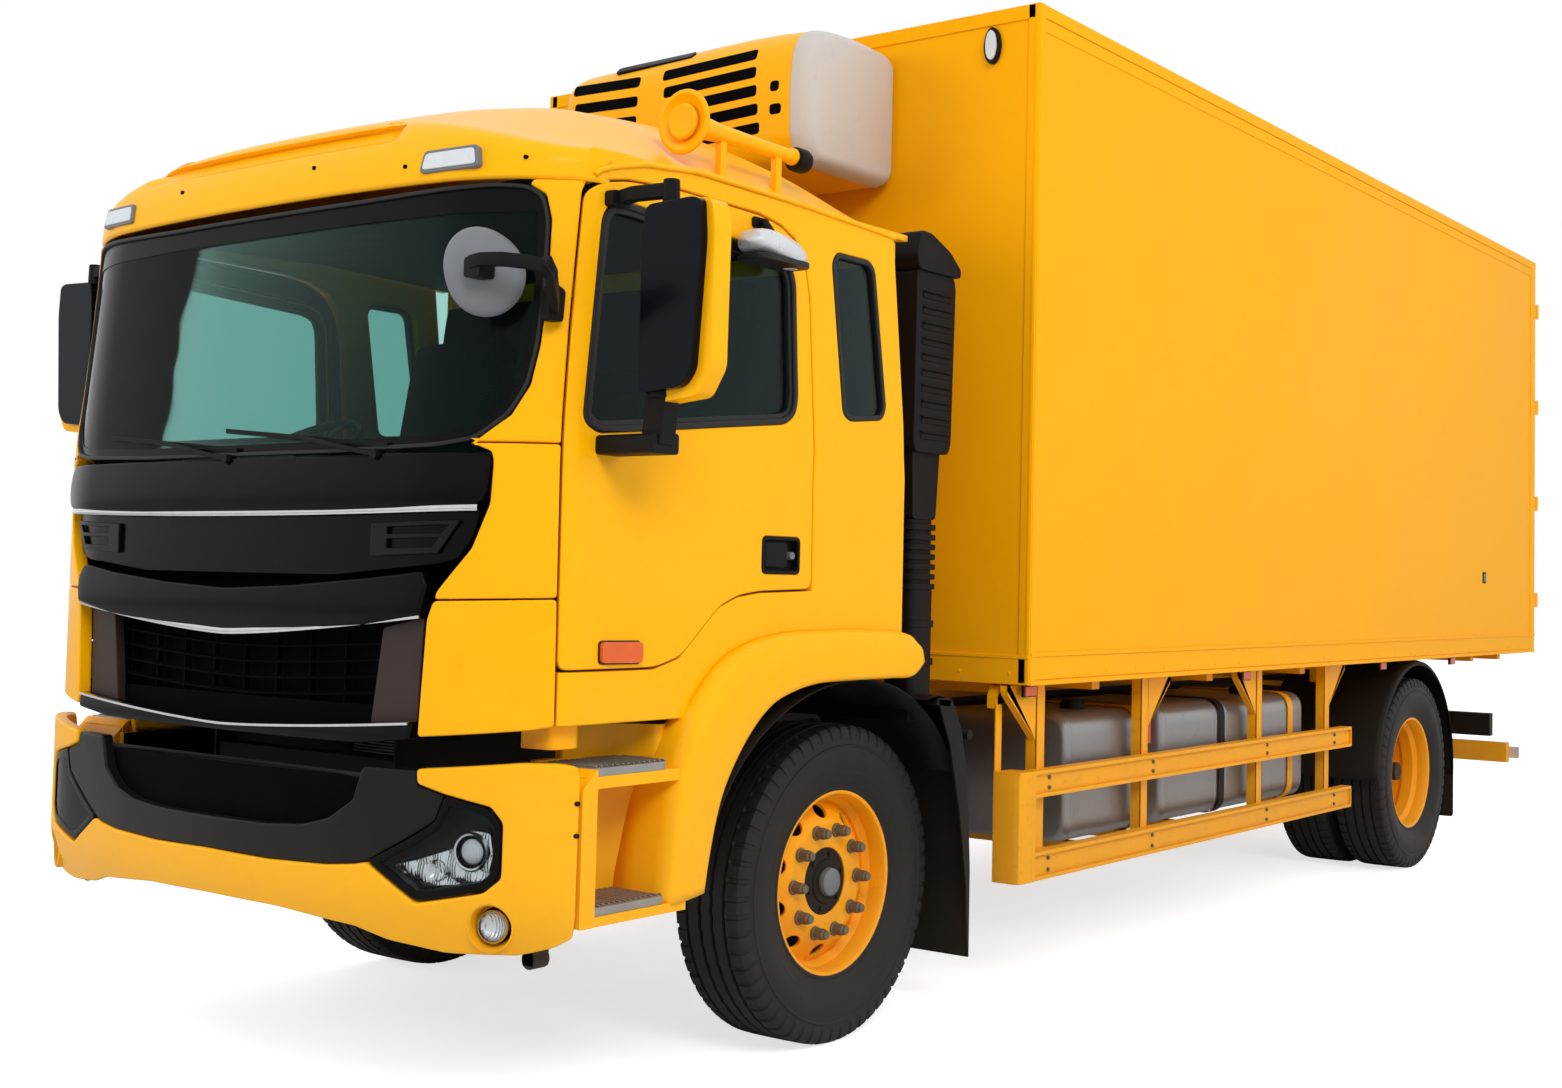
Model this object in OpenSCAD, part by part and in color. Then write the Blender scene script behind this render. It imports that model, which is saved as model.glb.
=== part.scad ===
// Refrigerated truck: two-axle rigid chassis, tilting forward-control cab and
// an insulated box body with a front-mounted refrigeration unit.
// +Z is up, the front faces -Y and the truck's left side faces +X.
// The origin is on the ground, under the centre of the overall box.

/* [Overall] */
// Distance between the front and rear axles
wheelbase = 5000; // [4400:50:5800]
// Distance from the front axle forward to the bumper's foremost point
front_overhang = 1620; // [1500:10:1800]
// Distance from the front axle back to the box's front wall
box_setback = 840; // [780:10:1000]

/* [Load box] */
// Outside length of the box
box_l = 6150; // [5600:50:7600]
// Outside width of the box
box_w = 2500; // [2300:10:2600]
// Height of the box from its floor's underside to its roof
box_h = 2460; // [1900:10:2800]
// Height of the box floor's underside above the ground
box_base_z = 1130; // [1080:5:1250]
// Thickness of the insulated side and front walls
wall_t = 85; // [40:5:120]
// Thickness of the insulated roof
roof_t = 90; // [40:5:120]
// Thickness of the insulated floor
floor_t = 120; // [60:5:160]
// Width of the rear corner posts
post_w = 82; // [60:2:120]
// Gap round each rear door
door_gap = 6; // [5:0.5:10]

/* [Cab] */
// Width across the cab's sides
cab_w = 2300; // [2100:10:2400]
// Thickness of the cab's doors and outer panels
cab_t = 60; // [40:5:80]
// Height of the lower edge of the cab's sides
sill_z = 1090; // [1060:5:1120]
// Height of the top of the cab's sides
eave_z = 2620; // [2600:10:2720]
// Height of the crown of the cab's roof
cab_roof_z = 2990; // [2850:10:3100]
// Distance from the front axle back to the cab's rear face
cab_rear = 190; // [150:10:240]
// Gap round the cab doors
cab_door_gap = 6; // [5:0.5:10]
// Thickness of the window glass
glass_t = 6; // [4:0.5:10]

/* [Wheels] */
// Outside radius of the tyres
tyre_r = 510; // [460:5:530]
// Width of each tyre
tyre_w = 280; // [225:5:300]
// Radius of the rim's bead seat
seat_r = 285.8; // [240:0.1:300]
// Distance of the front tyres' centres from the truck's centre line
front_track_half = 925; // [880:5:960]
// Distance of the outer rear tyres' centres from the centre line
rear_track_half = 1060; // [1000:5:1080]
// Distance between the centres of the twin rear tyres
twin_pitch = 320; // [300:5:340]
// Distance of the kingpins from the centre line
kingpin_x = 740; // [700:5:760]
// Radius of the kingpins
kingpin_r = 22; // [18:1:26]
// Radius of the front spindles
spindle_r = 38; // [30:1:45]
// Radius of the rear axle's ends
stub_r = 48; // [40:1:60]
// Radial clearance of a shaft in its bore
fit_gap = 0.05; // [0.02:0.01:0.1]

/* [Chassis] */
// Half the width across the frame rails
rail_x = 430; // [380:5:450]
// Height of the frame rails
rail_h = 250; // [200:5:300]
// Height of the top of the frame rails
rail_top_z = 1010; // [980:5:1040]
// Width of the frame rails' flanges
flange_w = 75; // [60:5:90]
// Thickness of the frame rails
rail_t = 8; // [6:1:12]

/* [Side equipment] */
// Outside half width of the side guards
guard_x = 1220; // [1150:5:1240]
// Gap between the side guards and the guards of the rear wheels
guard_clear = 385; // [150:5:600]
// Length of the first fuel tank
tank_1_l = 665; // [500:5:800]
// Distance from the second fuel tank's rear end to the side guard's rear end
tank_end_gap = 320; // [100:10:600]
// Distance of the tanks' outer faces from the centre line
tank_x = 1100; // [1000:5:1120]

/* [Cooling unit] */
// Width of the refrigeration unit
fridge_w = 1140; // [900:10:1800]
// Depth of the refrigeration unit ahead of the box
fridge_d = 560; // [450:10:620]
// Height of the refrigeration unit
fridge_h = 560; // [450:10:640]

/* [Hidden] */

// The paint and finishes
yellow = "#ffb800";
black = "#1c1c1e";
charcoal = "#3a3b3d";
grey = "#9a9b9d";
glass_tint = [0.25, 0.32, 0.32, 0.5];

// Gap between pieces that sit against each other
seat_gap = 0.3;

// Facets of rounded plastic and sheet-metal corners
round_fn = 24;
// Facets of plain tubes and shafts
tube_fn = 48;

// Rearmost point: the hinge barrels and lock rods behind the box
hinge_r = 12;
hinge_out = 45;
box_rear = box_setback + box_l;
rear_end = box_rear + hinge_out + hinge_r;

// Y of the front axle in the part's frame, so that the overall box is centred
axle_y = front_overhang - (front_overhang + rear_end) / 2;

// Load box
box_x = box_w / 2;
box_top_z = box_base_z + box_h;
box_floor_z = box_base_z + floor_t;
box_ceiling_z = box_top_z - roof_t;
rear_frame_t = 100;
sill_h = floor_t;
header_h = roof_t + 20;
door_t = 90;
opening_x = box_x - post_w;
leaf_bevel = 12;
leaf_hardware = 30;
hinge_y = box_rear + hinge_out;
hinge_x = box_x;
hinge_count = 4;
hinge_h = 90;

frame_end = box_rear - 260;

// Drawbar coupling plate at the end of the frame
coupling_t = 14;
coupling_w = 160;
coupling_h = 100;
coupling_hole_r = 10.5;

// Cab: distances along Y are from the front axle, forward negative
cab_x = cab_w / 2;
inner_x = cab_x - cab_t;
floor_z = 1250;
floor_plate_t = 45;
tunnel_x = 420;
tunnel_z = 1500;
panel_front = -1577;
panel_back = -1385;
cowl_z = 1800;
panel_low_z = 1085;
lid_low_z = 1064;
screen_low_z = 1815;
screen_high_z = 2545;
screen_rake = 5.1;
visor_front = -1515;
visor_top_z = 2755;
brow_t = 60;
roof_skin = 40;
bulkhead_t = 15;

// Lid under the windscreen: front view of its left half, from the bottom up
lid_half = [[790, lid_low_z], [800, 1380], [850, 1460], [930, 1560], [975, 1690], [978, 1794]];
lid_gap = 14;
lid_t = 30;
lid_stop_x = 600;
lid_pin_y = -1565;
lid_pin_z = 1797;
lid_pin_r = 5;
lid_pin_x = 450;

// Cab tilt pivot
pivot_y = -1250;
pivot_z = 1200;
pivot_r = 20;
pivot_boss_r = 42;
// Rear cab mount
mount_y = 25;

// Hinge line of the cab doors
cab_hinge_x = cab_x + 5;
cab_hinge_y = -1352;

// Door outline in side view, clockwise from its lower front corner
door_outline = [
    [-1361, 1235], [-1003, 1235], [-900, 1262], [-815, 1335], [-734, 1405],
    [-650, 1436], [-554, 1449], [-305, 1457], [-305, 1887], [-345, 2349],
    [-370, 2450], [-426, 2523], [-500, 2555], [-596, 2570], [-952, 2578],
    [-1160, 2564], [-1252, 2544], [-1308, 2512], [-1340, 2160], [-1361, 1812]
];
// Window in the door
window_outline = [
    [-1291, 1903], [-1245, 1882], [-455, 1970], [-415, 1995], [-407, 2040],
    [-430, 2385], [-450, 2432], [-500, 2452], [-1150, 2490], [-1210, 2487],
    [-1240, 2450]
];
// Narrow window behind the door
quarter_outline = [
    [-222, 2480], [-205, 2508], [-40, 2508], [-15, 2485], [60, 2050],
    [45, 2020], [-120, 2003], [-150, 2020]
];
// Lower edge of the cab's side above the wheel
side_outline = [
    [panel_back, sill_z], [-900, sill_z], [-770, 1195], [-600, 1240], [cab_rear, 1240],
    [cab_rear, 1900], [110, eave_z], [-1290, eave_z], [panel_back, 1812]
];

// Plan of the left front pillar at the windscreen's foot
pillar_plan = [
    [1022, -1462], [1090, -1424], [cab_x, -1384], [cab_x, -1330], [inner_x, -1330], [1010, -1402]
];
door_seal_gap = 0.8;

// Drive line
gearbox_y = 900;
shaft_z = 700;
pinion_l = 330;
casing_r = 72;

// Wheels
wheel_z = tyre_r;
rim_gap = 0.3;
flange_r = seat_r + 12.7;
hub_r = 105;
hub_reach = 150;
rim_half_w = 105;

// Rear wheel guards
guard_arc_r = tyre_r + 95;
guard_arc_t = 12;
guard_stay_drop = 155;
guard_stay_z = wheel_z + guard_arc_r - guard_stay_drop;
guard_stay_t = 25;

// Side guards
guard_y = box_setback;
guard_end = wheelbase - guard_arc_r - guard_clear;
guard_l = guard_end - guard_y;
guard_low = [420, 520];
guard_high = [720, 810];
guard_t = 50;
guard_post_w = 60;
post_t = 40;

// Fuel tanks
tank_low_z = 490;
tank_high_z = 990;
tank_in_x = rail_x + 60;
tank_1_y = guard_y + 545;
tank_2_y = tank_1_y + tank_1_l + 140;
tank_2_l = guard_end - tank_end_gap - tank_2_y;
tank_r = 70;

// Front bumper
bumper_x = 1200;
bumper_t = 45;

// Places children at a distance behind the front axle
module from_axle(y = 0) {
    translate([0, axle_y + y, 0])
        children();
}

// Box between two corners
module block(low, high) {
    translate(low)
        cube(high - low);
}

// Extrudes an outline drawn in side view (y, z) from x0 to x1
module across(x0, x1) {
    translate([x0, 0, 0])
        rotate([90, 0, 90])
            linear_extrude(x1 - x0)
                children();
}

// Extrudes an outline drawn in front view (x, z) from y0 to y1
module along(y0, y1) {
    translate([0, y1, 0])
        rotate([90, 0, 0])
            linear_extrude(y1 - y0)
                children();
}

// Cylinder along X from x0 to x1
module shaft_x(x0, x1, r, y, z) {
    translate([x0, y, z])
        rotate([0, 90, 0])
            cylinder(h = x1 - x0, r = r, $fn = tube_fn);
}

// Cylinder along Y from y0 to y1
module shaft_y(y0, y1, r, x, z) {
    translate([x, y0, z])
        rotate([-90, 0, 0])
            cylinder(h = y1 - y0, r = r, $fn = tube_fn);
}

// Rectangle with rounded corners, between two corners
module rounded_rect(low, high, r) {
    size = high - low;
    translate(low + [r, r])
        offset(r = r, $fn = round_fn)
            square(size - [2 * r, 2 * r]);
}

// Children on both sides of the centre line
module both_sides() {
    children();
    mirror([1, 0, 0])
        children();
}

// ---------- Chassis ----------

// C-section frame rail on the left side
module rail() {
    y0 = -1300;
    y1 = frame_end;
    z0 = rail_top_z - rail_h;
    difference() {
        block([rail_x - flange_w, y0, z0], [rail_x, y1, rail_top_z]);
        block([rail_x - flange_w - 1, y0 - 1, z0 + rail_t],
              [rail_x - rail_t, y1 + 1, rail_top_z - rail_t]);
    }
}

// Cross member between the rails
module cross_member(y) {
    z0 = rail_top_z - rail_h + rail_t;
    block([-rail_x + rail_t, y, z0 + 60],
          [rail_x - rail_t, y + 70, rail_top_z - rail_t - 60]);
}

// Bracket that carries a fuel tank
module tank_bracket(y) {
    block([rail_x, y, tank_low_z - 30], [rail_x + 55, y + 60, tank_high_z - 20]);
    block([rail_x, y, tank_low_z - 30], [tank_x - 40, y + 60, tank_low_z]);
}

// Bracket and pin at the front of a rail that carries the tilting cab
module cab_pivot() {
    block([rail_x - flange_w, pivot_y - 60, rail_top_z],
          [rail_x - 35, pivot_y + 60, pivot_z]);
    shaft_x(rail_x - flange_w, rail_x - 35, pivot_boss_r, pivot_y, pivot_z);
    shaft_x(rail_x - 36, rail_x + 35, pivot_r, pivot_y, pivot_z);
}

module frame_rails() {
    color(charcoal)
    from_axle()
        both_sides() {
            rail();
            cab_pivot();
        }
}

module cross_members() {
    color(charcoal)
    from_axle() {
        for (y = [-1290, 1050, 2100, 3300, wheelbase - 700, wheelbase + 650])
            cross_member(y);
        coupling_plate();
        // Rear cab mount: a bridge on two posts
        block([-520, mount_y, floor_z - 65], [520, mount_y + 60, floor_z - 5]);
        both_sides()
            block([rail_x - flange_w, mount_y, rail_top_z], [rail_x, mount_y + 60, floor_z - 64]);
    }
}

// End plate with the hole pattern for a drawbar coupling
module coupling_plate() {
    mid_z = rail_top_z - rail_h / 2;
    difference() {
        block([-rail_x + rail_t, frame_end - coupling_t, rail_top_z - rail_h + rail_t],
              [rail_x - rail_t, frame_end, rail_top_z - rail_t]);
        for (x = [-1, 1], z = [-1, 1])
            shaft_y(frame_end - coupling_t - 1, frame_end + 1, coupling_hole_r,
                    x * coupling_w / 2, mid_z + z * coupling_h / 2);
    }
}

module tank_brackets() {
    color(charcoal)
    from_axle()
        both_sides()
            for (y = [tank_1_y + 90, tank_1_y + tank_1_l - 150,
                      tank_2_y + 150, tank_2_y + tank_2_l - 210])
                tank_bracket(y);
}

// Forged front beam, dropped between the springs
module front_axle() {
    beam_z = wheel_z - 90;
    color(charcoal)
    from_axle() {
        block([-560, -45, beam_z - 45], [560, 45, beam_z + 45]);
        both_sides() {
            block([500, -45, beam_z - 45], [kingpin_x - 70, 45, wheel_z + 40]);
            block([kingpin_x - 71, -45, wheel_z - 50], [kingpin_x - 30, 45, wheel_z + 40]);
            difference() {
                translate([kingpin_x, 0, wheel_z - 60])
                    cylinder(h = 120, r = 45, $fn = tube_fn);
                translate([kingpin_x, 0, wheel_z - 70])
                    cylinder(h = 140, r = kingpin_r + fit_gap, $fn = tube_fn);
            }
        }
        shaft_y(-180, -45, 18, 0, beam_z);
    }
}

// Axle casing with its final drive
module rear_axle() {
    casing_x = rear_track_half - twin_pitch / 2 - hub_reach - 5;
    color(charcoal)
    from_axle(wheelbase) {
        shaft_x(-casing_x, casing_x, casing_r, 0, wheel_z);
        shaft_x(-rear_track_half - 40, rear_track_half + 40, stub_r, 0, wheel_z);
        shaft_x(-130, 110, 205, 0, wheel_z);
        shaft_x(-150, 150, 150, 0, wheel_z);
        shaft_y(-pinion_l, 0, 85, 0, wheel_z);
    }
}

// Tubular propeller shaft from the gearbox to the final drive
module propeller_shaft() {
    y0 = gearbox_y + 15;
    y1 = wheelbase - pinion_l - 15;
    drop = shaft_z - wheel_z;
    run = y1 - y0;
    color(charcoal)
    from_axle() {
        translate([0, y0, shaft_z])
            rotate([-90 - atan(drop / run), 0, 0])
                cylinder(h = sqrt(run * run + drop * drop), r = 45, $fn = tube_fn);
        // Flanges against the gearbox and the final drive
        shaft_y(gearbox_y, gearbox_y + 30, 60, 0, shaft_z);
        shaft_y(wheelbase - pinion_l - 30, wheelbase - pinion_l, 60, 0, wheel_z);
    }
}

// One leaf spring pack with its two hangers
module leaf_pack(y, seat_z, half_l, x, leaves) {
    leaf_t = 14;
    leaf_w = 76;
    for (i = [0 : leaves - 1])
        block([x - leaf_w / 2, y - half_l * (leaves - i) / leaves, seat_z + i * leaf_t * -1],
              [x + leaf_w / 2, y + half_l * (leaves - i) / leaves, seat_z + leaf_t - i * leaf_t]);
    for (end = [-1, 1])
        block([x - leaf_w / 2 + 4, y + end * (half_l - 30) - 30, seat_z + leaf_t],
              [x + leaf_w / 2 - 4, y + end * (half_l - 30) + 30, rail_top_z - rail_h]);
}

module leaf_springs() {
    spring_x = rail_x - 40;
    front_leaves = 6;
    rear_leaves = 7;
    leaf_t = 14;
    front_seat = wheel_z - 45 + (front_leaves - 1) * leaf_t;
    rear_seat = wheel_z + 72 + (rear_leaves - 1) * leaf_t;
    color(charcoal)
    from_axle()
        both_sides() {
            leaf_pack(0, front_seat, 640, spring_x, front_leaves);
            leaf_pack(wheelbase, rear_seat, 720, spring_x, rear_leaves);
        }
}

// Engine with its gearbox behind it
module engine_block() {
    color(grey)
    from_axle() {
        block([-310, -760, 600], [310, 0, 1340]);
        block([-210, -1, 590], [210, gearbox_y, 960]);
        both_sides()
            block([310, -420, 820], [rail_x - rail_t, -340, 900]);
    }
}

// Rounded box tank lying along the truck
module tank(y0, y1) {
    along(y0, y1)
        rounded_rect([tank_in_x, tank_low_z], [tank_x, tank_high_z], tank_r);
}

module fuel_tanks() {
    color(grey)
    from_axle() {
        tank(tank_1_y, tank_1_y + tank_1_l);
        tank(tank_2_y, tank_2_y + tank_2_l);
    }
}

module battery_and_air_tanks() {
    air_r = 125;
    color(charcoal)
    from_axle()
        mirror([1, 0, 0]) {
            block([rail_x + 55, tank_1_y, tank_low_z], [tank_x - 40, tank_1_y + tank_1_l, tank_high_z - 60]);
            for (x = [tank_in_x + air_r + 10, tank_in_x + 3 * air_r + 30])
                shaft_y(tank_2_y, tank_2_y + tank_2_l * 0.45, air_r, x, tank_low_z + air_r + seat_gap);
            block([tank_in_x + air_r, tank_2_y + 160, tank_low_z + air_r - 30],
                  [tank_in_x + 3 * air_r + 20, tank_2_y + 200, tank_low_z + air_r + 30]);
        }
}

module silencer() {
    y0 = tank_2_y + tank_2_l * 0.55;
    y1 = tank_2_y + tank_2_l;
    color(grey)
    from_axle()
        mirror([1, 0, 0]) {
            along(y0, y1)
                rounded_rect([tank_in_x, tank_low_z], [tank_x - 60, tank_high_z - 30], 60);
            shaft_y(y1 - 1, y1 + 160, 50, tank_in_x + 160, tank_low_z + 120);
        }
}

// Raised air intake behind the cab on the left
module air_intake() {
    x0 = 930;
    x1 = 1095;
    y0 = 330;
    y1 = 560;
    color(black)
    from_axle() {
        block([x0, y0, 1920], [x1, y1, 2560]);
        across(x0 + 10, x1 - 10)
            polygon([[y0 + 10, 2560], [y1 - 10, 2560], [y1 + 30, 2600], [y0 + 60, 2690], [y0 - 20, 2690], [y0 - 20, 2600]]);
        block([x0 + 25, y0 + 30, rail_top_z + 50], [x1 - 15, y0 + 170, 1920]);
        block([rail_x - 60, y0 + 40, rail_top_z], [x1 - 15, y0 + 150, rail_top_z + 50]);
    }
}

// Two-rail guard along the left side
module side_guard() {
    posts = 4;
    pitch = (guard_l - 250) / (posts - 1);
    block([guard_x - guard_t, guard_y, guard_high[0]], [guard_x, guard_end, guard_high[1]]);
    block([guard_x - guard_t, guard_y, guard_low[0]], [guard_x, guard_end, guard_low[1]]);
    block([guard_x - guard_t, guard_y, guard_low[0]], [guard_x, guard_y + 100, guard_high[1]]);
    for (i = [0 : posts - 1])
        block([guard_x - guard_t - post_t, guard_y + 150 + i * pitch, guard_low[0]],
              [guard_x - guard_t, guard_y + 150 + i * pitch + guard_post_w, box_base_z]);
}

module side_guards() {
    color(yellow)
    from_axle()
        both_sides()
            side_guard();
}

// ---------- Front end ----------

// Half plan of the bumper's outer face, bowed forward at the centre
function bumper_plan(inset) = [
    [0, -front_overhang + inset], [420, -front_overhang + 22 + inset],
    [786, -front_overhang + 76 + inset], [980, -front_overhang + 120 + inset],
    [1100 - inset, -front_overhang + 180 + inset * 0.6],
    [1170 - inset, -front_overhang + 250], [bumper_x - inset, -1330]
];
// Mirrored copy of a half plan, in reverse order
function other_half(half) = [
    for (i = [len(half) - 1 : -1 : 1]) [-half[i][0], half[i][1]]
];
// Closed band between an outer and an inner half plan
function band(outer, inner) = concat(
    other_half(outer), outer, [for (i = [len(inner) - 1 : -1 : 1]) inner[i]],
    [for (i = [0 : len(inner) - 1]) [-inner[i][0], inner[i][1]]]
);

module bumper_band(z0, z1) {
    translate([0, 0, z0])
        linear_extrude(z1 - z0)
            polygon(band(bumper_plan(0), bumper_plan(bumper_t)));
}

// Front view of the dark centre panel in the bumper
centre_outline = [
    [-560, 970], [-560, 870], [-500, 760], [-400, 690], [0, 660],
    [400, 690], [500, 760], [560, 870], [560, 970]
];
// Front view of a headlamp
lamp_outline = [[760, 615], [1075, 680], [1075, 850], [960, 880], [890, 800], [660, 720]];

module front_bumper() {
    color(yellow)
    from_axle() {
        difference() {
            bumper_band(560, 975);
            along(-front_overhang - 10, -1340)
                offset(delta = seat_gap)
                    polygon(centre_outline);
            both_sides()
                along(-front_overhang - 10, -1340)
                    offset(delta = seat_gap)
                        polygon(lamp_outline);
        }
        // Mounting arms to the frame rails
        both_sides()
            block([rail_x - 60, -front_overhang + 62, 580], [rail_x - 10, -1300, 640]);
        both_sides()
            block([rail_x - 60, -1360, 580], [rail_x - 10, -1300, rail_top_z - rail_h + 60]);
    }
}

module bumper_centre() {
    color(black)
    from_axle()
        intersection() {
            translate([0, 0, 600])
                linear_extrude(360)
                    polygon(band(bumper_plan(6), bumper_plan(bumper_t)));
            along(-front_overhang - 10, -1340)
                polygon(centre_outline);
        }
}

module headlamps() {
    color(grey)
    from_axle()
        both_sides()
            intersection() {
                translate([0, 0, 560])
                    linear_extrude(400)
                        polygon(band(bumper_plan(8), bumper_plan(bumper_t + 30)));
                along(-front_overhang - 10, -1340)
                    polygon(lamp_outline);
            }
}

step_top_z = 1040;
// Side view of the fender with its steps: outer edge, then the wheel arch
fender_outline = [
    [-1325, step_top_z], [-1325, 560], [-985, 585], [-811, 640], [-789, 729], [-750, 852],
    [-687, 962], [-600, 1058], [-509, 1127], [-414, 1155], [-265, 1172],
    [197, 1173], [262, 1227], [240, 1290], [190, 1322], [-61, 1332], [-421, 1330],
    [-600, 1300], [-720, 1240], [-820, 1150], [-867, 1097], [-900, step_top_z]
];
// Recess that holds the two steps
step_low_z = 615;
step_high_z = 975;
step_t = 28;
step_in_x = 960;

module step_fender() {
    skin = 34;
    difference() {
        across(bumper_x - skin, bumper_x)
            polygon(fender_outline);
        block([bumper_x - skin - 1, -1275, step_low_z], [bumper_x + 1, -960, step_top_z + 1]);
    }
    // Step shelves and the panel behind them
    for (z = [step_low_z, step_high_z])
        block([step_in_x, -1300, z - step_t], [bumper_x - skin, -955, z]);
    block([step_in_x - 20, -1300, step_low_z - step_t], [step_in_x, -955, step_high_z]);
    // Bracket to the frame rail
    block([rail_x, -1120, 800], [step_in_x - 20, -1060, 860]);
}

module step_fenders() {
    color(yellow)
    from_axle()
        both_sides()
            step_fender();
}

// Black guards inside the arches: front flaps and rear half rings
module mudguards() {
    flap_y = 690;
    color(black)
    from_axle()
        both_sides() {
            block([rail_x, flap_y, 700], [1150, flap_y + 12, 1100]);
            block([800, flap_y, 200], [1150, flap_y + 12, 701]);
            translate([rear_track_half - twin_pitch - tyre_w / 2 - 10, wheelbase, wheel_z])
                rotate([0, 90, 0])
                    difference() {
                        cylinder(h = twin_pitch + tyre_w + 20, r = guard_arc_r, $fn = 64);
                        translate([0, 0, -1])
                            cylinder(h = twin_pitch + tyre_w + 22, r = guard_arc_r - guard_arc_t, $fn = 64);
                        translate([-150, -guard_arc_r - 1, -1])
                            cube([2 * guard_arc_r, 2 * guard_arc_r + 2, twin_pitch + tyre_w + 22]);
                    }
            for (y = [-350, 350])
                block([rail_x, wheelbase + y - 20, guard_stay_z],
                      [rear_track_half - 200, wheelbase + y + 20, guard_stay_z + guard_stay_t]);
        }
}

module underrun_bar() {
    color(yellow)
    from_axle() {
        block([-1180, frame_end - 60, 450], [1180, frame_end, 570]);
        both_sides()
            block([rail_x, frame_end - 160, 450], [rail_x + 14, frame_end, rail_top_z - 10]);
    }
}

// ---------- Load box ----------

module box_floor() {
    bearers = 12;
    pitch = (box_l - 500) / (bearers - 1);
    side_x = box_x - wall_t;
    long_x = guard_x - guard_t - post_t - 10;
    short_x = rear_track_half - twin_pitch - tyre_w / 2 - 30;
    color(yellow)
    from_axle() {
        block([-side_x, box_setback + wall_t, box_base_z],
              [side_x, box_rear - rear_frame_t, box_floor_z]);
        // Cross bearers, short above the rear wheels
        for (i = [0 : bearers - 1]) {
            y = box_setback + 180 + i * pitch;
            x = abs(y + 30 - wheelbase) < guard_arc_r + 80 ? short_x : long_x;
            block([-x, y, box_base_z - 50], [x, y + 60, box_base_z + 1]);
        }
        // Runners that sit on the rails
        both_sides()
            block([rail_x - flange_w, box_setback + wall_t, rail_top_z],
                  [rail_x, frame_end, box_base_z + 1]);
    }
}

module box_sides() {
    color(yellow)
    from_axle()
        both_sides()
            block([box_x - wall_t, box_setback + wall_t, box_base_z],
                  [box_x, box_rear - rear_frame_t, box_ceiling_z]);
}

// Opening in the front wall for the cooling unit's neck
neck_x = fridge_w / 2 - 90;
neck_z0 = box_top_z - 590;
neck_z1 = box_top_z - 200;

module box_front_wall() {
    color(yellow)
    from_axle()
        difference() {
            block([-box_x, box_setback, box_base_z],
                  [box_x, box_setback + wall_t, box_ceiling_z]);
            block([-neck_x, box_setback - 1, neck_z0],
                  [neck_x, box_setback + wall_t + 1, neck_z1]);
        }
}

module box_roof() {
    color(yellow)
    from_axle()
        block([-box_x, box_setback, box_ceiling_z],
              [box_x, box_rear - rear_frame_t, box_top_z]);
}

// Z of the middle of hinge number i on the rear doors
function hinge_z(i) = box_floor_z + 200 + i * (box_h - floor_t - header_h - 400) / (hinge_count - 1);

module box_rear_frame() {
    y0 = box_rear - rear_frame_t;
    color(yellow)
    from_axle() {
        difference() {
            block([-box_x, y0, box_base_z], [box_x, box_rear, box_top_z]);
            block([-opening_x, y0 - 1, box_floor_z], [opening_x, box_rear + 1, box_top_z - header_h]);
        }
        both_sides()
            for (i = [0 : hinge_count - 1], end = [-1, 1]) {
                z = hinge_z(i) + end * hinge_h * 0.36;
                translate([hinge_x, hinge_y, z - hinge_h * 0.13])
                    cylinder(h = hinge_h * 0.26, r = hinge_r, $fn = tube_fn);
                block([hinge_x - 40, box_rear, z - hinge_h * 0.13],
                      [hinge_x, hinge_y, z + hinge_h * 0.13]);
            }
    }
}

// One rear door leaf on the left, in the part's place
module cargo_door() {
    x1 = opening_x - door_gap;
    z0 = box_floor_z + door_gap;
    z1 = box_top_z - header_h - door_gap;
    translate([0, 0, z0])
        linear_extrude(z1 - z0)
            polygon([[door_gap / 2, box_rear], [x1, box_rear], [x1, box_rear - door_t],
                     [door_gap / 2 + leaf_bevel, box_rear - door_t]]);
    for (i = [0 : hinge_count - 1]) {
        z = hinge_z(i);
        translate([hinge_x, hinge_y, z - hinge_h * 0.225])
            cylinder(h = hinge_h * 0.45, r = hinge_r, $fn = tube_fn);
        block([hinge_x - 330, box_rear, z - hinge_h * 0.2],
              [x1, box_rear + 14, z + hinge_h * 0.2]);
        block([x1 - 40, box_rear + 8, z - hinge_h * 0.2],
              [hinge_x, hinge_y - 8, z + hinge_h * 0.2]);
    }
    for (x = [230, 560]) {
        translate([x, box_rear + 16, z0 + 20])
            cylinder(h = z1 - z0 - 40, r = 13, $fn = round_fn);
        for (z = [z0 + 150, (z0 + z1) / 2, z1 - 150])
            block([x - 22, box_rear, z - 25], [x + 22, box_rear + 20, z + 25]);
    }
}

module cargo_door_left() {
    color(yellow)
    from_axle()
        cargo_door();
}

module cargo_door_right() {
    color(yellow)
    from_axle()
        mirror([1, 0, 0])
            cargo_door();
}

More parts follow.
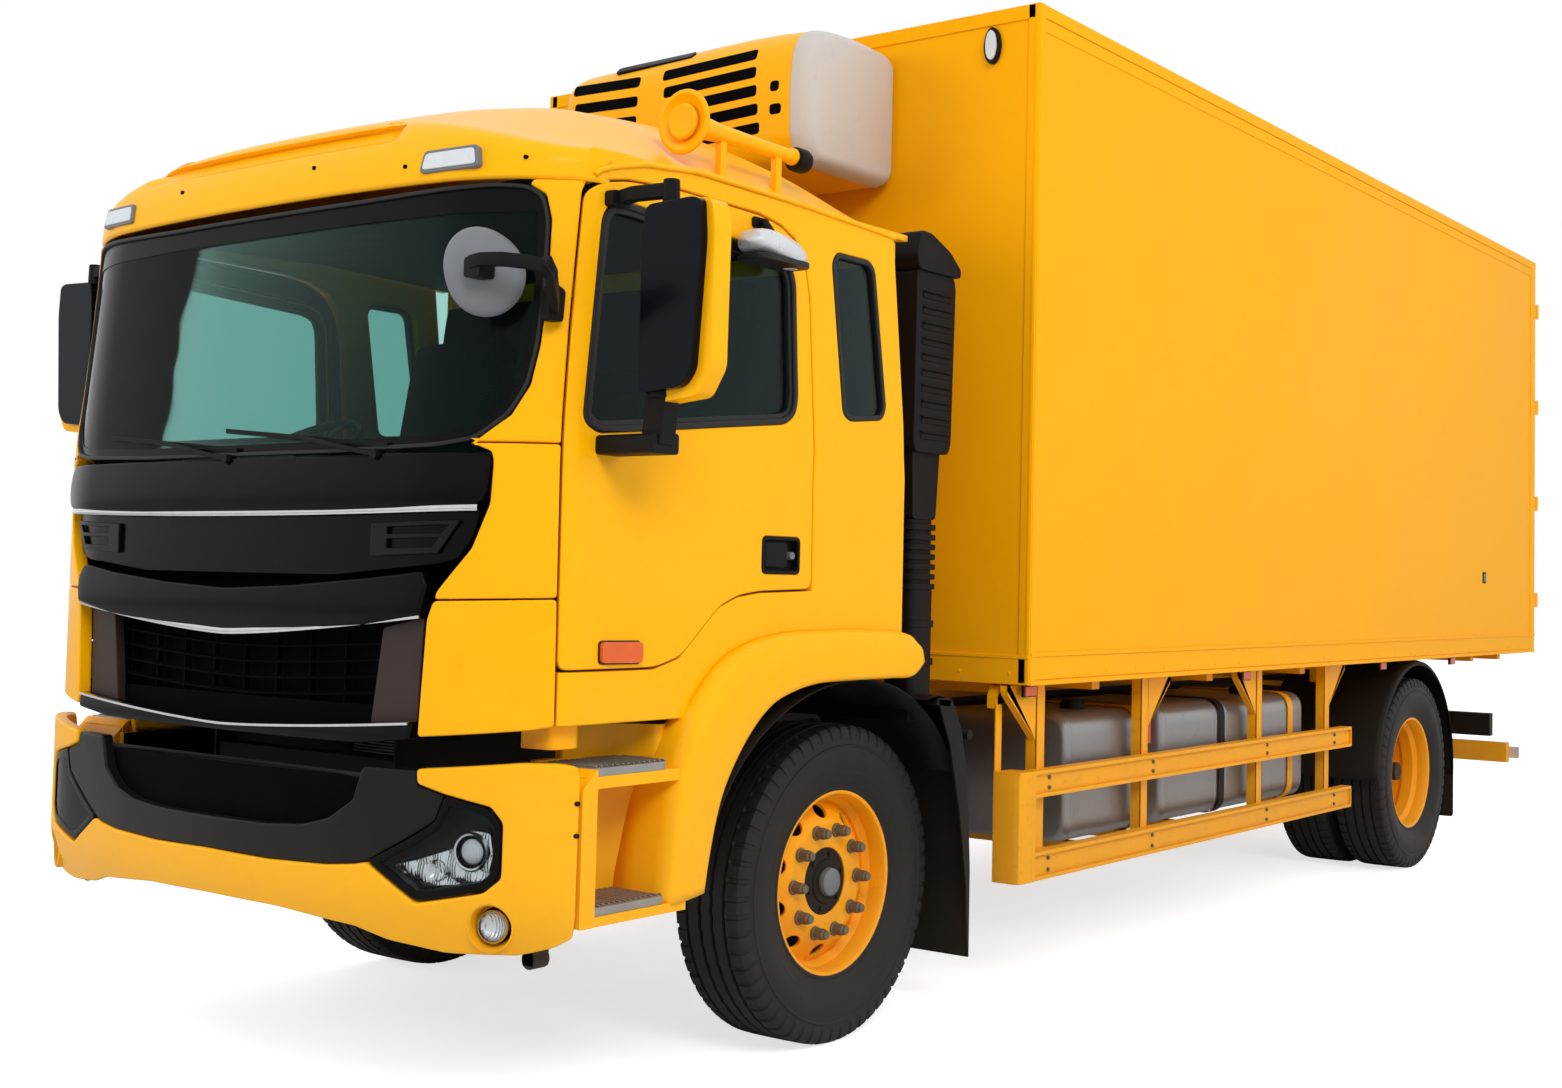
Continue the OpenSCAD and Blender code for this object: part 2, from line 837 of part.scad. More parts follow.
// Condenser outside the front wall and evaporator inside it, on one neck
module fridge_unit() {
    x = fridge_w / 2;
    y0 = box_setback - fridge_d;
    z0 = box_top_z - 610;
    z1 = z0 + fridge_h;
    color(yellow)
    from_axle() {
        across(-x, x)
            polygon([[box_setback, z0], [y0 + 60, z0], [y0 + 10, z0 + 60], [y0, z0 + 300],
                     [y0 + 60, z1 - 60], [y0 + 190, z1], [box_setback - 60, z1 - 20],
                     [box_setback, z1 - 70]]);
        block([-neck_x + 4, box_setback - 1, neck_z0 + 4], [neck_x - 4, box_setback + wall_t + 1, neck_z1 - 4]);
        across(-x - 60, x + 60)
            polygon([[box_setback + wall_t, box_ceiling_z - 5], [box_setback + wall_t, neck_z0 - 20],
                     [box_setback + wall_t + 420, neck_z0 + 60], [box_setback + wall_t + 560, box_ceiling_z - 5]]);
    }
}

// ---------- Cab ----------

// Half plan of the cab's front face
function cab_plan(inset) = [
    [0, panel_front + inset], [400, panel_front + 7 + inset], [786, panel_front + 33 + inset],
    [950 - inset * 0.3, panel_front + 77 + inset],
    [1085 - inset * 0.8, panel_front + 149 + inset * 0.4], [cab_x - inset, panel_back]
];

module cab_floor() {
    z1 = floor_z + floor_plate_t;
    color(charcoal)
    from_axle() {
        difference() {
            union() {
                block([-inner_x + 1, panel_back + seat_gap, floor_z], [inner_x - 1, cab_rear - 41, z1]);
                block([-tunnel_x - 30, -900, floor_z], [tunnel_x + 30, cab_rear - 41, tunnel_z]);
            }
            block([-tunnel_x, -870, floor_z - 1], [tunnel_x, cab_rear - 140, tunnel_z - 30]);
        }
        // Lugs on the tilt pins
        both_sides()
            difference() {
                union() {
                    shaft_x(rail_x - 33, rail_x + 30, pivot_boss_r, pivot_y, pivot_z);
                    block([rail_x - 33, pivot_y - pivot_boss_r, pivot_z],
                          [rail_x + 30, pivot_y + pivot_boss_r, floor_z + 1]);
                }
                shaft_x(rail_x - 34, rail_x + 36, pivot_r + fit_gap, pivot_y, pivot_z);
            }
    }
}

module cab_rear_wall() {
    color(yellow)
    from_axle()
        difference() {
            along(cab_rear - 40, cab_rear)
                polygon([[-inner_x + 1, floor_z], [inner_x - 1, floor_z], [inner_x - 1, eave_z],
                         [-inner_x + 1, eave_z]]);
            block([-600, cab_rear - 60, 2020], [600, cab_rear + 1, 2420]);
        }
}

// Left side with its door opening, quarter window and front pillar
module cab_side() {
    difference() {
        across(inner_x, cab_x)
            polygon(side_outline);
        across(inner_x - 1, cab_x + 1)
            offset(delta = cab_door_gap)
                polygon(door_outline);
        across(inner_x - 1, cab_x + 1)
            polygon(quarter_outline);
    }
    // Flange that the door closes against
    difference() {
        across(inner_x - 25, inner_x - door_seal_gap)
            difference() {
                intersection() {
                    offset(delta = cab_door_gap + 20)
                        polygon(door_outline);
                    polygon(side_outline);
                }
                offset(delta = -25)
                    polygon(door_outline);
            }
        block([0, -1500, floor_z - 100], [inner_x, 0, floor_z + floor_plate_t + 1]);
    }
    // Front pillar beside the windscreen
    difference() {
        hull() {
            translate([0, 0, screen_low_z])
                linear_extrude(1)
                    polygon(pillar_plan);
            translate([0, (screen_high_z - screen_low_z) * tan(screen_rake), screen_high_z - 1])
                linear_extrude(1)
                    polygon(pillar_plan);
        }
        across(inner_x - 100, cab_x + 1)
            offset(delta = cab_door_gap)
                polygon(door_outline);
    }
}

module cab_sides() {
    color(yellow)
    from_axle()
        both_sides()
            cab_side();
}

// Dome of the roof, shrunk by the skin's thickness for its hollow
module roof_form(skin) {
    rear = cab_rear - skin;
    hull() {
        block([-cab_x + skin * 1.5, -1330 + skin, eave_z - (skin > 0 ? 1 : 0)],
              [cab_x - skin * 1.5, rear, eave_z + 20]);
        block([-cab_x + 390 + skin, -1420 + skin, visor_top_z - 40 - skin],
              [cab_x - 390 - skin, rear - 40, visor_top_z - skin]);
        block([-cab_x + 590 + skin, -800 + skin, cab_roof_z - 60 - skin],
              [cab_x - 590 - skin, rear - 60, cab_roof_z - 40 - skin]);
        block([-cab_x + 670 + skin, -450 + skin, cab_roof_z - 20 - skin],
              [cab_x - 670 - skin, rear - 90, cab_roof_z - skin]);
    }
}

module cab_roof() {
    color(yellow)
    from_axle() {
        difference() {
            roof_form(0);
            roof_form(roof_skin);
        }
        // Brow over the windscreen
        translate([0, 0, screen_high_z])
            linear_extrude(visor_top_z - 50 - screen_high_z)
                polygon(band(visor_plan(0), visor_plan(brow_t)));
    }
}

// Half plan of the brow over the windscreen
function visor_plan(inset) = [
    [0, visor_front + inset], [500, visor_front + 15 + inset], [850, visor_front + 53 + inset],
    [1040 - inset * 0.4, visor_front + 115 + inset * 0.8], [cab_x - inset, -1330]
];

// Painted corners and the bulkhead behind the lid
module cab_front_panel() {
    color(yellow)
    from_axle() {
        difference() {
            translate([0, 0, panel_low_z])
                linear_extrude(screen_low_z - panel_low_z)
                    polygon(band(cab_plan(0), cab_plan(cab_t)));
            along(panel_front - 1, panel_back + 1)
                offset(delta = lid_gap)
                    polygon(lid_outline());
        }
        // Bulkhead and the ledge of the cowl over the lid
        block([-inner_x + 1, panel_back - bulkhead_t, floor_z + 60], [inner_x - 1, panel_back, cowl_z]);
        difference() {
            translate([0, 0, cowl_z])
                linear_extrude(screen_low_z - cowl_z)
                    polygon(band(cab_plan(12), cab_plan(cab_t + 90)));
            block([-cab_x, panel_back, cowl_z - 1], [cab_x, 0, screen_low_z + 1]);
        }
        // Rubber stops behind the lid
        for (x = [-lid_stop_x, lid_stop_x])
            block([x - 10, lookup(lid_stop_x + 10, cab_plan(lid_t)) + seat_gap, floor_z + 150],
                  [x + 10, panel_back - bulkhead_t + 1, floor_z + 190]);
        // Pins of the lid's hinges, on tongues from the cowl
        both_sides() {
            shaft_x(lid_pin_x - 20, lid_pin_x + 20, lid_pin_r, lid_pin_y, lid_pin_z);
            block([lid_pin_x - 20, lid_pin_y, lid_pin_z], [lid_pin_x - 12, lid_pin_y + 40, cowl_z + 1]);
        }
    }
}

// Front view of the whole lid
function lid_outline() = concat(
    lid_half, [for (i = [len(lid_half) - 1 : -1 : 0]) [-lid_half[i][0], lid_half[i][1]]]
);

// Half plan of the windscreen
function screen_plan(inset) = [
    [0, panel_front + 22 + inset], [400, panel_front + 28 + inset], [786, panel_front + 55 + inset],
    [950, panel_front + 99 + inset], [1008, panel_front + 129 + inset]
];

// Windscreen between the cowl and the brow, and the quarter windows
module cab_glass() {
    color(glass_tint)
    from_axle() {
        difference() {
            translate([0, panel_front, screen_low_z])
                rotate([-screen_rake, 0, 0])
                    translate([0, -panel_front, -60])
                        linear_extrude(screen_high_z - screen_low_z + 120)
                            polygon(band(screen_plan(0), screen_plan(glass_t)));
            block([-cab_x, panel_front - 100, screen_low_z - 200],
                  [cab_x, 0, screen_low_z + seat_gap]);
            block([-cab_x, panel_front - 100, screen_high_z - seat_gap],
                  [cab_x, 0, screen_high_z + 200]);
        }
        both_sides()
            across(inner_x + 20, inner_x + 20 + glass_t)
                offset(delta = -0.3)
                    polygon(quarter_outline);
    }
}

module dashboard() {
    wheel_y = -960;
    wheel_z0 = 1960;
    driver_x = -600;
    color(charcoal)
    from_axle() {
        difference() {
            block([-inner_x + 40, panel_back + 1, 1560], [inner_x - 40, -1060, screen_low_z - 3]);
            block([-360, -1200, 1559], [360, -1059, 1650]);
        }
        block([-150, panel_back + 1, floor_z + floor_plate_t], [150, -1250, 1561]);
        translate([driver_x, wheel_y, wheel_z0])
            rotate([-35, 0, 0]) {
                rotate_extrude($fn = tube_fn)
                    translate([215, 0])
                        circle(r = 16, $fn = 16);
                for (a = [0, 120, 240])
                    rotate([0, 0, a + 90])
                        translate([0, -14, -8])
                            cube([215, 28, 16]);
                translate([0, 0, -300])
                    cylinder(h = 300, r = 32, $fn = round_fn);
            }
    }
}

// One seat: cushion, back and a plinth
module seat(x) {
    block([x - 180, -620, floor_z + floor_plate_t], [x + 180, -250, 1621]);
    along(-700, -180)
        rounded_rect([x - 255, 1620], [x + 255, 1770], 50);
    across(x - 250, x + 250)
        polygon([[-280, 1765], [-150, 1765], [-60, 2330], [-90, 2440], [-150, 2440], [-190, 2330]]);
}

module seats() {
    color("#2c2d30")
    from_axle()
        for (x = [-640, 640])
            seat(x);
}

// Mirror on an arm ahead of the left front pillar
module front_mirror() {
    color(charcoal)
    from_axle() {
        translate([1000, -1546, 2262])
            rotate([-78, 0, 25])
                cylinder(h = 40, r = 120, center = true, $fn = tube_fn);
        hull() {
            block([1015, -1561, 2255], [1040, -1536, 2285]);
            block([1100, -1440, 2240], [1125, -1415, 2270]);
        }
        difference() {
            block([1100, -1440, 2160], [1125, -1365, 2275]);
            cab_side();
        }
    }
}

module air_horn() {
    x = 950;
    z = 2850;
    color(yellow)
    from_axle() {
        shaft_y(-640, -90, 22, x, z);
        translate([x, -640, z])
            rotate([90, 0, 0])
                cylinder(h = 90, r1 = 30, r2 = 82, $fn = tube_fn);
        difference() {
            for (y = [-560, -150])
                block([x - 14, y - 14, z - 150], [x + 14, y + 14, z]);
            roof_form(0);
        }
    }
}

// Lid with the dark upper panel and the bars of the grille
module front_grille() {
    half_x = lid_half[0][0];
    color(black)
    from_axle()
        difference() {
            intersection() {
                translate([0, 0, lid_low_z])
                    linear_extrude(cowl_z - lid_low_z)
                        polygon(band(cab_plan(2), cab_plan(lid_t)));
                along(panel_front - 1, panel_back + 1)
                    polygon(lid_outline());
            }
            // Room for the hinge pins
            both_sides() {
                shaft_x(lid_pin_x - 27, lid_pin_x + 27, lid_pin_r + 6, lid_pin_y, lid_pin_z);
                block([lid_pin_x - 27, lid_pin_y, lid_pin_z - 11], [lid_pin_x + 27, lid_pin_y + 60, cowl_z]);
            }
            // Slots between the bars
            block([-half_x + 70, panel_front - 10, 1330], [half_x - 70, panel_front + 25, 1430]);
            block([-half_x + 70, panel_front - 10, 1090], [half_x - 70, panel_front + 25, 1280]);
        }
}

module cab_door() {
    difference() {
        across(inner_x, cab_x)
            polygon(door_outline);
        across(inner_x - 1, cab_x + 1)
            polygon(window_outline);
    }
}

module door_glass() {
    across(inner_x + 25, inner_x + 25 + glass_t)
        offset(delta = -0.3)
            polygon(window_outline);
}

// Main mirror on two arms, and the kerb mirror over the window
module door_mirror() {
    x0 = 1290;
    x1 = 1530;
    y = -1200;
    translate([0, 0, 1960])
        linear_extrude(500)
            translate([(x0 + x1) / 2, y])
                offset(r = 35, $fn = round_fn)
                    square([x1 - x0 - 70, 60], center = true);
    block([cab_x, y - 30, 2470], [x0 + 90, y + 30, 2510]);
    block([x0 + 30, y - 30, 2459], [x0 + 90, y + 30, 2471]);
    block([cab_x, y - 25, 1810], [x0 + 80, y + 25, 1850]);
    block([x0 + 30, y - 25, 1849], [x0 + 80, y + 25, 1961]);
}

module kerb_mirror() {
    block([cab_x, -640, 2480], [cab_x + 150, -600, 2515]);
    translate([cab_x + 100, -760, 2490])
        rotate([0, 15, 0])
            block([-60, 0, -30], [110, 300, 40]);
}

module cab_door_left() {
    color(yellow)
    from_axle()
        cab_door();
}

module cab_door_right() {
    color(yellow)
    from_axle()
        mirror([1, 0, 0])
            cab_door();
}

module door_glass_left() {
    color(glass_tint)
    from_axle()
        door_glass();
}

module door_glass_right() {
    color(glass_tint)
    from_axle()
        mirror([1, 0, 0])
            door_glass();
}

module mirror_left() {
    color(black)
    from_axle() {
        door_mirror();
        kerb_mirror();
    }
}

module mirror_right() {
    color(black)
    from_axle()
        mirror([1, 0, 0])
            door_mirror();
}

// ---------- Wheels ----------

// Section of a tyre about its own axis, radius first
module tyre_section(w) {
    r0 = seat_r + rim_gap;
    bead_x = rim_half_w - 1;
    polygon([
        [r0, -bead_x + 10], [flange_r + 1, -bead_x], [flange_r + 24, -w * 0.44],
        [r0 + 95, -w * 0.5], [tyre_r - 70, -w * 0.49],
        [tyre_r - 22, -w * 0.44], [tyre_r - 4, -w * 0.36], [tyre_r, -w * 0.2], [tyre_r, w * 0.2],
        [tyre_r - 4, w * 0.36], [tyre_r - 22, w * 0.44], [tyre_r - 70, w * 0.49],
        [r0 + 95, w * 0.5], [flange_r + 24, w * 0.44], [flange_r + 1, bead_x], [r0, bead_x - 10]
    ]);
}

// Tyre whose axis is X, centred at x
module tyre(x) {
    translate([x, 0, wheel_z])
        rotate([0, 90, 0])
            rotate_extrude($fn = 96)
                tyre_section(tyre_w);
}

// Rim with a disc at disc_x from its centre, open on the inner side
module rim(x, disc_x) {
    t = 14;
    translate([x, 0, wheel_z])
        rotate([0, 90, 0])
            difference() {
                rotate_extrude($fn = 96)
                    polygon([
                        [hub_r - 20, disc_x - t], [hub_r + 60, disc_x - t], [seat_r - t - 20, disc_x - t - 30],
                        [seat_r - t, -rim_half_w], [flange_r, -rim_half_w - 8], [flange_r, -rim_half_w],
                        [seat_r, -rim_half_w + 10], [seat_r, rim_half_w - 10], [flange_r, rim_half_w],
                        [flange_r, rim_half_w + 8], [seat_r - t, rim_half_w],
                        [seat_r - t - 20, disc_x - 24], [hub_r + 60, disc_x], [hub_r - 20, disc_x]
                    ]);
                for (a = [0 : 9])
                    rotate([0, 0, a * 36])
                        translate([hub_r + 115, 0, disc_x - 80])
                            cylinder(h = 160, r = 24, $fn = round_fn);
            }
}

// Hub with a blind bore on its inner side, from x0 to x1
module hub(x0, x1, bore_r) {
    difference() {
        shaft_x(x0, x1, hub_r - 18, 0, wheel_z);
        shaft_x(x0 - 1, x1 - 30, bore_r, 0, wheel_z);
    }
}

module front_tyre_left() {
    color(black)
    from_axle()
        tyre(front_track_half);
}

module front_tyre_right() {
    color(black)
    from_axle()
        tyre(-front_track_half);
}

module front_rim() {
    disc_x = 60;
    rim(front_track_half, disc_x);
    hub(front_track_half - 60, front_track_half + disc_x + 50, spindle_r + fit_gap);
    shaft_x(front_track_half + disc_x - 14, front_track_half + disc_x, hub_r - 15, 0, wheel_z);
}

module front_rim_left() {
    color(yellow)
    from_axle()
        difference() {
            front_rim();
            shaft_x(front_track_half - 100, front_track_half + 80, spindle_r + fit_gap, 0, wheel_z);
        }
}

module front_rim_right() {
    mirror([1, 0, 0])
        front_rim_left();
}

module rear_tyres() {
    for (x = [rear_track_half, rear_track_half - twin_pitch])
        tyre(x);
}

module rear_tyres_left() {
    color(black)
    from_axle(wheelbase)
        rear_tyres();
}

module rear_tyres_right() {
    color(black)
    from_axle(wheelbase)
        mirror([1, 0, 0])
            rear_tyres();
}

// Two rims back to back on one hub
module rear_rims_left() {
    flange_x = rear_track_half - twin_pitch / 2;
    color(yellow)
    from_axle(wheelbase)
        difference() {
            union() {
                rim(rear_track_half, -twin_pitch / 2 + 14);
                translate([2 * (rear_track_half - twin_pitch), 0, 0])
                    mirror([1, 0, 0])
                        rim(rear_track_half - twin_pitch, -twin_pitch / 2 + 14);
                shaft_x(flange_x - hub_reach, flange_x + 190, hub_r - 18, 0, wheel_z);
            }
            shaft_x(flange_x - hub_reach - 1, rear_track_half + 40 + 1, stub_r + fit_gap, 0, wheel_z);
        }
}

module rear_rims_right() {
    mirror([1, 0, 0])
        rear_rims_left();
}

// Knuckle: fork round the axle's eye, kingpin and spindle
module knuckle() {
    arm_t = 24;
    eye_h = 60;
    translate([kingpin_x, 0, wheel_z - eye_h - arm_t - 1])
        cylinder(h = 2 * (eye_h + arm_t + 1), r = kingpin_r, $fn = tube_fn);
    for (end = [-1, 1])
        block([kingpin_x - 35, -35, wheel_z + end * (eye_h + 1 + arm_t / 2) - arm_t / 2],
              [kingpin_x + 72, 35, wheel_z + end * (eye_h + 1 + arm_t / 2) + arm_t / 2]);
    block([kingpin_x + 50, -35, wheel_z - eye_h - 2], [kingpin_x + 72, 35, wheel_z + eye_h + 2]);
    shaft_x(kingpin_x + 60, front_track_half + 60, spindle_r, 0, wheel_z);
}

module steering_knuckle_left() {
    color(charcoal)
    from_axle()
        knuckle();
}

module steering_knuckle_right() {
    color(charcoal)
    from_axle()
        mirror([1, 0, 0])
            knuckle();
}

frame_rails();
cross_members();
tank_brackets();
front_axle();
rear_axle();
propeller_shaft();
leaf_springs();
engine_block();
fuel_tanks();
battery_and_air_tanks();
silencer();
air_intake();
side_guards();
front_bumper();
bumper_centre();
headlamps();
step_fenders();
mudguards();
underrun_bar();
box_floor();
box_sides();
box_front_wall();
box_roof();
box_rear_frame();
fridge_unit();
cargo_door_left();
cargo_door_right();
cab_floor();
cab_rear_wall();
cab_sides();
cab_roof();
cab_front_panel();
cab_glass();
dashboard();
seats();
front_mirror();
air_horn();
front_grille();
cab_door_left();
door_glass_left();
mirror_left();
cab_door_right();
door_glass_right();
mirror_right();
steering_knuckle_left();
steering_knuckle_right();
front_tyre_left();
front_rim_left();
front_tyre_right();
front_rim_right();
rear_tyres_left();
rear_rims_left();
rear_tyres_right();
rear_rims_right();
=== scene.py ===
import math

import bpy
import numpy as np
from mathutils import Matrix, Vector
from mathutils.geometry import delaunay_2d_cdt


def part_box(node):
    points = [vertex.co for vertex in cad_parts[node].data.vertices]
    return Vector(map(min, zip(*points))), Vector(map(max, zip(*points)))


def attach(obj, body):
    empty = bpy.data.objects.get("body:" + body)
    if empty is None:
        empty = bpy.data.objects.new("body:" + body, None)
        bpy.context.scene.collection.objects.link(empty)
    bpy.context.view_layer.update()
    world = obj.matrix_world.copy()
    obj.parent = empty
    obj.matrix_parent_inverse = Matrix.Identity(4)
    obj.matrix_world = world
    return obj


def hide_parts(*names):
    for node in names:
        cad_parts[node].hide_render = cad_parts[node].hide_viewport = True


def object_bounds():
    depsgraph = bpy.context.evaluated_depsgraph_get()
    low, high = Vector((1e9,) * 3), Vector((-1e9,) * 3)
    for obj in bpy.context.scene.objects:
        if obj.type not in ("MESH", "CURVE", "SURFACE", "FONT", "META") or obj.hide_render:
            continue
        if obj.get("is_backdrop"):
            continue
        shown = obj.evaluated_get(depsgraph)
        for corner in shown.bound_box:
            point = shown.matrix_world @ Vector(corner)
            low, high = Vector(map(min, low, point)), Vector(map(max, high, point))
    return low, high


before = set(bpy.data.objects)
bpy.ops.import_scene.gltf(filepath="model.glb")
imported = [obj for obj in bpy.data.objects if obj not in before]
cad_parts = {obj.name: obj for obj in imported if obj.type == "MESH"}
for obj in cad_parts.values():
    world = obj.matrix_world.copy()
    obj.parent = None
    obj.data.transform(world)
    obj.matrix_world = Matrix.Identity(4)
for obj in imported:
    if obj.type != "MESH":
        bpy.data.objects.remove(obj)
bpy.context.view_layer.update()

# ---------------------------------------------------------------- places
# Lengths along Y below are from the front axle, forward negative.


def middle(node):
    low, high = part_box(node)
    return (low + high) / 2


AXLE_Y = middle("front_tyre_left").y
REAR_Y = middle("rear_tyres_left").y - AXLE_Y
WHEEL_Z = middle("front_tyre_left").z
TYRE_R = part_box("front_tyre_left")[1].z - WHEEL_Z
TYRE_X = middle("front_tyre_left").x
REAR_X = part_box("rear_tyres_left")[1].x - 0.14
TWIN = 0.32


def near(node):
    low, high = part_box(node)
    return low - Vector((0, AXLE_Y, 0)), high - Vector((0, AXLE_Y, 0))


BOX_LOW, BOX_HIGH = near("box_sides")
ROOF_LOW, ROOF_HIGH = near("box_roof")
BOX_X = BOX_HIGH.x
BOX_Y0 = ROOF_LOW.y
BOX_Z0 = BOX_LOW.z
BOX_Z1 = ROOF_HIGH.z


# ---------------------------------------------------------------- materials
def srgb(r, g, b):
    return tuple(
        (c / 255 / 12.92) if c / 255 <= 0.04045 else ((c / 255 + 0.055) / 1.055) ** 2.4
        for c in (r, g, b)
    ) + (1.0,)


def shader(nt, kind, values=(), **settings):
    """New node of a kind, with its settings and the constants of its sockets by name or number."""
    made = nt.nodes.new("ShaderNode" + kind)
    for key, value in settings.items():
        setattr(made, key, value)
    for socket, value in dict(values).items():
        made.inputs[socket].default_value = value
    return made


def feed(nt, source, socket):
    """Link a source to a socket, or set the socket where the source is a plain value."""
    if isinstance(source, (int, float, tuple)):
        socket.default_value = source
    else:
        nt.links.new(source, socket)


def material(name, color, rough=0.5, metal=0.0, coat=0.0, spec=0.5, vary=0.06, rough_vary=0.08,
             noise=6.0, bump=0.0, bump_scale=200.0, dust=0.0, dust_top=0.9, dust_color=(150, 128, 98),
             grime=0.0, wave=None):
    """Painted, plastic or metal surface with uneven tone and gloss, dark spots, road dust and fine bump."""
    m = bpy.data.materials.new(name)
    m.use_nodes = True
    nt = m.node_tree
    surface = nt.nodes["Principled BSDF"]
    where = shader(nt, "TexCoord").outputs["Object"]

    def clouds(scale, detail, roughness=0.5):
        tex = shader(nt, "TexNoise", {"Scale": scale, "Detail": detail, "Roughness": roughness})
        feed(nt, where, tex.inputs["Vector"])
        return tex.outputs["Fac"]

    def mixed(factor, a, b):
        mix = shader(nt, "Mix", data_type="RGBA")
        for source, socket in ((factor, 0), (a, 6), (b, 7)):
            feed(nt, source, mix.inputs[socket])
        return mix.outputs[2]

    def worked(operation, *terms):
        math_node = shader(nt, "Math", operation=operation)
        for term, socket in zip(terms, math_node.inputs):
            feed(nt, term, socket)
        return math_node.outputs["Value"]

    def mapped(value, **ends):
        span = shader(nt, "MapRange", {key.replace("_", " ").title(): end for key, end in ends.items()})
        feed(nt, value, span.inputs["Value"])
        return span.outputs["Result"]

    def shade(k):
        return tuple(min(1.0, c * k) for c in color[:3]) + (1.0,)

    base = clouds(noise, 6.0)
    tone = mixed(base, shade(1 - vary), shade(1 + vary))
    gloss = mapped(base, to_min=max(0.0, rough - rough_vary), to_max=min(1.0, rough + rough_vary))
    if grime > 0:
        spots = mapped(clouds(noise * 5, 10.0, 0.75), from_min=0.56, from_max=0.72, to_max=grime)
        tone = mixed(spots, tone, shade(0.35))
    if dust > 0:
        place = shader(nt, "SeparateXYZ")
        feed(nt, shader(nt, "NewGeometry").outputs["Position"], place.inputs["Vector"])
        height = mapped(place.outputs["Z"], from_min=dust_top, from_max=0.0)
        amount = worked("MULTIPLY", worked("MULTIPLY", height, clouds(3.2, 9.0, 0.7)), dust)
        tone = mixed(amount, tone, srgb(*dust_color))
        gloss = worked("MULTIPLY_ADD", amount, 0.55, gloss)
    for socket, source in (("Base Color", tone), ("Roughness", gloss), ("Metallic", metal),
                           ("Coat Weight", coat), ("Coat Roughness", 0.06), ("Specular IOR Level", spec),
                           ("IOR", 1.45)):
        feed(nt, source, surface.inputs[socket])
    if bump > 0:
        relief = clouds(bump_scale, 4.0)
        if wave:
            lines = shader(nt, "TexWave", {"Scale": wave, "Distortion": 0.4})
            feed(nt, where, lines.inputs["Vector"])
            relief = worked("ADD", lines.outputs["Fac"], relief)
        bumps = shader(nt, "Bump", {"Strength": bump, "Distance": 0.002})
        feed(nt, relief, bumps.inputs["Height"])
        feed(nt, bumps.outputs["Normal"], surface.inputs["Normal"])
    return m


def window_glass(name, tint, clear):
    """Thin tinted glass: part of the light goes straight through, the rest mirrors."""
    m = bpy.data.materials.new(name)
    m.use_nodes = True
    nt = m.node_tree
    nt.nodes.remove(nt.nodes["Principled BSDF"])
    through = shader(nt, "BsdfTransparent", {"Color": tint})
    body = shader(nt, "BsdfPrincipled", {"Base Color": (0.004, 0.008, 0.008, 1), "Roughness": 0.2,
                                         "Specular IOR Level": 0.05})
    mirror = shader(nt, "BsdfGlossy", {"Roughness": 0.015})
    ripple = shader(nt, "TexNoise", {"Scale": 2.2})
    bump = shader(nt, "Bump", {"Strength": 0.05, "Distance": 0.02})
    fresnel = shader(nt, "Fresnel", {"IOR": 1.16})
    pane, top = shader(nt, "MixShader"), shader(nt, "MixShader")
    for source, socket in (
        (shader(nt, "TexCoord").outputs["Object"], ripple.inputs["Vector"]),
        (ripple.outputs["Fac"], bump.inputs["Height"]), (bump.outputs["Normal"], mirror.inputs["Normal"]),
        (clear, pane.inputs[0]), (body.outputs[0], pane.inputs[1]), (through.outputs[0], pane.inputs[2]),
        (fresnel.outputs[0], top.inputs[0]), (pane.outputs[0], top.inputs[1]),
        (mirror.outputs[0], top.inputs[2]), (top.outputs[0], nt.nodes["Material Output"].inputs["Surface"]),
    ):
        feed(nt, source, socket)
    return m


YELLOW = material("yellow_paint", srgb(255, 180, 0), rough=0.36, coat=0.1, spec=0.2, vary=0.03, noise=1.6,
                  bump=0.02, bump_scale=420, dust=0.32, dust_top=1.15, grime=0.1)
BOX_YELLOW = material("box_paint", srgb(252, 175, 0), rough=0.5, coat=0.0, spec=0.18, vary=0.03, noise=0.9,
                      bump=0.05, bump_scale=160, dust=0.2, dust_top=1.6, grime=0.05)
STEEL_YELLOW = material("frame_paint", srgb(246, 168, 2), rough=0.42, coat=0.06, spec=0.22, vary=0.06,
                        noise=7,
                        bump=0.08, bump_scale=260, dust=0.5, dust_top=1.1, grime=0.35)
RIM_YELLOW = material("rim_paint", srgb(250, 164, 2), rough=0.36, coat=0.12, spec=0.25, vary=0.06, noise=9,
                      bump=0.05, bump_scale=300, dust=0.3, dust_top=0.9, grime=0.3)
GLOSS_BLACK = material("black_gloss", srgb(5, 5, 6), rough=0.24, coat=0.02, spec=0.10, vary=0.25, noise=9,
                       rough_vary=0.1, bump=0.01, bump_scale=300, grime=0.3)
BLACK = material("black_plastic", srgb(12, 12, 13), rough=0.55, vary=0.2, noise=12, bump=0.12,
                 bump_scale=600, dust=0.14, dust_top=1.2, spec=0.2)
# Near-black: painted shade on the sheets and blocks set in openings, recesses and gaps where there is only
# shade; also the colour of small black parts, such as screws and lamp rings.
BLACK_AND_PAINTED_SHADE = material("black_and_painted_shade", srgb(1, 1, 2), rough=0.85, vary=0.3, noise=8, bump=0.1, bump_scale=300,
                spec=0.08)
CHARCOAL = material("charcoal_trim", srgb(13, 13, 14), rough=0.38, vary=0.15, noise=10, bump=0.08,
                    bump_scale=700, dust=0.08, dust_top=1.1, spec=0.2)
GREY = material("grey_trim", srgb(108, 110, 113), rough=0.45, vary=0.12, noise=14, bump=0.08,
                bump_scale=500)
MIRROR_GREY = material("mirror_shell", srgb(112, 117, 122), rough=0.35, vary=0.08, noise=12,
                       bump=0.04, bump_scale=400)
BROWN_TRIM = material("dusty_trim", srgb(44, 30, 24), rough=0.6, vary=0.35, noise=14, bump=0.1,
                      bump_scale=400, grime=0.3)
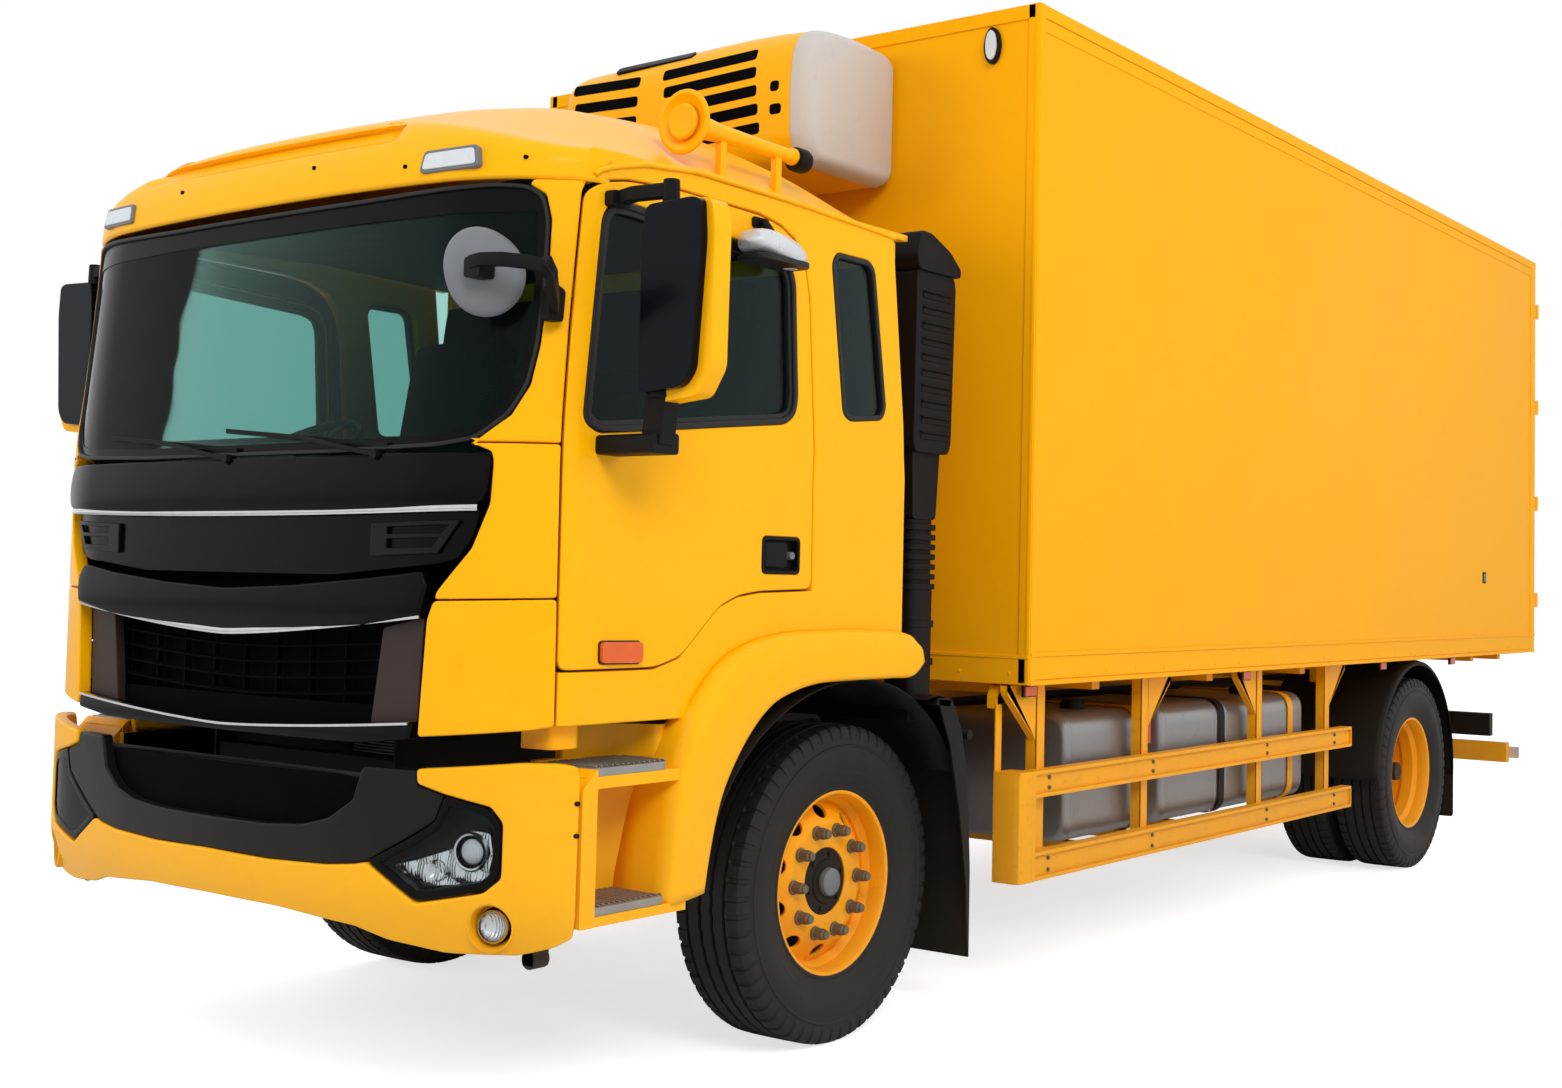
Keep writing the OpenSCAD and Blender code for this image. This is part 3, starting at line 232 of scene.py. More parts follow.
CHROME = material("chrome", srgb(205, 206, 208), rough=0.16, metal=1.0, vary=0.1, noise=30,
                  rough_vary=0.08, bump=0.03, bump_scale=200, grime=0.3)
SILVER = material("silver_shell", srgb(205, 208, 212), rough=0.28, metal=0.25, vary=0.05, noise=12,
                  bump=0.02, bump_scale=300)
ALLOY = material("alloy", srgb(150, 152, 154), rough=0.34, metal=0.75, vary=0.14, noise=5,
                 bump=0.15, bump_scale=24, dust=0.5, dust_top=1.0, grime=0.35)
TREAD = material("tread_plate", srgb(158, 158, 156), rough=0.45, metal=0.7, vary=0.2, noise=18,
                 bump=0.5, bump_scale=90, wave=28.0, dust=0.4, dust_top=1.2, grime=0.4)
STUD = material("stud_steel", srgb(112, 102, 86), rough=0.5, metal=0.45, vary=0.25, noise=40,
                bump=0.3, bump_scale=300, grime=0.6)
STEEL = material("chassis_steel", srgb(20, 19, 19), rough=0.6, vary=0.25, noise=7, bump=0.15,
                 bump_scale=300, dust=0.35, dust_top=1.1, spec=0.3)
ENGINE = material("engine_grey", srgb(88, 90, 90), rough=0.6, metal=0.2, vary=0.2, noise=8,
                  bump=0.3, bump_scale=60, dust=0.4, dust_top=1.3, grime=0.4)
RUBBER = material("tyre_rubber", srgb(18, 18, 18), rough=0.56, vary=0.2, noise=10, bump=0.16,
                  bump_scale=380, spec=0.35, dust=0.28, dust_top=1.25, dust_color=(84, 80, 72))
SEAL = material("seal_rubber", srgb(9, 10, 11), rough=0.5, vary=0.2, noise=20, bump=0.05,
                bump_scale=300)
LENS = material("clear_lens", srgb(214, 218, 222), rough=0.12, vary=0.05, noise=30, coat=0.6,
                bump=0.5, bump_scale=60, wave=60.0)
LAMP_GLASS = window_glass("lamp_glass", (0.94, 0.96, 0.97, 1), 0.97)
REFLECTOR = material("lamp_reflector", srgb(214, 216, 216), rough=0.12, metal=1.0, vary=0.06, noise=40,
                     rough_vary=0.08, bump=0.7, bump_scale=46, wave=34.0)
AMBER = material("amber_lens", srgb(222, 92, 12), rough=0.22, coat=0.6, vary=0.1, noise=40,
                 bump=0.4, bump_scale=80, wave=70.0)
RED = material("red_lens", srgb(168, 16, 12), rough=0.22, coat=0.6, vary=0.1, noise=40, bump=0.4,
               bump_scale=80, wave=70.0)
WHITE = material("grey_white_panel", srgb(196, 190, 184), rough=0.4, vary=0.03, noise=4, bump=0.03,
                 bump_scale=200, grime=0.15)
SEAT = material("seat_fabric", srgb(52, 54, 60), rough=0.9, vary=0.2, noise=60, bump=0.5,
                bump_scale=900, wave=200.0, spec=0.2)
DASH = material("dash_plastic", srgb(38, 39, 42), rough=0.6, vary=0.08, noise=10, bump=0.3,
                bump_scale=500)
MIRROR = material("mirror_glass", srgb(200, 205, 210), rough=0.02, metal=1.0, vary=0.01,
                  rough_vary=0.0, noise=4)
NAVY = material("mirror_back", srgb(3, 9, 16), rough=0.22, coat=0.03, spec=0.12, vary=0.2, noise=3,
                rough_vary=0.04, bump=0.02, bump_scale=300)
SCREEN = window_glass("windscreen_glass", (0.60, 0.84, 0.79, 1), 0.94)
SIDE_GLASS = window_glass("side_glass", (0.62, 0.78, 0.77, 1), 0.92)


# ---------------------------------------------------------------- mesh helpers
X_AXIS, Y_AXIS = (1, 0, 0), (0, 1, 0)
TIP = 0.0001  # radius that closes the end of a turned profile
MIRRORED = Matrix.Scale(-1, 4, X_AXIS)
SIDES = ((1, "left", Matrix.Identity(4)), (-1, "right", MIRRORED))


def on_body(name, me, body, replaces=()):
    """Object of a mesh, riding on its body and the CAD nodes that it replaces."""
    ob = bpy.data.objects.new(name, me)
    bpy.context.scene.collection.objects.link(ob)
    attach(ob, body)
    for node in replaces:
        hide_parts(node)
    return ob


def soft_edges(ob, width, segments=2):
    mod = ob.modifiers.new("edges", "BEVEL")
    mod.width = width
    mod.segments = segments
    mod.limit_method = "ANGLE"
    mod.angle_limit = math.radians(40)
    mod.use_clamp_overlap = True
    return mod


def thickened(ob, thickness, offset=-1.0):
    mod = ob.modifiers.new("thickness", "SOLIDIFY")
    mod.thickness = thickness
    mod.offset = offset


class Geo:
    """Gathers solids into one mesh. Coordinates are the truck's, Y from the front axle."""

    def __init__(self, mat):
        self.v, self.f, self.m = [], [], []
        self.mats = [mat]
        self.now = 0
        self.xf = Matrix.Identity(4)

    def use(self, mat):
        if mat not in self.mats:
            self.mats.append(mat)
        self.now = self.mats.index(mat)
        return self

    def at(self, xf=None):
        self.xf = xf if xf is not None else Matrix.Identity(4)
        return self

    def add(self, verts, faces):
        n = len(self.v)
        flip = self.xf.determinant() < 0
        for p in verts:
            self.v.append(tuple(self.xf @ Vector(p)))
        for f in faces:
            g = [i + n for i in f]
            self.f.append(g[::-1] if flip else g)
            self.m.append(self.now)
        return self

    def box(self, low, high):
        x0, y0, z0 = low
        x1, y1, z1 = high
        v = [(x, y, z) for z in (z0, z1) for y in (y0, y1) for x in (x0, x1)]
        f = [(0, 2, 3, 1), (4, 5, 7, 6), (0, 1, 5, 4), (2, 6, 7, 3), (0, 4, 6, 2), (1, 3, 7, 5)]
        return self.add(v, f)

    def prism(self, outline, axis, a, b):
        """Outline of (u, v) pairs, extruded along an axis; u, v are the other two axes in order."""
        pts = [tuple(p) for p in outline]
        area = sum(p[0] * q[1] - q[0] * p[1] for p, q in zip(pts, pts[1:] + pts[:1]))
        if (area < 0) != (axis == "y"):
            pts = pts[::-1]
        n = len(pts)

        def spot(p, d):
            if axis == "x":
                return (d, p[0], p[1])
            if axis == "y":
                return (p[0], d, p[1])
            return (p[0], p[1], d)

        v = [spot(p, a) for p in pts] + [spot(p, b) for p in pts]
        f = [tuple(range(n - 1, -1, -1)), tuple(range(n, 2 * n))]
        f += [(i, (i + 1) % n, n + (i + 1) % n, n + i) for i in range(n)]
        return self.add(v, f)

    def lathe(self, profile, origin, axis, n=48, closed=True):
        """Profile of (radius, height along axis) pairs turned about an axis."""
        axis = Vector(axis).normalized()
        side = axis.orthogonal().normalized()
        up = axis.cross(side)
        o = Vector(origin)
        v, f = [], []
        k = len(profile)
        for i in range(n):
            t = 2 * math.pi * i / n
            d = side * math.cos(t) + up * math.sin(t)
            v += [tuple(o + d * r + axis * h) for r, h in profile]
        rows = k if closed else k - 1
        for i in range(n):
            j = (i + 1) % n
            for a in range(rows):
                b = (a + 1) % k
                f.append((i * k + a, j * k + a, j * k + b, i * k + b))
        return self.add(v, f)

    def rod(self, p0, p1, r0, r1=None, n=24):
        p0, p1 = Vector(p0), Vector(p1)
        r1 = r0 if r1 is None else r1
        h = (p1 - p0).length
        return self.lathe([(TIP, 0), (r0, 0), (r1, h), (TIP, h)], p0, p1 - p0, n, closed=False)

    def sweep(self, path, section, up=(0, 0, 1)):
        """Section of (side, up) pairs carried along a path of points."""
        path = [Vector(p) for p in path]
        k = len(section)
        v, f = [], []
        for i, p in enumerate(path):
            a = path[max(i - 1, 0)]
            b = path[min(i + 1, len(path) - 1)]
            t = (b - a).normalized()
            side = t.cross(Vector(up))
            side = side.normalized() if side.length > 1e-4 else Vector(X_AXIS)
            top = side.cross(t).normalized()
            stretch = 1.0
            if 0 < i < len(path) - 1:
                d1 = (p - a).normalized()
                d2 = (b - p).normalized()
                stretch = 1 / max(0.5, math.cos(d1.angle(d2) / 2))
            v += [tuple(p + side * s * stretch + top * u) for s, u in section]
        for i in range(len(path) - 1):
            for a in range(k):
                b = (a + 1) % k
                f.append((i * k + a, i * k + b, (i + 1) * k + b, (i + 1) * k + a))
        f.append(tuple(range(k - 1, -1, -1)))
        f.append(tuple((len(path) - 1) * k + i for i in range(k)))
        return self.add(v, f)

    def tube(self, path, r, n=12):
        ring = [(r * math.cos(2 * math.pi * i / n), r * math.sin(2 * math.pi * i / n)) for i in range(n)]
        return self.sweep(path, ring)

    def make(self, name, body, slot, bevel=0.0, replaces=(), angle=35.0, segments=2):
        me = bpy.data.meshes.new(name)
        me.from_pydata([(x, y + AXLE_Y, z) for x, y, z in self.v], [], self.f)
        for m in self.mats:
            me.materials.append(m)
        me.polygons.foreach_set("material_index", self.m)
        me.update()
        me.shade_smooth()
        me.set_sharp_from_angle(angle=math.radians(angle))
        ob = on_body(name, me, body, replaces)
        if bevel > 0:
            soft_edges(ob, bevel, segments).harden_normals = True
        return ob


def both_sides():
    return (Matrix.Identity(4), MIRRORED)


def fillet(points, r, n=5):
    """Rounds the corners of a closed outline. r is one radius, or one for each corner."""
    pts = [np.array(p, float) for p in points]
    out = []
    for i, p in enumerate(pts):
        a, b = pts[i - 1], pts[(i + 1) % len(pts)]
        ri = r[i] if isinstance(r, (list, tuple)) else r
        la, lb = np.linalg.norm(a - p), np.linalg.norm(b - p)
        d = min(ri, 0.45 * la, 0.45 * lb)
        if d < 1e-5:
            out.append(tuple(p))
            continue
        s, e = p + (a - p) / la * d, p + (b - p) / lb * d
        for k in range(n + 1):
            t = k / n
            out.append(tuple(s * (1 - t) ** 2 + 2 * p * t * (1 - t) + e * t * t))
    return out


def plate(u0, v0, u1, v1, r):
    """Outline of a rectangle with rounded corners."""
    return fillet([(u0, v0), (u1, v0), (u1, v1), (u0, v1)], r)


def run_length(line):
    """Length along a line of points, from its start to each point."""
    steps = np.linalg.norm(np.diff(np.array(line), axis=0), axis=1)
    return np.concatenate([[0], np.cumsum(steps)])


def wound(points, sign):
    area = sum(p[0] * q[1] - q[0] * p[1] for p, q in zip(points, list(points[1:]) + [points[0]]))
    pts = list(points)
    return pts if area * sign > 0 else pts[::-1]


def dense(points, step):
    out = []
    for p, q in zip(points, list(points[1:]) + [points[0]]):
        p, q = np.array(p, float), np.array(q, float)
        n = max(1, int(math.ceil(np.linalg.norm(q - p) / step)))
        out += [p + (q - p) * k / n for k in range(n)]
    keep = [out[0]]
    for p in out[1:]:
        if np.linalg.norm(p - keep[-1]) > 0.0006:
            keep.append(p)
    return np.array(keep)


def outward(loop):
    prev, nxt = np.roll(loop, 1, 0), np.roll(loop, -1, 0)
    a, b = loop - prev, nxt - loop
    a /= np.linalg.norm(a, axis=1)[:, None]
    b /= np.linalg.norm(b, axis=1)[:, None]
    na = np.stack([a[:, 1], -a[:, 0]], 1)
    nb = np.stack([b[:, 1], -b[:, 0]], 1)
    n = na + nb
    length = np.linalg.norm(n, axis=1)
    n /= np.maximum(length, 0.3)[:, None]
    fit = np.maximum((n * na).sum(1), 0.5)
    return n / fit[:, None]


def inset(points, d):
    """Outline moved inwards by d."""
    loop = dense(wound(points, 1), 10.0)
    return [tuple(p) for p in loop - outward(loop) * d]


def inside_all(points, loops):
    hit = np.zeros(len(points), int)
    for loop in loops:
        a, b = loop, np.roll(loop, -1, 0)
        for p, q in zip(a, b):
            cross = (p[1] > points[:, 1]) != (q[1] > points[:, 1])
            if abs(q[1] - p[1]) > 1e-12:
                x = p[0] + (points[:, 1] - p[1]) * (q[0] - p[0]) / (q[1] - p[1])
                hit += (cross & (points[:, 0] < x)).astype(int)
    return hit % 2 == 1


def panel(name, outline, base, mat, body, slot, holes=(), t=0.03, r=0.004, step=0.04, side=1,
          depth=0.0, inside=(0, -0.6, 1.8), replaces=(), grid=None, bulge=None):
    """Sheet of thickness t on a surface, with rounded edges round its outline and holes.
    base maps arrays (a, b) to points; inside is a point behind the sheet."""
    loops = [dense(wound(outline, 1), step)] + [dense(wound(h, -1), step) for h in holes]
    outs = [outward(lp) for lp in loops]
    inner = [lp - e * r for lp, e in zip(loops, outs)]
    ga, gb = grid or (step, step)
    low, high = loops[0].min(0), loops[0].max(0)
    na, nb = int((high[0] - low[0]) / ga) + 1, int((high[1] - low[1]) / gb) + 1
    aa, bb = np.meshgrid(low[0] + (np.arange(na) + 0.5) * (high[0] - low[0]) / na,
                         low[1] + (np.arange(nb) + 0.5) * (high[1] - low[1]) / nb)
    free = np.stack([aa.ravel(), bb.ravel()], 1)
    free = free[inside_all(free, inner)]
    rim = np.vstack(inner)
    if len(free):
        gap = np.array([np.min(((rim - p) ** 2).sum(1)) for p in free])
        free = free[gap > (0.4 * min(ga, gb)) ** 2]
    pts = np.vstack([rim, free]) if len(free) else rim
    edges, start = [], 0
    for lp in inner:
        n = len(lp)
        edges += [(start + i, start + (i + 1) % n) for i in range(n)]
        start += n
    res = delaunay_2d_cdt([Vector(p) for p in pts], edges, [], 0, 1e-7)
    flat = np.array([tuple(v) for v in res[0]])
    tris = np.array([f for f in res[2] if len(f) == 3])
    mid = flat[tris].mean(1)
    tris = tris[inside_all(mid, inner)]
    crossing = np.cross(flat[tris[:, 1]] - flat[tris[:, 0]], flat[tris[:, 2]] - flat[tris[:, 0]])
    tris[crossing < 0] = tris[crossing < 0][:, ::-1]

    eps = 1e-4

    def surface(ab, d, tilt=None, phi=0.0):
        a, b = ab[:, 0], ab[:, 1]
        p = base(a, b)
        ta = base(a + eps, b) - base(a - eps, b)
        tb = base(a, b + eps) - base(a, b - eps)
        ta /= np.linalg.norm(ta, axis=1)[:, None]
        tb /= np.linalg.norm(tb, axis=1)[:, None]
        n = np.cross(ta, tb)
        n /= np.linalg.norm(n, axis=1)[:, None]
        sign = np.sign((n * (p - np.array(inside))).sum(1))
        n *= sign[:, None]
        extra = bulge(a, b) if bulge else 0.0
        p = p - n * (d + depth - extra)[:, None] if bulge else p - n * (d + depth)
        if tilt is None:
            return p, n, sign
        e = ta * tilt[:, :1] + tb * tilt[:, 1:]
        e /= np.linalg.norm(e, axis=1)[:, None]
        return p, n * math.cos(phi) + e * math.sin(phi), sign

    V, N, F = [], [], []
    count = 0

    def put(p, n):
        nonlocal count
        V.append(p)
        N.append(n)
        count += len(p)
        return count - len(p)

    p, n, sign = surface(flat, 0.0)
    if bulge:
        d = 2e-3
        up = np.cross(surface(flat + [d, 0], 0.0)[0] - surface(flat - [d, 0], 0.0)[0],
                      surface(flat + [0, d], 0.0)[0] - surface(flat - [0, d], 0.0)[0])
        up /= np.linalg.norm(up, axis=1)[:, None]
        up *= np.sign((up * n).sum(1))[:, None]
        n = up
    s0 = put(p, n)
    keep = sign[0] > 0
    F += [tuple(s0 + i for i in (f if keep else f[::-1])) for f in tris]
    back_p, back_n, _ = surface(flat, t)
    b0 = put(back_p, -back_n)
    F += [tuple(b0 + i for i in (f[::-1] if keep else f)) for f in tris]
    steps = 3
    for lp, e in zip(loops, outs):
        n = len(lp)
        rows = []
        for k in range(steps + 1):
            phi = math.pi / 2 * k / steps
            q, m, _ = surface(lp - e * r * (1 - math.sin(phi)), r * (1 - math.cos(phi)), e, phi)
            rows.append(put(q, m))
        q, m, _ = surface(lp, max(t - r * 0.5, r), e, math.pi / 2)
        rows.append(put(q, m))
        q, m, _ = surface(lp - e * r, t, e, math.pi / 2)
        rows.append(put(q, m))
        for a, b in zip(rows, rows[1:]):
            for i in range(n):
                j = (i + 1) % n
                quad = (a + i, b + i, b + j, a + j)
                F.append(quad if keep else quad[::-1])
    V, N = np.vstack(V), np.vstack(N)
    if side < 0:
        V[:, 0] *= -1
        N[:, 0] *= -1
        F = [f[::-1] for f in F]
    V[:, 1] += AXLE_Y
    me = bpy.data.meshes.new(name)
    me.from_pydata(V.tolist(), [], F)
    me.materials.append(mat)
    me.update()
    me.shade_smooth()
    me.normals_split_custom_set_from_vertices(N.tolist())
    return on_body(name, me, body, replaces)


# ---------------------------------------------------------------- the cab's skin
def spline(control, n=24, symmetric=True):
    """Smooth curve through points and its running length; symmetric curves start square to x = 0."""
    c = np.array(control, float)
    before = [-c[1][0], c[1][1]] if symmetric else 2 * c[0] - c[1]
    ext = np.vstack([before, c, 2 * c[-1] - c[-2]])
    out = []
    for p0, p1, p2, p3 in zip(ext, ext[1:], ext[2:], ext[3:]):
        for t in np.linspace(0, 1, n, endpoint=False):
            out.append(0.5 * ((2 * p1) + (p2 - p0) * t + (2 * p0 - 5 * p1 + 4 * p2 - p3) * t * t
                              + (3 * p1 - p0 - 3 * p2 + p3) * t ** 3))
    out.append(c[-1])
    return np.array(out), run_length(out)


CAB_X = 1.15
CAB_PLAN, CAB_RUN = spline([
    (0, -1.577), (0.25, -1.575), (0.5, -1.567), (0.7, -1.553), (0.8, -1.541), (0.89, -1.517),
    (0.98, -1.48), (1.06, -1.432), (1.115, -1.385), (1.142, -1.345), (1.15, -1.3), (1.15, -1.2),
    (1.15, -0.8), (1.15, -0.2), (1.15, 0.3),
])


def ramp(z, z0, w):
    z = np.asarray(z, float)
    return np.where(z < z0 - w, 0, np.where(z > z0 + w, z - z0, (z - z0 + w) ** 2 / (4 * w)))


def lean(z):
    return 0.09 * ramp(z, 1.84, 0.1) + 0.42 * ramp(z, 2.64, 0.05)


def cab(s, z):
    s, z = np.asarray(s, float), np.asarray(z, float)
    x = np.interp(np.abs(s), CAB_RUN, CAB_PLAN[:, 0]) * np.sign(s)
    y = np.interp(np.abs(s), CAB_RUN, CAB_PLAN[:, 1]) + lean(z)
    return np.stack([x, y, z], 1)


def at_x(x, z):
    """Skin coordinates of a point on the front, given by x."""
    front = CAB_PLAN[:, 0] < CAB_X - 1e-5
    return (math.copysign(float(np.interp(abs(x), CAB_PLAN[front, 0], CAB_RUN[front])), x), z)


def at_y(y, z):
    """Skin coordinates of a point on the left side, given by y."""
    flank = CAB_PLAN[:, 0] > 0.9
    return (float(np.interp(y - float(lean(z)), CAB_PLAN[flank, 1], CAB_RUN[flank])), z)


def mirrored(points):
    """Right half of a symmetric outline: the points again with the sign of a turned, reversed."""
    return [(-a, b) for a, b in reversed(points)]


def surface_panel(name, outline, mat, body, slot, **more):
    return panel(name, outline, cab, mat, body, slot, **more)


# ---------------------------------------------------------------- camera and light
scene = bpy.context.scene
scene.view_settings.view_transform = "Standard"

cam_data = bpy.data.cameras.new("camera")
cam = bpy.data.objects.new("camera", cam_data)
scene.collection.objects.link(cam)
yaw, pitch, roll = math.radians(35.709), math.radians(2.76), math.radians(1.195)
look = Vector((-math.sin(yaw) * math.cos(pitch), math.cos(yaw) * math.cos(pitch), math.sin(pitch)))
level = Vector((math.cos(yaw), math.sin(yaw), 0))
over = level.cross(look)
right = level * math.cos(roll) + over * math.sin(roll)
top = over * math.cos(roll) - level * math.sin(roll)
spot = Vector((4.602, -4.763 + AXLE_Y, 1.488))
cam.matrix_world = Matrix((
    (right.x, top.x, -look.x, spot.x),
    (right.y, top.y, -look.y, spot.y),
    (right.z, top.z, -look.z, spot.z),
    (0, 0, 0, 1),
))
cam_data.lens = 42.025
cam_data.sensor_width = 36
cam_data.shift_x = -0.0625
cam_data.shift_y = -0.0330
cam_data.clip_end = 300
scene.camera = cam

world = bpy.data.worlds.new("studio")
scene.world = world
world.use_nodes = True
wn, wl = world.node_tree.nodes, world.node_tree.links
background = wn["Background"]
coord = wn.new("ShaderNodeTexCoord")
split = wn.new("ShaderNodeSeparateXYZ")
wl.new(coord.outputs["Generated"], split.inputs["Vector"])
sky = wn.new("ShaderNodeValToRGB")
sky.color_ramp.elements[0].position = 0.42
sky.color_ramp.elements[0].color = (0.30, 0.30, 0.30, 1)
sky.color_ramp.elements[1].position = 0.95
sky.color_ramp.elements[1].color = (1.0, 1.0, 1.0, 1)
for place, shade in ((0.5, 0.05), (0.60, 0.07), (0.70, 0.16), (0.80, 0.55)):
    e = sky.color_ramp.elements.new(place)
    e.color = (shade, shade * 1.01, shade * 1.02, 1)
half = wn.new("ShaderNodeMath")
half.operation = "MULTIPLY_ADD"
half.inputs[1].default_value = 0.5
half.inputs[2].default_value = 0.5
wl.new(split.outputs["Z"], half.inputs[0])
wl.new(half.outputs["Value"], sky.inputs["Fac"])
rays = wn.new("ShaderNodeLightPath")
seen = wn.new("ShaderNodeMix")
seen.data_type = "RGBA"
direct = wn.new("ShaderNodeMath")
direct.operation = "MAXIMUM"
mirrored_rays = wn.new("ShaderNodeMath")
mirrored_rays.operation = "MAXIMUM"
wl.new(rays.outputs["Is Glossy Ray"], mirrored_rays.inputs[0])
wl.new(rays.outputs["Is Transmission Ray"], mirrored_rays.inputs[1])
wl.new(rays.outputs["Is Camera Ray"], direct.inputs[0])
wl.new(mirrored_rays.outputs["Value"], direct.inputs[1])
wl.new(direct.outputs["Value"], seen.inputs[0])
wl.new(sky.outputs["Color"], seen.inputs[6])
seen.inputs[7].default_value = (1, 1, 1, 1)
wl.new(seen.outputs[2], background.inputs["Color"])
background.inputs["Strength"].default_value = 1.0


def sheet_light(name, at, aim, size, power, color=(1, 1, 1)):
    data = bpy.data.lights.new(name, "AREA")
    data.shape = "RECTANGLE"
    data.size, data.size_y = size
    data.energy = power
    data.color = color
    ob = bpy.data.objects.new(name, data)
    scene.collection.objects.link(ob)
    ob.location = at
    ob.rotation_euler = (Vector(aim) - Vector(at)).to_track_quat("-Z", "Y").to_euler()
    ob.visible_glossy = False
    return ob


sheet_light("key", (12, -10, 10), (0, -1, 1.6), (7, 5), 1120, (1, 0.99, 0.97))
sheet_light("front", (-6, -13, 5), (0, -3.5, 1.4), (6, 4), 460)
sheet_light("side", (14, 3, 5), (0, 1, 1.8), (9, 5), 500)
shine = sheet_light("shine", (6, -11, 7), (0, -3, 1.5), (3.5, 1.2), 60)
shine.visible_glossy = True

floor_mesh = bpy.data.meshes.new("floor")
reach = 60
floor_mesh.from_pydata([(-reach, -reach, 0), (reach, -reach, 0), (reach, reach, 0), (-reach, reach, 0)],
                       [], [(0, 1, 2, 3)])
floor = bpy.data.objects.new("floor", floor_mesh)
scene.collection.objects.link(floor)
ground = bpy.data.materials.new("floor")
ground.use_nodes = True
gp = ground.node_tree.nodes["Principled BSDF"]
gp.inputs["Base Color"].default_value = (0.76, 0.76, 0.76, 1)
gp.inputs["Roughness"].default_value = 0.9
gp.inputs["Specular IOR Level"].default_value = 0.1
gp.inputs["Emission Color"].default_value = (1, 1, 1, 1)
floor_rays = ground.node_tree.nodes.new("ShaderNodeLightPath")
lift = ground.node_tree.nodes.new("ShaderNodeMath")
lift.operation = "MULTIPLY"
lift.inputs[1].default_value = 0.70
ground.node_tree.links.new(floor_rays.outputs["Is Camera Ray"], lift.inputs[0])
ground.node_tree.links.new(lift.outputs["Value"], gp.inputs["Emission Strength"])
floor_mesh.materials.append(ground)
floor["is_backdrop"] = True


# ---------------------------------------------------------------- wheels
def tyre(geo, x_mid, y):
    """Road tyre: ribs with zigzag grooves, cut shoulders, rings on the sidewalls."""
    pitches = 58
    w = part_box("front_tyre_left")[1].x - TYRE_X
    half_section = [
        (0.104, 0.290, 0), (0.110, 0.293, 0), (0.115, 0.303, 0), (0.113, 0.309, 0), (0.118, 0.318, 0),
        (0.125, 0.334, 0), (0.1305, 0.352, 0), (0.1325, 0.356, 0), (0.1325, 0.363, 0), (0.1345, 0.367, 0),
        (0.1385, 0.388, 0), (0.1398, 0.404, 0), (0.1395, 0.420, 0), (0.1378, 0.436, 0),
        (0.1398, 0.4385, 0), (0.1398, 0.443, 0), (0.1362, 0.446, 0), (0.1335, 0.460, 0),
        (0.1345, 0.468, 1), (0.1325, 0.482, 1), (0.1285, 0.496, 1), (0.1215, 0.5045, 1), (0.110, 0.5085, 1),
        (0.088, 0.5095, 1), (0.0805, 0.5095, 2), (0.0785, 0.497, 2), (0.0695, 0.497, 2), (0.0675, 0.5097, 2),
        (0.0305, 0.51, 3), (0.0285, 0.497, 3), (0.0185, 0.497, 3), (0.0165, 0.51, 3),
    ]
    section = [(h / 0.14 * w, r, k, 1) for h, r, k in half_section]
    section += [(-h, r, k, -1) for h, r, k, _ in reversed(section)]
    inner = [(-0.10, 0.286), (-0.06, 0.2862), (0.06, 0.2862), (0.10, 0.286)]
    turn = []
    for i in range(pitches):
        for part, cut in ((0.0, 0), (0.66, 0), (0.70, 1), (0.96, 1)):
            turn.append(((i + part) / pitches * 2 * math.pi, cut))
    verts, faces = [], []
    k = len(section) + len(inner)
    for angle, cut in turn:
        phase = angle * pitches
        for h, r, kind, sign in section:
            if kind == 1 and cut:
                r -= 0.0055
                h -= 0.0025 * sign
            if kind == 2:
                h += 0.0028 * math.sin(phase)
            if kind == 3:
                h += 0.0030 * math.cos(phase)
            scale = TYRE_R / 0.51
            verts.append((x_mid + h, y + r * scale * math.cos(angle), WHEEL_Z + r * scale * math.sin(angle)))
        for h, r in inner:
            verts.append((x_mid + h, y + r * math.cos(angle), WHEEL_Z + r * math.sin(angle)))
    n = len(turn)
    for i in range(n):
        j = (i + 1) % n
        for a in range(k):
            b = (a + 1) % k
            faces.append((i * k + a, i * k + b, j * k + b, j * k + a))
    geo.add(verts, faces)


def rim_lathe(geo, x_mid, y, out):
    """Rim barrel with rolled lips; out is the side the disc faces."""
    half_w = 0.112
    profile = [
        (0.2975, half_w - 0.002), (0.2985, half_w - 0.006), (0.2965, half_w - 0.012),
        (0.2905, half_w - 0.014),
        (0.2865, half_w - 0.018), (0.2855, half_w - 0.028), (0.2830, 0.052), (0.268, 0.030),
        (0.268, -0.030), (0.2830, -0.052), (0.2855, -half_w + 0.028), (0.2865, -half_w + 0.018),
        (0.2905, -half_w + 0.014), (0.2965, -half_w + 0.012), (0.2985, -half_w + 0.006),
        (0.2975, -half_w + 0.002), (0.2925, -half_w), (0.285, -half_w + 0.003), (0.2785, -half_w + 0.014),
        (0.277, -0.05), (0.260, -0.028), (0.260, 0.028), (0.277, 0.05), (0.2785, half_w - 0.014),
        (0.285, half_w - 0.003), (0.2925, half_w),
    ]
    geo.lathe([(r, h * out) for r, h in profile], (x_mid, y, WHEEL_Z), X_AXIS, 96)


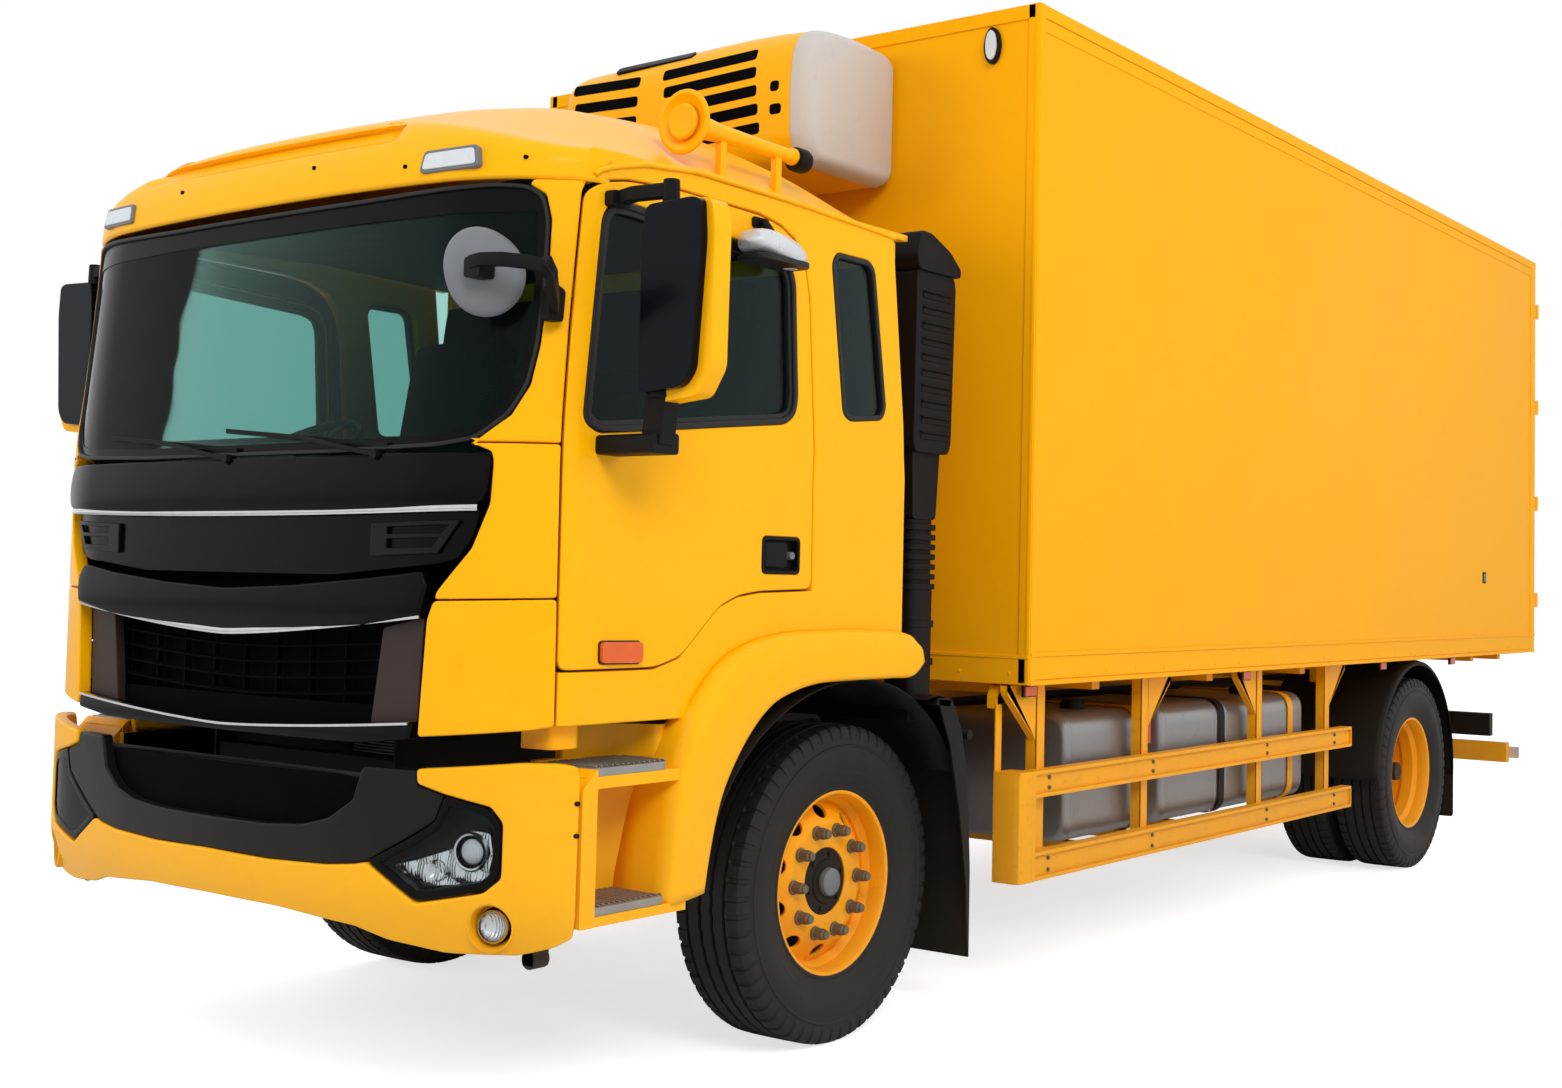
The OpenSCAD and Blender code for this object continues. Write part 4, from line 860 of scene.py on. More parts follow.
def wheel_disc(name, x_rim, y, side, body, profile, mat, hole_r, holes=10, hole_size=(0.028, 0.021)):
    """Pressed disc: profile gives (radius, x) pairs, pierced by a ring of hand holes and the hub."""
    rs = [p[0] for p in profile]
    xs = [p[1] for p in profile]

    def base(a, b):
        r = np.sqrt(a * a + b * b)
        x = np.interp(r, rs, xs)
        return np.stack([x_rim + x, y + a, WHEEL_Z + b], 1)

    def ring(r, n):
        return [(r * math.cos(2 * math.pi * i / n), r * math.sin(2 * math.pi * i / n)) for i in range(n)]

    cuts = [ring(0.108, 48)]
    for i in range(holes):
        t = 2 * math.pi * (i + 0.5) / holes
        cy, cz = hole_r * math.cos(t), hole_r * math.sin(t)
        cut = []
        for j in range(20):
            u = 2 * math.pi * j / 20
            a, b = hole_size[1] * math.cos(u), hole_size[0] * math.sin(u)
            cut.append((cy + a * math.cos(t) - b * math.sin(t), cz + a * math.sin(t) + b * math.cos(t)))
        cuts.append(cut)
    return panel(name, ring(0.2665, 96), base, mat, body, "yellow_paint", holes=cuts, t=0.012, r=0.003,
                 step=0.012, side=side, inside=(0.4, y, WHEEL_Z))


def studs(geo, x0, y, length, r=0.168, count=10):
    """Sleeve nuts on their washers, each with the end of its stud."""
    sleeve = [(TIP, 0.0), (0.0235, 0.0), (0.0235, 0.007), (0.0175, 0.009), (0.0185, 0.014),
              (0.0190, length * 0.55), (0.0175, length * 0.8), (0.0145, length * 0.84), (0.0140, length),
              (0.0118, length * 1.03), (TIP, length * 1.03)]
    geo.use(STUD)
    for i in range(count):
        t = 2 * math.pi * i / count
        place = (x0 - 0.002, y + r * math.cos(t), WHEEL_Z + r * math.sin(t))
        geo.lathe(sleeve, place, X_AXIS, 12, closed=False)


for side, tag, flip in SIDES:
    body = "front_wheel_" + tag
    g = Geo(RUBBER).at(flip)
    tyre(g, TYRE_X, 0.0)
    g.make("front_tyre_tread_" + tag, body, "tyre", replaces=("front_tyre_" + tag,), angle=28)
    g = Geo(RIM_YELLOW).at(flip)
    rim_lathe(g, TYRE_X, 0.0, 1)
    g.use(BLACK)
    g.lathe([(TIP, 0.0), (0.135, 0.0), (0.135, 0.02), (0.112, 0.03), (0.112, 0.088), (0.106, 0.096),
             (0.072, 0.1), (0.068, 0.108), (TIP, 0.108)], (TYRE_X - 0.028, 0, WHEEL_Z), X_AXIS, 48,
            closed=False)
    for i in range(6):
        t = math.pi * i / 3 + 0.3
        g.rod((TYRE_X + 0.062, 0.088 * math.cos(t), WHEEL_Z + 0.088 * math.sin(t)),
              (TYRE_X + 0.078, 0.088 * math.cos(t), WHEEL_Z + 0.088 * math.sin(t)), 0.008, 0.007, 10)
    g.use(GREY)
    g.lathe([(TIP, 0.0), (0.043, 0.0), (0.046, 0.006), (0.044, 0.022), (0.034, 0.028), (TIP, 0.03)],
            (TYRE_X + 0.078, 0, WHEEL_Z), X_AXIS, 32, closed=False)
    studs(g, TYRE_X + 0.074, 0.0, 0.052)
    g.make("front_rim_barrel_" + tag, body, "yellow_paint", replaces=("front_rim_" + tag,), bevel=0.0015)
    wheel_disc("front_disc_" + tag, TYRE_X, 0.0, side, body,
               [(0.0, 0.072), (0.185, 0.072), (0.198, 0.066), (0.232, 0.040), (0.252, 0.022),
                (0.2665, 0.016)],
               RIM_YELLOW, 0.226, hole_size=(0.029, 0.022))
    g = Geo(STEEL).at(flip)
    g.lathe([(0.075, 0.0), (0.252, 0.0), (0.256, 0.012), (0.252, 0.016), (0.248, 0.004), (0.075, 0.004)],
            (TYRE_X - 0.078, 0, WHEEL_Z), X_AXIS, 64)
    g.make("brake_shield_" + tag, "steering_knuckle_" + tag, "chassis_steel")
    body = "rear_wheel_" + tag
    g = Geo(RUBBER).at(flip)
    tyre(g, REAR_X, REAR_Y)
    tyre(g, REAR_X - TWIN, REAR_Y)
    g.make("rear_tyre_tread_" + tag, body, "tyre", replaces=("rear_tyres_" + tag,), angle=28)
    g = Geo(RIM_YELLOW).at(flip)
    rim_lathe(g, REAR_X, REAR_Y, 1)
    rim_lathe(g, REAR_X - TWIN, REAR_Y, 1)
    g.use(STEEL)
    hub = REAR_X - TWIN / 2
    g.lathe([(0.1, -0.02), (0.262, -0.02), (0.262, 0.012), (0.2, 0.012), (0.185, 0.0), (0.1, 0.0)],
            (hub, REAR_Y, WHEEL_Z), X_AXIS, 64)
    g.use(BLACK)
    g.lathe([(TIP, -0.03), (0.106, -0.03), (0.106, 0.07), (0.102, 0.088), (0.088, 0.1), (0.062, 0.102),
             (0.058, 0.11), (TIP, 0.112)], (hub, REAR_Y, WHEEL_Z), X_AXIS, 48, closed=False)
    studs(g, hub + 0.014, REAR_Y, 0.055)
    g.make("rear_rim_barrel_" + tag, body, "yellow_paint", replaces=("rear_rims_" + tag,), bevel=0.0015)
    wheel_disc("rear_disc_" + tag, hub, REAR_Y, side, body,
               [(0.0, 0.012), (0.19, 0.012), (0.205, 0.016), (0.24, 0.042), (0.258, 0.07), (0.2665, 0.078)],
               RIM_YELLOW, 0.224, hole_size=(0.03, 0.018))

# ---------------------------------------------------------------- cab: outer panels
SCREEN_HALF = [(0.45, 1.808), (0.827, 1.818), (0.94, 1.836), (1.021, 1.903), (1.058, 1.984),
               (1.071, 2.092), (1.075, 2.241), (1.069, 2.432), (1.052, 2.50), (1.012, 2.527),
               (0.924, 2.534), (0.45, 2.524)]
screen_line = [at_x(x, z) for x, z in SCREEN_HALF]
screen_ring = fillet(screen_line + mirrored(screen_line), 0.03)
surface_panel("windscreen", inset(screen_ring, 0.002), SCREEN, "cab", "tinted_glass", t=0.006, r=0.002,
              depth=0.016, step=0.05)
frit = inset(screen_ring, 0.034)
frit = [(a, min(b, 2.448 + 0.01 * math.cos(a))) for a, b in frit]
surface_panel("windscreen_border", inset(screen_ring, 0.0015), GLOSS_BLACK, "cab", "black_gloss",
              holes=[frit], t=0.0012, r=0.0006, depth=0.0135, step=0.05)
surface_panel("windscreen_seal", screen_ring, SEAL, "cab", "black_plastic", holes=[inset(screen_ring, 0.012)],
              t=0.02, r=0.004, depth=0.003, step=0.04)

DOOR = [(-1.361, 1.235), (-1.003, 1.235), (-0.9, 1.262), (-0.815, 1.335), (-0.734, 1.405), (-0.65, 1.436),
        (-0.554, 1.449), (-0.305, 1.457), (-0.305, 1.887), (-0.345, 2.349), (-0.37, 2.45), (-0.426, 2.523),
        (-0.5, 2.555), (-0.596, 2.57), (-0.952, 2.578), (-1.16, 2.564), (-1.252, 2.544), (-1.308, 2.512),
        (-1.34, 2.16), (-1.361, 1.812)]
WINDOW = [(-1.291, 1.903), (-1.245, 1.882), (-0.455, 1.97), (-0.415, 1.995), (-0.407, 2.04), (-0.43, 2.385),
          (-0.45, 2.432), (-0.5, 2.452), (-1.15, 2.49), (-1.21, 2.487), (-1.24, 2.45)]
QUARTER = [(-0.222, 2.48), (-0.205, 2.508), (-0.04, 2.508), (-0.015, 2.485), (0.06, 2.05), (0.045, 2.02),
           (-0.12, 2.003), (-0.15, 2.02)]
HANDLE = [(-0.546, 1.502), (-0.368, 1.502), (-0.368, 1.612), (-0.546, 1.612)]

door_ring = fillet([at_y(y, z) for y, z in DOOR], 0.03)
window_ring = fillet([at_y(y, z) for y, z in WINDOW], 0.02)
quarter_ring = fillet([at_y(y, z) for y, z in QUARTER], 0.02)
handle_ring = fillet([at_y(y, z) for y, z in HANDLE], 0.018)

# Side panel: below, behind and above the door
side_ring = [
    at_y(-1.36, 1.088), at_y(-0.88, 1.088), at_y(-0.77, 1.19), at_y(-0.6, 1.236), at_y(0.19, 1.236),
    at_y(0.19, 1.82), at_y(0.176, 2.0), at_y(0.10, 2.6), at_y(0.095, 2.636), at_y(-1.29, 2.636),
    at_y(-1.295, 2.541), at_y(-1.255, 2.549),
]
over_door = [(-1.16, 2.569), (-0.952, 2.583), (-0.594, 2.575), (-0.496, 2.56), (-0.42, 2.527),
             (-0.364, 2.452), (-0.339, 2.349), (-0.299, 1.887), (-0.299, 1.451), (-0.554, 1.443),
             (-0.652, 1.43), (-0.737, 1.399), (-0.818, 1.329), (-0.903, 1.256), (-1.004, 1.229),
             (-1.36, 1.229)]
side_ring += [at_y(y, z) for y, z in over_door]
quarter_out = inset(quarter_ring, -0.012)
pillar_line = [at_x(x, z) for x, z in SCREEN_HALF[2:10]]
pillar_line = [(a + 0.004, b) for a, b in pillar_line]
pillar_ring = [at_x(0.925, 1.832)] + pillar_line + [(pillar_line[-1][0] + 0.01, 2.541)]
pillar_ring += [at_y(-1.302, 2.541), at_y(-1.313, 2.512), at_y(-1.345, 2.16), at_y(-1.366, 1.832)]
mid_ring = [at_x(x, z) for x, z in ((0.842, 1.414), (0.846, 1.432), (0.862, 1.452), (0.942, 1.55),
                                    (0.985, 1.668), (0.99, 1.78), (0.985, 1.806), (0.93, 1.828))]
mid_ring += [at_y(-1.366, 1.828), at_y(-1.366, 1.424)]
low_ring = [at_x(x, z) for x, z in ((0.802, 1.05), (0.808, 1.16), (0.82, 1.36), (0.838, 1.409))]
low_ring += [at_y(-1.366, 1.42), at_y(-1.364, 1.088), at_x(1.09, 1.078)]

for side, tag, flip in SIDES:
    surface_panel("cab_side_skin_" + tag, fillet(side_ring, 0.006, 2), YELLOW, "cab", "yellow_paint",
                  holes=[quarter_out], t=0.05, r=0.006, step=0.03, side=side,
                  replaces=("cab_sides",) if side > 0 else ())
    surface_panel("front_pillar_" + tag, fillet(pillar_ring, 0.006, 2), YELLOW, "cab", "yellow_paint",
                  t=0.05, r=0.008, step=0.025, side=side)
    surface_panel("corner_panel_" + tag, fillet(mid_ring, 0.01, 3), YELLOW, "cab", "yellow_paint",
                  t=0.04, r=0.006, step=0.02, side=side, replaces=("cab_front_panel",) if side > 0 else ())
    surface_panel("corner_skirt_" + tag, fillet(low_ring, 0.012, 3), YELLOW, "cab", "yellow_paint",
                  t=0.04, r=0.006, step=0.02, side=side)
    surface_panel("quarter_seal_" + tag, quarter_out, SEAL, "cab", "black_plastic",
                  holes=[inset(quarter_ring, 0.006)], t=0.03, r=0.005, depth=-0.002, step=0.02, side=side)
    surface_panel("quarter_glass_" + tag, quarter_ring, SIDE_GLASS, "cab", "tinted_glass", t=0.005,
                  r=0.001, depth=0.012, step=0.06, side=side)
    door_body = "cab_door_" + tag
    surface_panel("door_skin_" + tag, door_ring, YELLOW, door_body, "yellow_paint",
                  holes=[inset(window_ring, -0.016), inset(handle_ring, -0.001)], t=0.03, r=0.006, step=0.025,
                  side=side, replaces=("cab_door_" + tag,))
    surface_panel("door_frame_" + tag, inset(window_ring, -0.0158), SEAL, door_body, "grey_plastic",
                  holes=[inset(window_ring, 0.004)], t=0.03, r=0.006, depth=-0.002, step=0.02, side=side)
    surface_panel("door_seal_" + tag, inset(window_ring, -0.002), SEAL, door_body, "black_plastic",
                  holes=[inset(window_ring, 0.018)], t=0.02, r=0.004, depth=0.006, step=0.02, side=side)
    surface_panel("door_window_" + tag, window_ring, SIDE_GLASS, door_body, "tinted_glass", t=0.005,
                  r=0.001, depth=0.02, step=0.08, side=side, replaces=("door_glass_" + tag,))
    surface_panel("door_lining_" + tag, inset(door_ring, 0.02), DASH, door_body, "grey_plastic",
                  holes=[inset(window_ring, -0.02)], t=0.022, r=0.006, depth=0.034, step=0.05, side=side)

# ---------------------------------------------------------------- cab: roof and visor
DRIP_Z = 2.636
CROWN = np.array([(-1.45, 2.762), (-1.3, 2.818), (-1.05, 2.905), (-0.8, 2.972), (-0.53, 3.0), (-0.39, 3.008),
                  (-0.2, 3.0), (0.0, 2.975), (0.08, 2.95), (0.13, 2.90), (0.15, 2.86), (0.155, 2.80)])


def dome(x):
    return (1 - np.clip(np.abs(x) / CAB_X, 0, 1) ** 3.5) ** 2


def roof_mesh():
    half_n = 40
    us = np.sin(np.linspace(-1, 1, 2 * half_n + 1) * math.pi / 2 * 0.985) / math.sin(math.pi / 2 * 0.985)
    xs = us * CAB_X
    front = CAB_PLAN[:, 0] < CAB_X - 1e-6
    plan_y = np.interp(np.abs(xs), CAB_PLAN[front, 0], CAB_PLAN[front, 1])
    plan_y[0] = plan_y[-1] = -1.3
    verts, rows = [], 0
    for x, py in zip(xs, plan_y):
        low = 2.545 - 0.01 * (abs(x) / CAB_X) ** 2
        high = DRIP_Z + (CROWN[0, 1] - DRIP_Z) * dome(x)
        face = [np.array([x, py + 0.012 + float(lean(low)), low + 0.004]),
                np.array([x, py + float(lean(low)), low + 0.012])]
        for z in np.linspace(low + 0.02, high, 12):
            face.append(np.array([x, py + float(lean(z)), z]))
        yb = py + float(lean(high))
        back = 0.155
        tail = 0.19
        over = []
        for v in np.linspace(0, 1, 60)[1:]:
            y = yb + (tail - yb) * v
            v0 = CROWN[0, 0] + (y - yb) * (back - CROWN[0, 0]) / (tail - yb)
            h = float(np.interp(v0, CROWN[:, 0], CROWN[:, 1]))
            over.append(np.array([x, y, DRIP_Z + (h - DRIP_Z) * dome(x)]))
        line = np.array(face + over)
        run = run_length(line)
        fine = np.arange(0, run[-1], 0.008)
        dense_line = np.stack([np.interp(fine, run, line[:, c]) for c in range(3)], 1)
        kernel = np.exp(-0.5 * (np.arange(-9, 10) * 0.008 / 0.024) ** 2)
        kernel /= kernel.sum()
        pad = np.vstack([np.repeat(dense_line[:1], 9, 0), dense_line, np.repeat(dense_line[-1:], 9, 0)])
        soft = np.stack([np.convolve(pad[:, c], kernel, "valid") for c in range(3)], 1)
        hold = np.clip(fine / 0.06, 0, 1)[:, None]
        soft = dense_line * (1 - hold) + soft * hold
        total = run[-1]
        front_part = np.linspace(0, 0.34, 76)
        rest = np.linspace(0.34, total, 34)[1:]
        stations = np.concatenate([front_part, rest])
        col = np.stack([np.interp(stations, fine, soft[:, c]) for c in range(3)], 1)
        if -0.68 < x < 0.55:
            near_end = min(1.0, min(x + 0.68, 0.55 - x) / 0.03)
            z = col[:, 2]
            band = np.clip((z - 2.682) / 0.016, 0, 1) * np.clip((2.740 - z) / 0.005, 0, 1)
            band *= (stations < 0.34)
            col[:, 1] += 0.026 * band * near_end
        verts.append(col)
        rows = len(col)
    flat = np.vstack(verts)
    flat[:, 1] += AXLE_Y
    faces = []
    for i in range(len(xs) - 1):
        for j in range(rows - 1):
            faces.append((i * rows + j, (i + 1) * rows + j, (i + 1) * rows + j + 1, i * rows + j + 1))
    me = bpy.data.meshes.new("cab_roof_skin")
    me.from_pydata(flat.tolist(), [], faces)
    me.materials.append(YELLOW)
    me.update()
    me.shade_smooth()
    me.set_sharp_from_angle(angle=math.radians(50))
    thickened(on_body("cab_roof_skin", me, "cab", ("cab_roof",)), 0.02)


def visor_place(proud):
    """Place of the lamp in the visor, turned with the roof's front edge and standing a little out of it."""
    y = float(np.interp(0.785, CAB_PLAN[:200, 0], CAB_PLAN[:200, 1])) + 0.072
    return Matrix.Translation((0.785, y - proud, 2.605)) @ Matrix.Rotation(math.radians(8), 4, "Z") @ \
        Matrix.Rotation(math.radians(-8), 4, "X")


roof_mesh()

g = Geo(YELLOW)
for xf in both_sides():
    g.at(xf)
    drip = [(1.144, -1.285, 2.56), (1.149, -1.268, 2.574), (1.151, -1.22, 2.592), (1.152, -1.1, 2.622),
            (1.152, -0.87, 2.645), (1.152, -0.4, 2.637), (1.152, 0.0, 2.622), (1.150, 0.1, 2.616)]
    g.tube(drip, 0.009, 8)
g.use(GREY)
for xf in both_sides():
    g.at(xf @ visor_place(0.002))
    g.prism(fillet([(-0.103, -0.034), (0.106, -0.031), (0.094, 0.034), (-0.094, 0.030)], 0.016), "y",
            -0.006, 0.03)
g.make("visor_trim", "cab", "yellow_paint", bevel=0.003)
g = Geo(LENS)
for xf in both_sides():
    g.at(xf @ visor_place(0.006))
    g.prism(fillet([(-0.092, -0.025), (0.095, -0.022), (0.084, 0.025), (-0.084, 0.021)], 0.012), "y",
            -0.006, 0.0)
g.make("visor_lamps", "cab", "lamp", bevel=0.003)
g = Geo(BLACK_AND_PAINTED_SHADE)
for x, z in ((0.23, 2.640), (-0.42, 2.640), (0.62, 2.60), (1.0, 2.600)):
    y = float(np.interp(abs(x), CAB_PLAN[:200, 0], CAB_PLAN[:200, 1])) + float(lean(z))
    g.at().rod((x, y - 0.004, z), (x, y + 0.02, z), 0.006, 0.006, 12)
g.make("visor_screws", "cab", "black_plastic")

# ---------------------------------------------------------------- cab: front lid
LID = "front_lid"


def swell(centre, half_width, amount):
    def f(a, b):
        return amount * np.clip(1 - ((b - centre) / half_width) ** 2, 0, 1)
    return f


upper = [at_x(x, z) for x, z in ((0.45, 1.645), (0.7, 1.652), (0.962, 1.668), (0.978, 1.70), (0.988, 1.78),
                                 (0.975, 1.800), (0.9, 1.804), (0.45, 1.802))]
surface_panel("lid_upper", fillet(upper + mirrored(upper), 0.02), GLOSS_BLACK, LID, "black_gloss",
              t=0.03, r=0.008, step=0.03, bulge=swell(1.71, 0.085, 0.010), replaces=("front_grille",))
name_bar = [at_x(x, z) for x, z in ((0.45, 1.470), (0.826, 1.504), (0.898, 1.523), (0.938, 1.585),
                                    (0.955, 1.655), (0.7, 1.646), (0.45, 1.64))]
surface_panel("lid_name_bar", fillet(name_bar + mirrored(name_bar), 0.015), GLOSS_BLACK, LID,
              "black_gloss", t=0.03, r=0.006, depth=0.022, step=0.03)
bar = [at_x(x, z) for x, z in ((0.02, 1.300), (0.3, 1.312), (0.6, 1.338), (0.806, 1.370), (0.822, 1.45),
                               (0.80, 1.488), (0.6, 1.466), (0.3, 1.442), (0.02, 1.430))]
surface_panel("lid_middle_bar", fillet(bar + mirrored(bar), 0.008), GLOSS_BLACK, LID, "black_gloss",
              t=0.05, r=0.010, depth=-0.002, step=0.025, bulge=swell(1.39, 0.09, 0.012))
low_bar = [at_x(x, z) for x, z in ((0.02, 1.02), (0.3, 1.02), (0.6, 1.022), (0.78, 1.042), (0.785, 1.088),
                                   (0.6, 1.074), (0.3, 1.052), (0.02, 1.044))]
surface_panel("lid_lower_bar", fillet(low_bar + mirrored(low_bar), 0.008), GLOSS_BLACK, LID,
              "black_gloss", t=0.04, r=0.008, depth=0.0, step=0.025, bulge=swell(1.04, 0.04, 0.006))
# Near-black sheet deep behind the grille: painted shade in place of the inside of the cab front.
back = [at_x(x, z) for x, z in ((0.3, 1.085), (0.79, 1.095), (0.8, 1.38), (0.85, 1.46), (0.93, 1.56),
                                (0.955, 1.69), (0.3, 1.69))]
surface_panel("lid_back_painted_shade", back + mirrored(back), BLACK_AND_PAINTED_SHADE, LID, "black_plastic", t=0.01, r=0.002,
              depth=0.098, step=0.08)
side_trim = [at_x(x, z) for x, z in ((0.60, 1.052), (0.775, 1.075), (0.79, 1.366), (0.64, 1.334))]
for side, tag, flip in SIDES:
    surface_panel("grille_cheek_" + tag, fillet(side_trim, 0.01), BROWN_TRIM, LID, "grey_plastic",
                  t=0.03, r=0.004, depth=0.03, step=0.03, side=side)
    louvre = [at_x(x, z) for x, z in ((0.60, 1.525), (0.84, 1.535), (0.905, 1.625), (0.60, 1.615))]
    surface_panel("name_bar_insert_" + tag, fillet(louvre, 0.006), CHARCOAL, LID, "grey_plastic",
                  t=0.01, r=0.003, depth=0.010, step=0.03, side=side,
                  holes=[fillet([at_x(x, z) for x, z in ((0.66, 1.547), (0.825, 1.551), (0.845, 1.577),
                                                         (0.66, 1.573))], 0.005),
                         fillet([at_x(x, z) for x, z in ((0.66, 1.585), (0.85, 1.588), (0.875, 1.612),
                                                         (0.66, 1.605))], 0.005)])


def on_skin(x, z, d):
    """Point on the cab's front at x and z, d in front of the skin."""
    s, _ = at_x(x, z)
    p = cab(np.array([s]), np.array([z]))[0]
    q = cab(np.array([s + 1e-3]), np.array([z]))[0] - cab(np.array([s - 1e-3]), np.array([z]))[0]
    n = Vector((q[1], -q[0], 0)).normalized()
    return (p[0] + n.x * d, p[1] + n.y * d, z)


g = Geo(CHROME)
strip = [(-0.004, -0.008), (0.004, -0.008), (0.006, 0.0), (0.004, 0.009), (-0.004, 0.009)]
xs = np.linspace(-1, 1, 61)
g.sweep([on_skin(x * 0.955, 1.643 + 0.014 * abs(x) ** 2.2, -0.001) for x in xs], strip)
g.sweep([on_skin(x * 0.80, 1.303 + 0.067 * abs(x) ** 1.4, 0.002) for x in xs], strip)
g.sweep([on_skin(x * 0.775, 1.040 + 0.044 * abs(x) ** 1.4, 0.004) for x in xs],
        [(-0.004, -0.005), (0.005, -0.004), (0.006, 0.003), (-0.004, 0.006)])
g.make("lid_bright_trim", LID, "alloy", bevel=0.001)
# The slats are near-black, darker than black plastic: painted shade deep inside the grille.
g = Geo(BLACK_AND_PAINTED_SHADE)
for k in range(5):
    z = 1.085 + 0.045 * k
    pts = [on_skin(x * 0.66, z + 0.03 * abs(x) ** 1.5, -0.072) for x in xs]
    g.sweep(pts, [(-0.006, -0.004), (0.012, -0.006), (0.012, 0.0), (-0.006, 0.004)])
for x in np.linspace(-0.6, 0.6, 9):
    g.sweep([on_skin(x, 1.05, -0.076), on_skin(x, 1.33, -0.076)], [(-0.004, -0.012), (0.004, -0.012),
                                                                   (0.004, 0.006), (-0.004, 0.006)],
            up=(0, -1, 0))
g.make("grille_slats", LID, "black_plastic", bevel=0.001)
# Near-black sheet behind the lower edge of the lid: painted shade that closes the view into the gap.
apron = [at_x(x, z) for x, z in ((0.4, 1.04), (0.90, 1.04), (0.90, 1.12), (0.4, 1.12))]
surface_panel("front_apron_painted_shade", apron + mirrored(apron), BLACK_AND_PAINTED_SHADE, "cab", "black_gloss", t=0.008, r=0.003,
              depth=0.055, step=0.06)

# ---------------------------------------------------------------- bumper
BUMP_PLAN, BUMP_RUN = spline([
    (0, -1.62), (0.42, -1.598), (0.62, -1.573), (0.786, -1.544), (0.9, -1.52), (0.98, -1.497), (1.05, -1.468),
    (1.10, -1.44), (1.15, -1.402), (1.178, -1.37), (1.194, -1.343), (1.2, -1.31), (1.2, -1.25), (1.2, -1.1),
])


def bump(s, z):
    s, z = np.asarray(s, float), np.asarray(z, float)
    x = np.interp(np.abs(s), BUMP_RUN, BUMP_PLAN[:, 0])
    y = np.interp(np.abs(s), BUMP_RUN, BUMP_PLAN[:, 1])
    tuck = 0.34 * ramp(-z, -0.60, 0.05)
    fit = 1 - tuck * 0.5
    return np.stack([x * fit * np.sign(s), y + tuck, z], 1)


def bump_x(x, z):
    front = BUMP_PLAN[:, 0] < 1.2 - 1e-5
    return (math.copysign(float(np.interp(abs(x), BUMP_PLAN[front, 0], BUMP_RUN[front])), x), z)


def bump_y(y, z):
    flank = BUMP_PLAN[:, 0] > 1.1
    return (float(np.interp(y, BUMP_PLAN[flank, 1], BUMP_RUN[flank])), z)


behind = (0, -1.1, 0.8)
REFLECT = [(0.706, 0.702), (0.80, 0.728), (0.90, 0.762), (0.955, 0.812), (1.012, 0.806), (1.018, 0.752),
           (1.008, 0.686), (0.90, 0.664), (0.813, 0.656)]
LAMP = [(0.645, 0.712), (0.809, 0.620), (1.008, 0.662), (1.051, 0.70), (1.052, 0.835), (1.022, 0.876),
        (0.892, 0.904), (0.865, 0.833), (0.792, 0.788)]
lamp_ring = fillet([bump_x(x, z) for x, z in LAMP], 0.02)
u_low = [bump_x(x, z) for x, z in ((0.02, 0.688), (0.264, 0.683), (0.50, 0.690), (0.60, 0.700))]
lip_half = [bump_x(x, z) for x, z in ((0.02, 0.558), (0.3, 0.553), (0.591, 0.530), (0.705, 0.502),
                                      (0.891, 0.485), (1.091, 0.493), (1.165, 0.515))]
lip_half += [bump_y(-1.342, 0.54), bump_y(-1.330, 0.60), bump_y(-1.326, 0.955), bump_y(-1.336, 0.988)]
lip_half += [bump_x(1.17, 0.995), bump_x(1.093, 0.995), bump_x(0.802, 0.966), bump_x(0.806, 0.927)]
lip_half += [bump_x(0.889, 0.906), bump_x(1.024, 0.880), bump_x(1.056, 0.84), bump_x(1.055, 0.697),
             bump_x(1.010, 0.657), bump_x(0.809, 0.614), bump_x(0.643, 0.709)]
lip_half += u_low[::-1]


def circle(s, z, r, n=28):
    return [(s + r * math.cos(2 * math.pi * i / n), z + r * math.sin(2 * math.pi * i / n)) for i in range(n)]


fog = bump_x(1.028, 0.568)
panel("bumper_skin", fillet(lip_half + mirrored(lip_half), 0.012, 4), bump, YELLOW, "chassis",
      "yellow_paint", holes=[circle(*fog, 0.058), circle(-fog[0], fog[1], 0.058)], t=0.035, r=0.009,
      step=0.022, inside=behind, replaces=("front_bumper",))
u_ring = u_low + [bump_x(0.643, 0.712), bump_x(0.790, 0.790), bump_x(0.862, 0.834), bump_x(0.888, 0.902),
                  bump_x(0.802, 0.924), bump_x(0.798, 0.962), bump_x(0.62, 0.962), bump_x(0.610, 0.943),
                  bump_x(0.586, 0.870), bump_x(0.50, 0.815), bump_x(0.40, 0.790), bump_x(0.259, 0.780),
                  bump_x(0.02, 0.779)]
panel("bumper_surround", fillet(u_ring + mirrored(u_ring), 0.01, 4), bump, CHARCOAL, "chassis",
      "black_plastic", t=0.035, r=0.008, depth=0.007, step=0.022, inside=behind,
      replaces=("bumper_centre",))
# Near-black sheet at the back of the bumper's mouth: painted shade in the opening.
mouth = [bump_x(0.02, 0.765), bump_x(0.27, 0.768), bump_x(0.5, 0.80), bump_x(0.60, 0.86), bump_x(0.615, 0.93)]
panel("bumper_mouth_painted_shade", mouth + mirrored(mouth), bump, BLACK_AND_PAINTED_SHADE, "chassis", "black_plastic", t=0.008, r=0.002,
      depth=0.041, step=0.04, inside=behind)
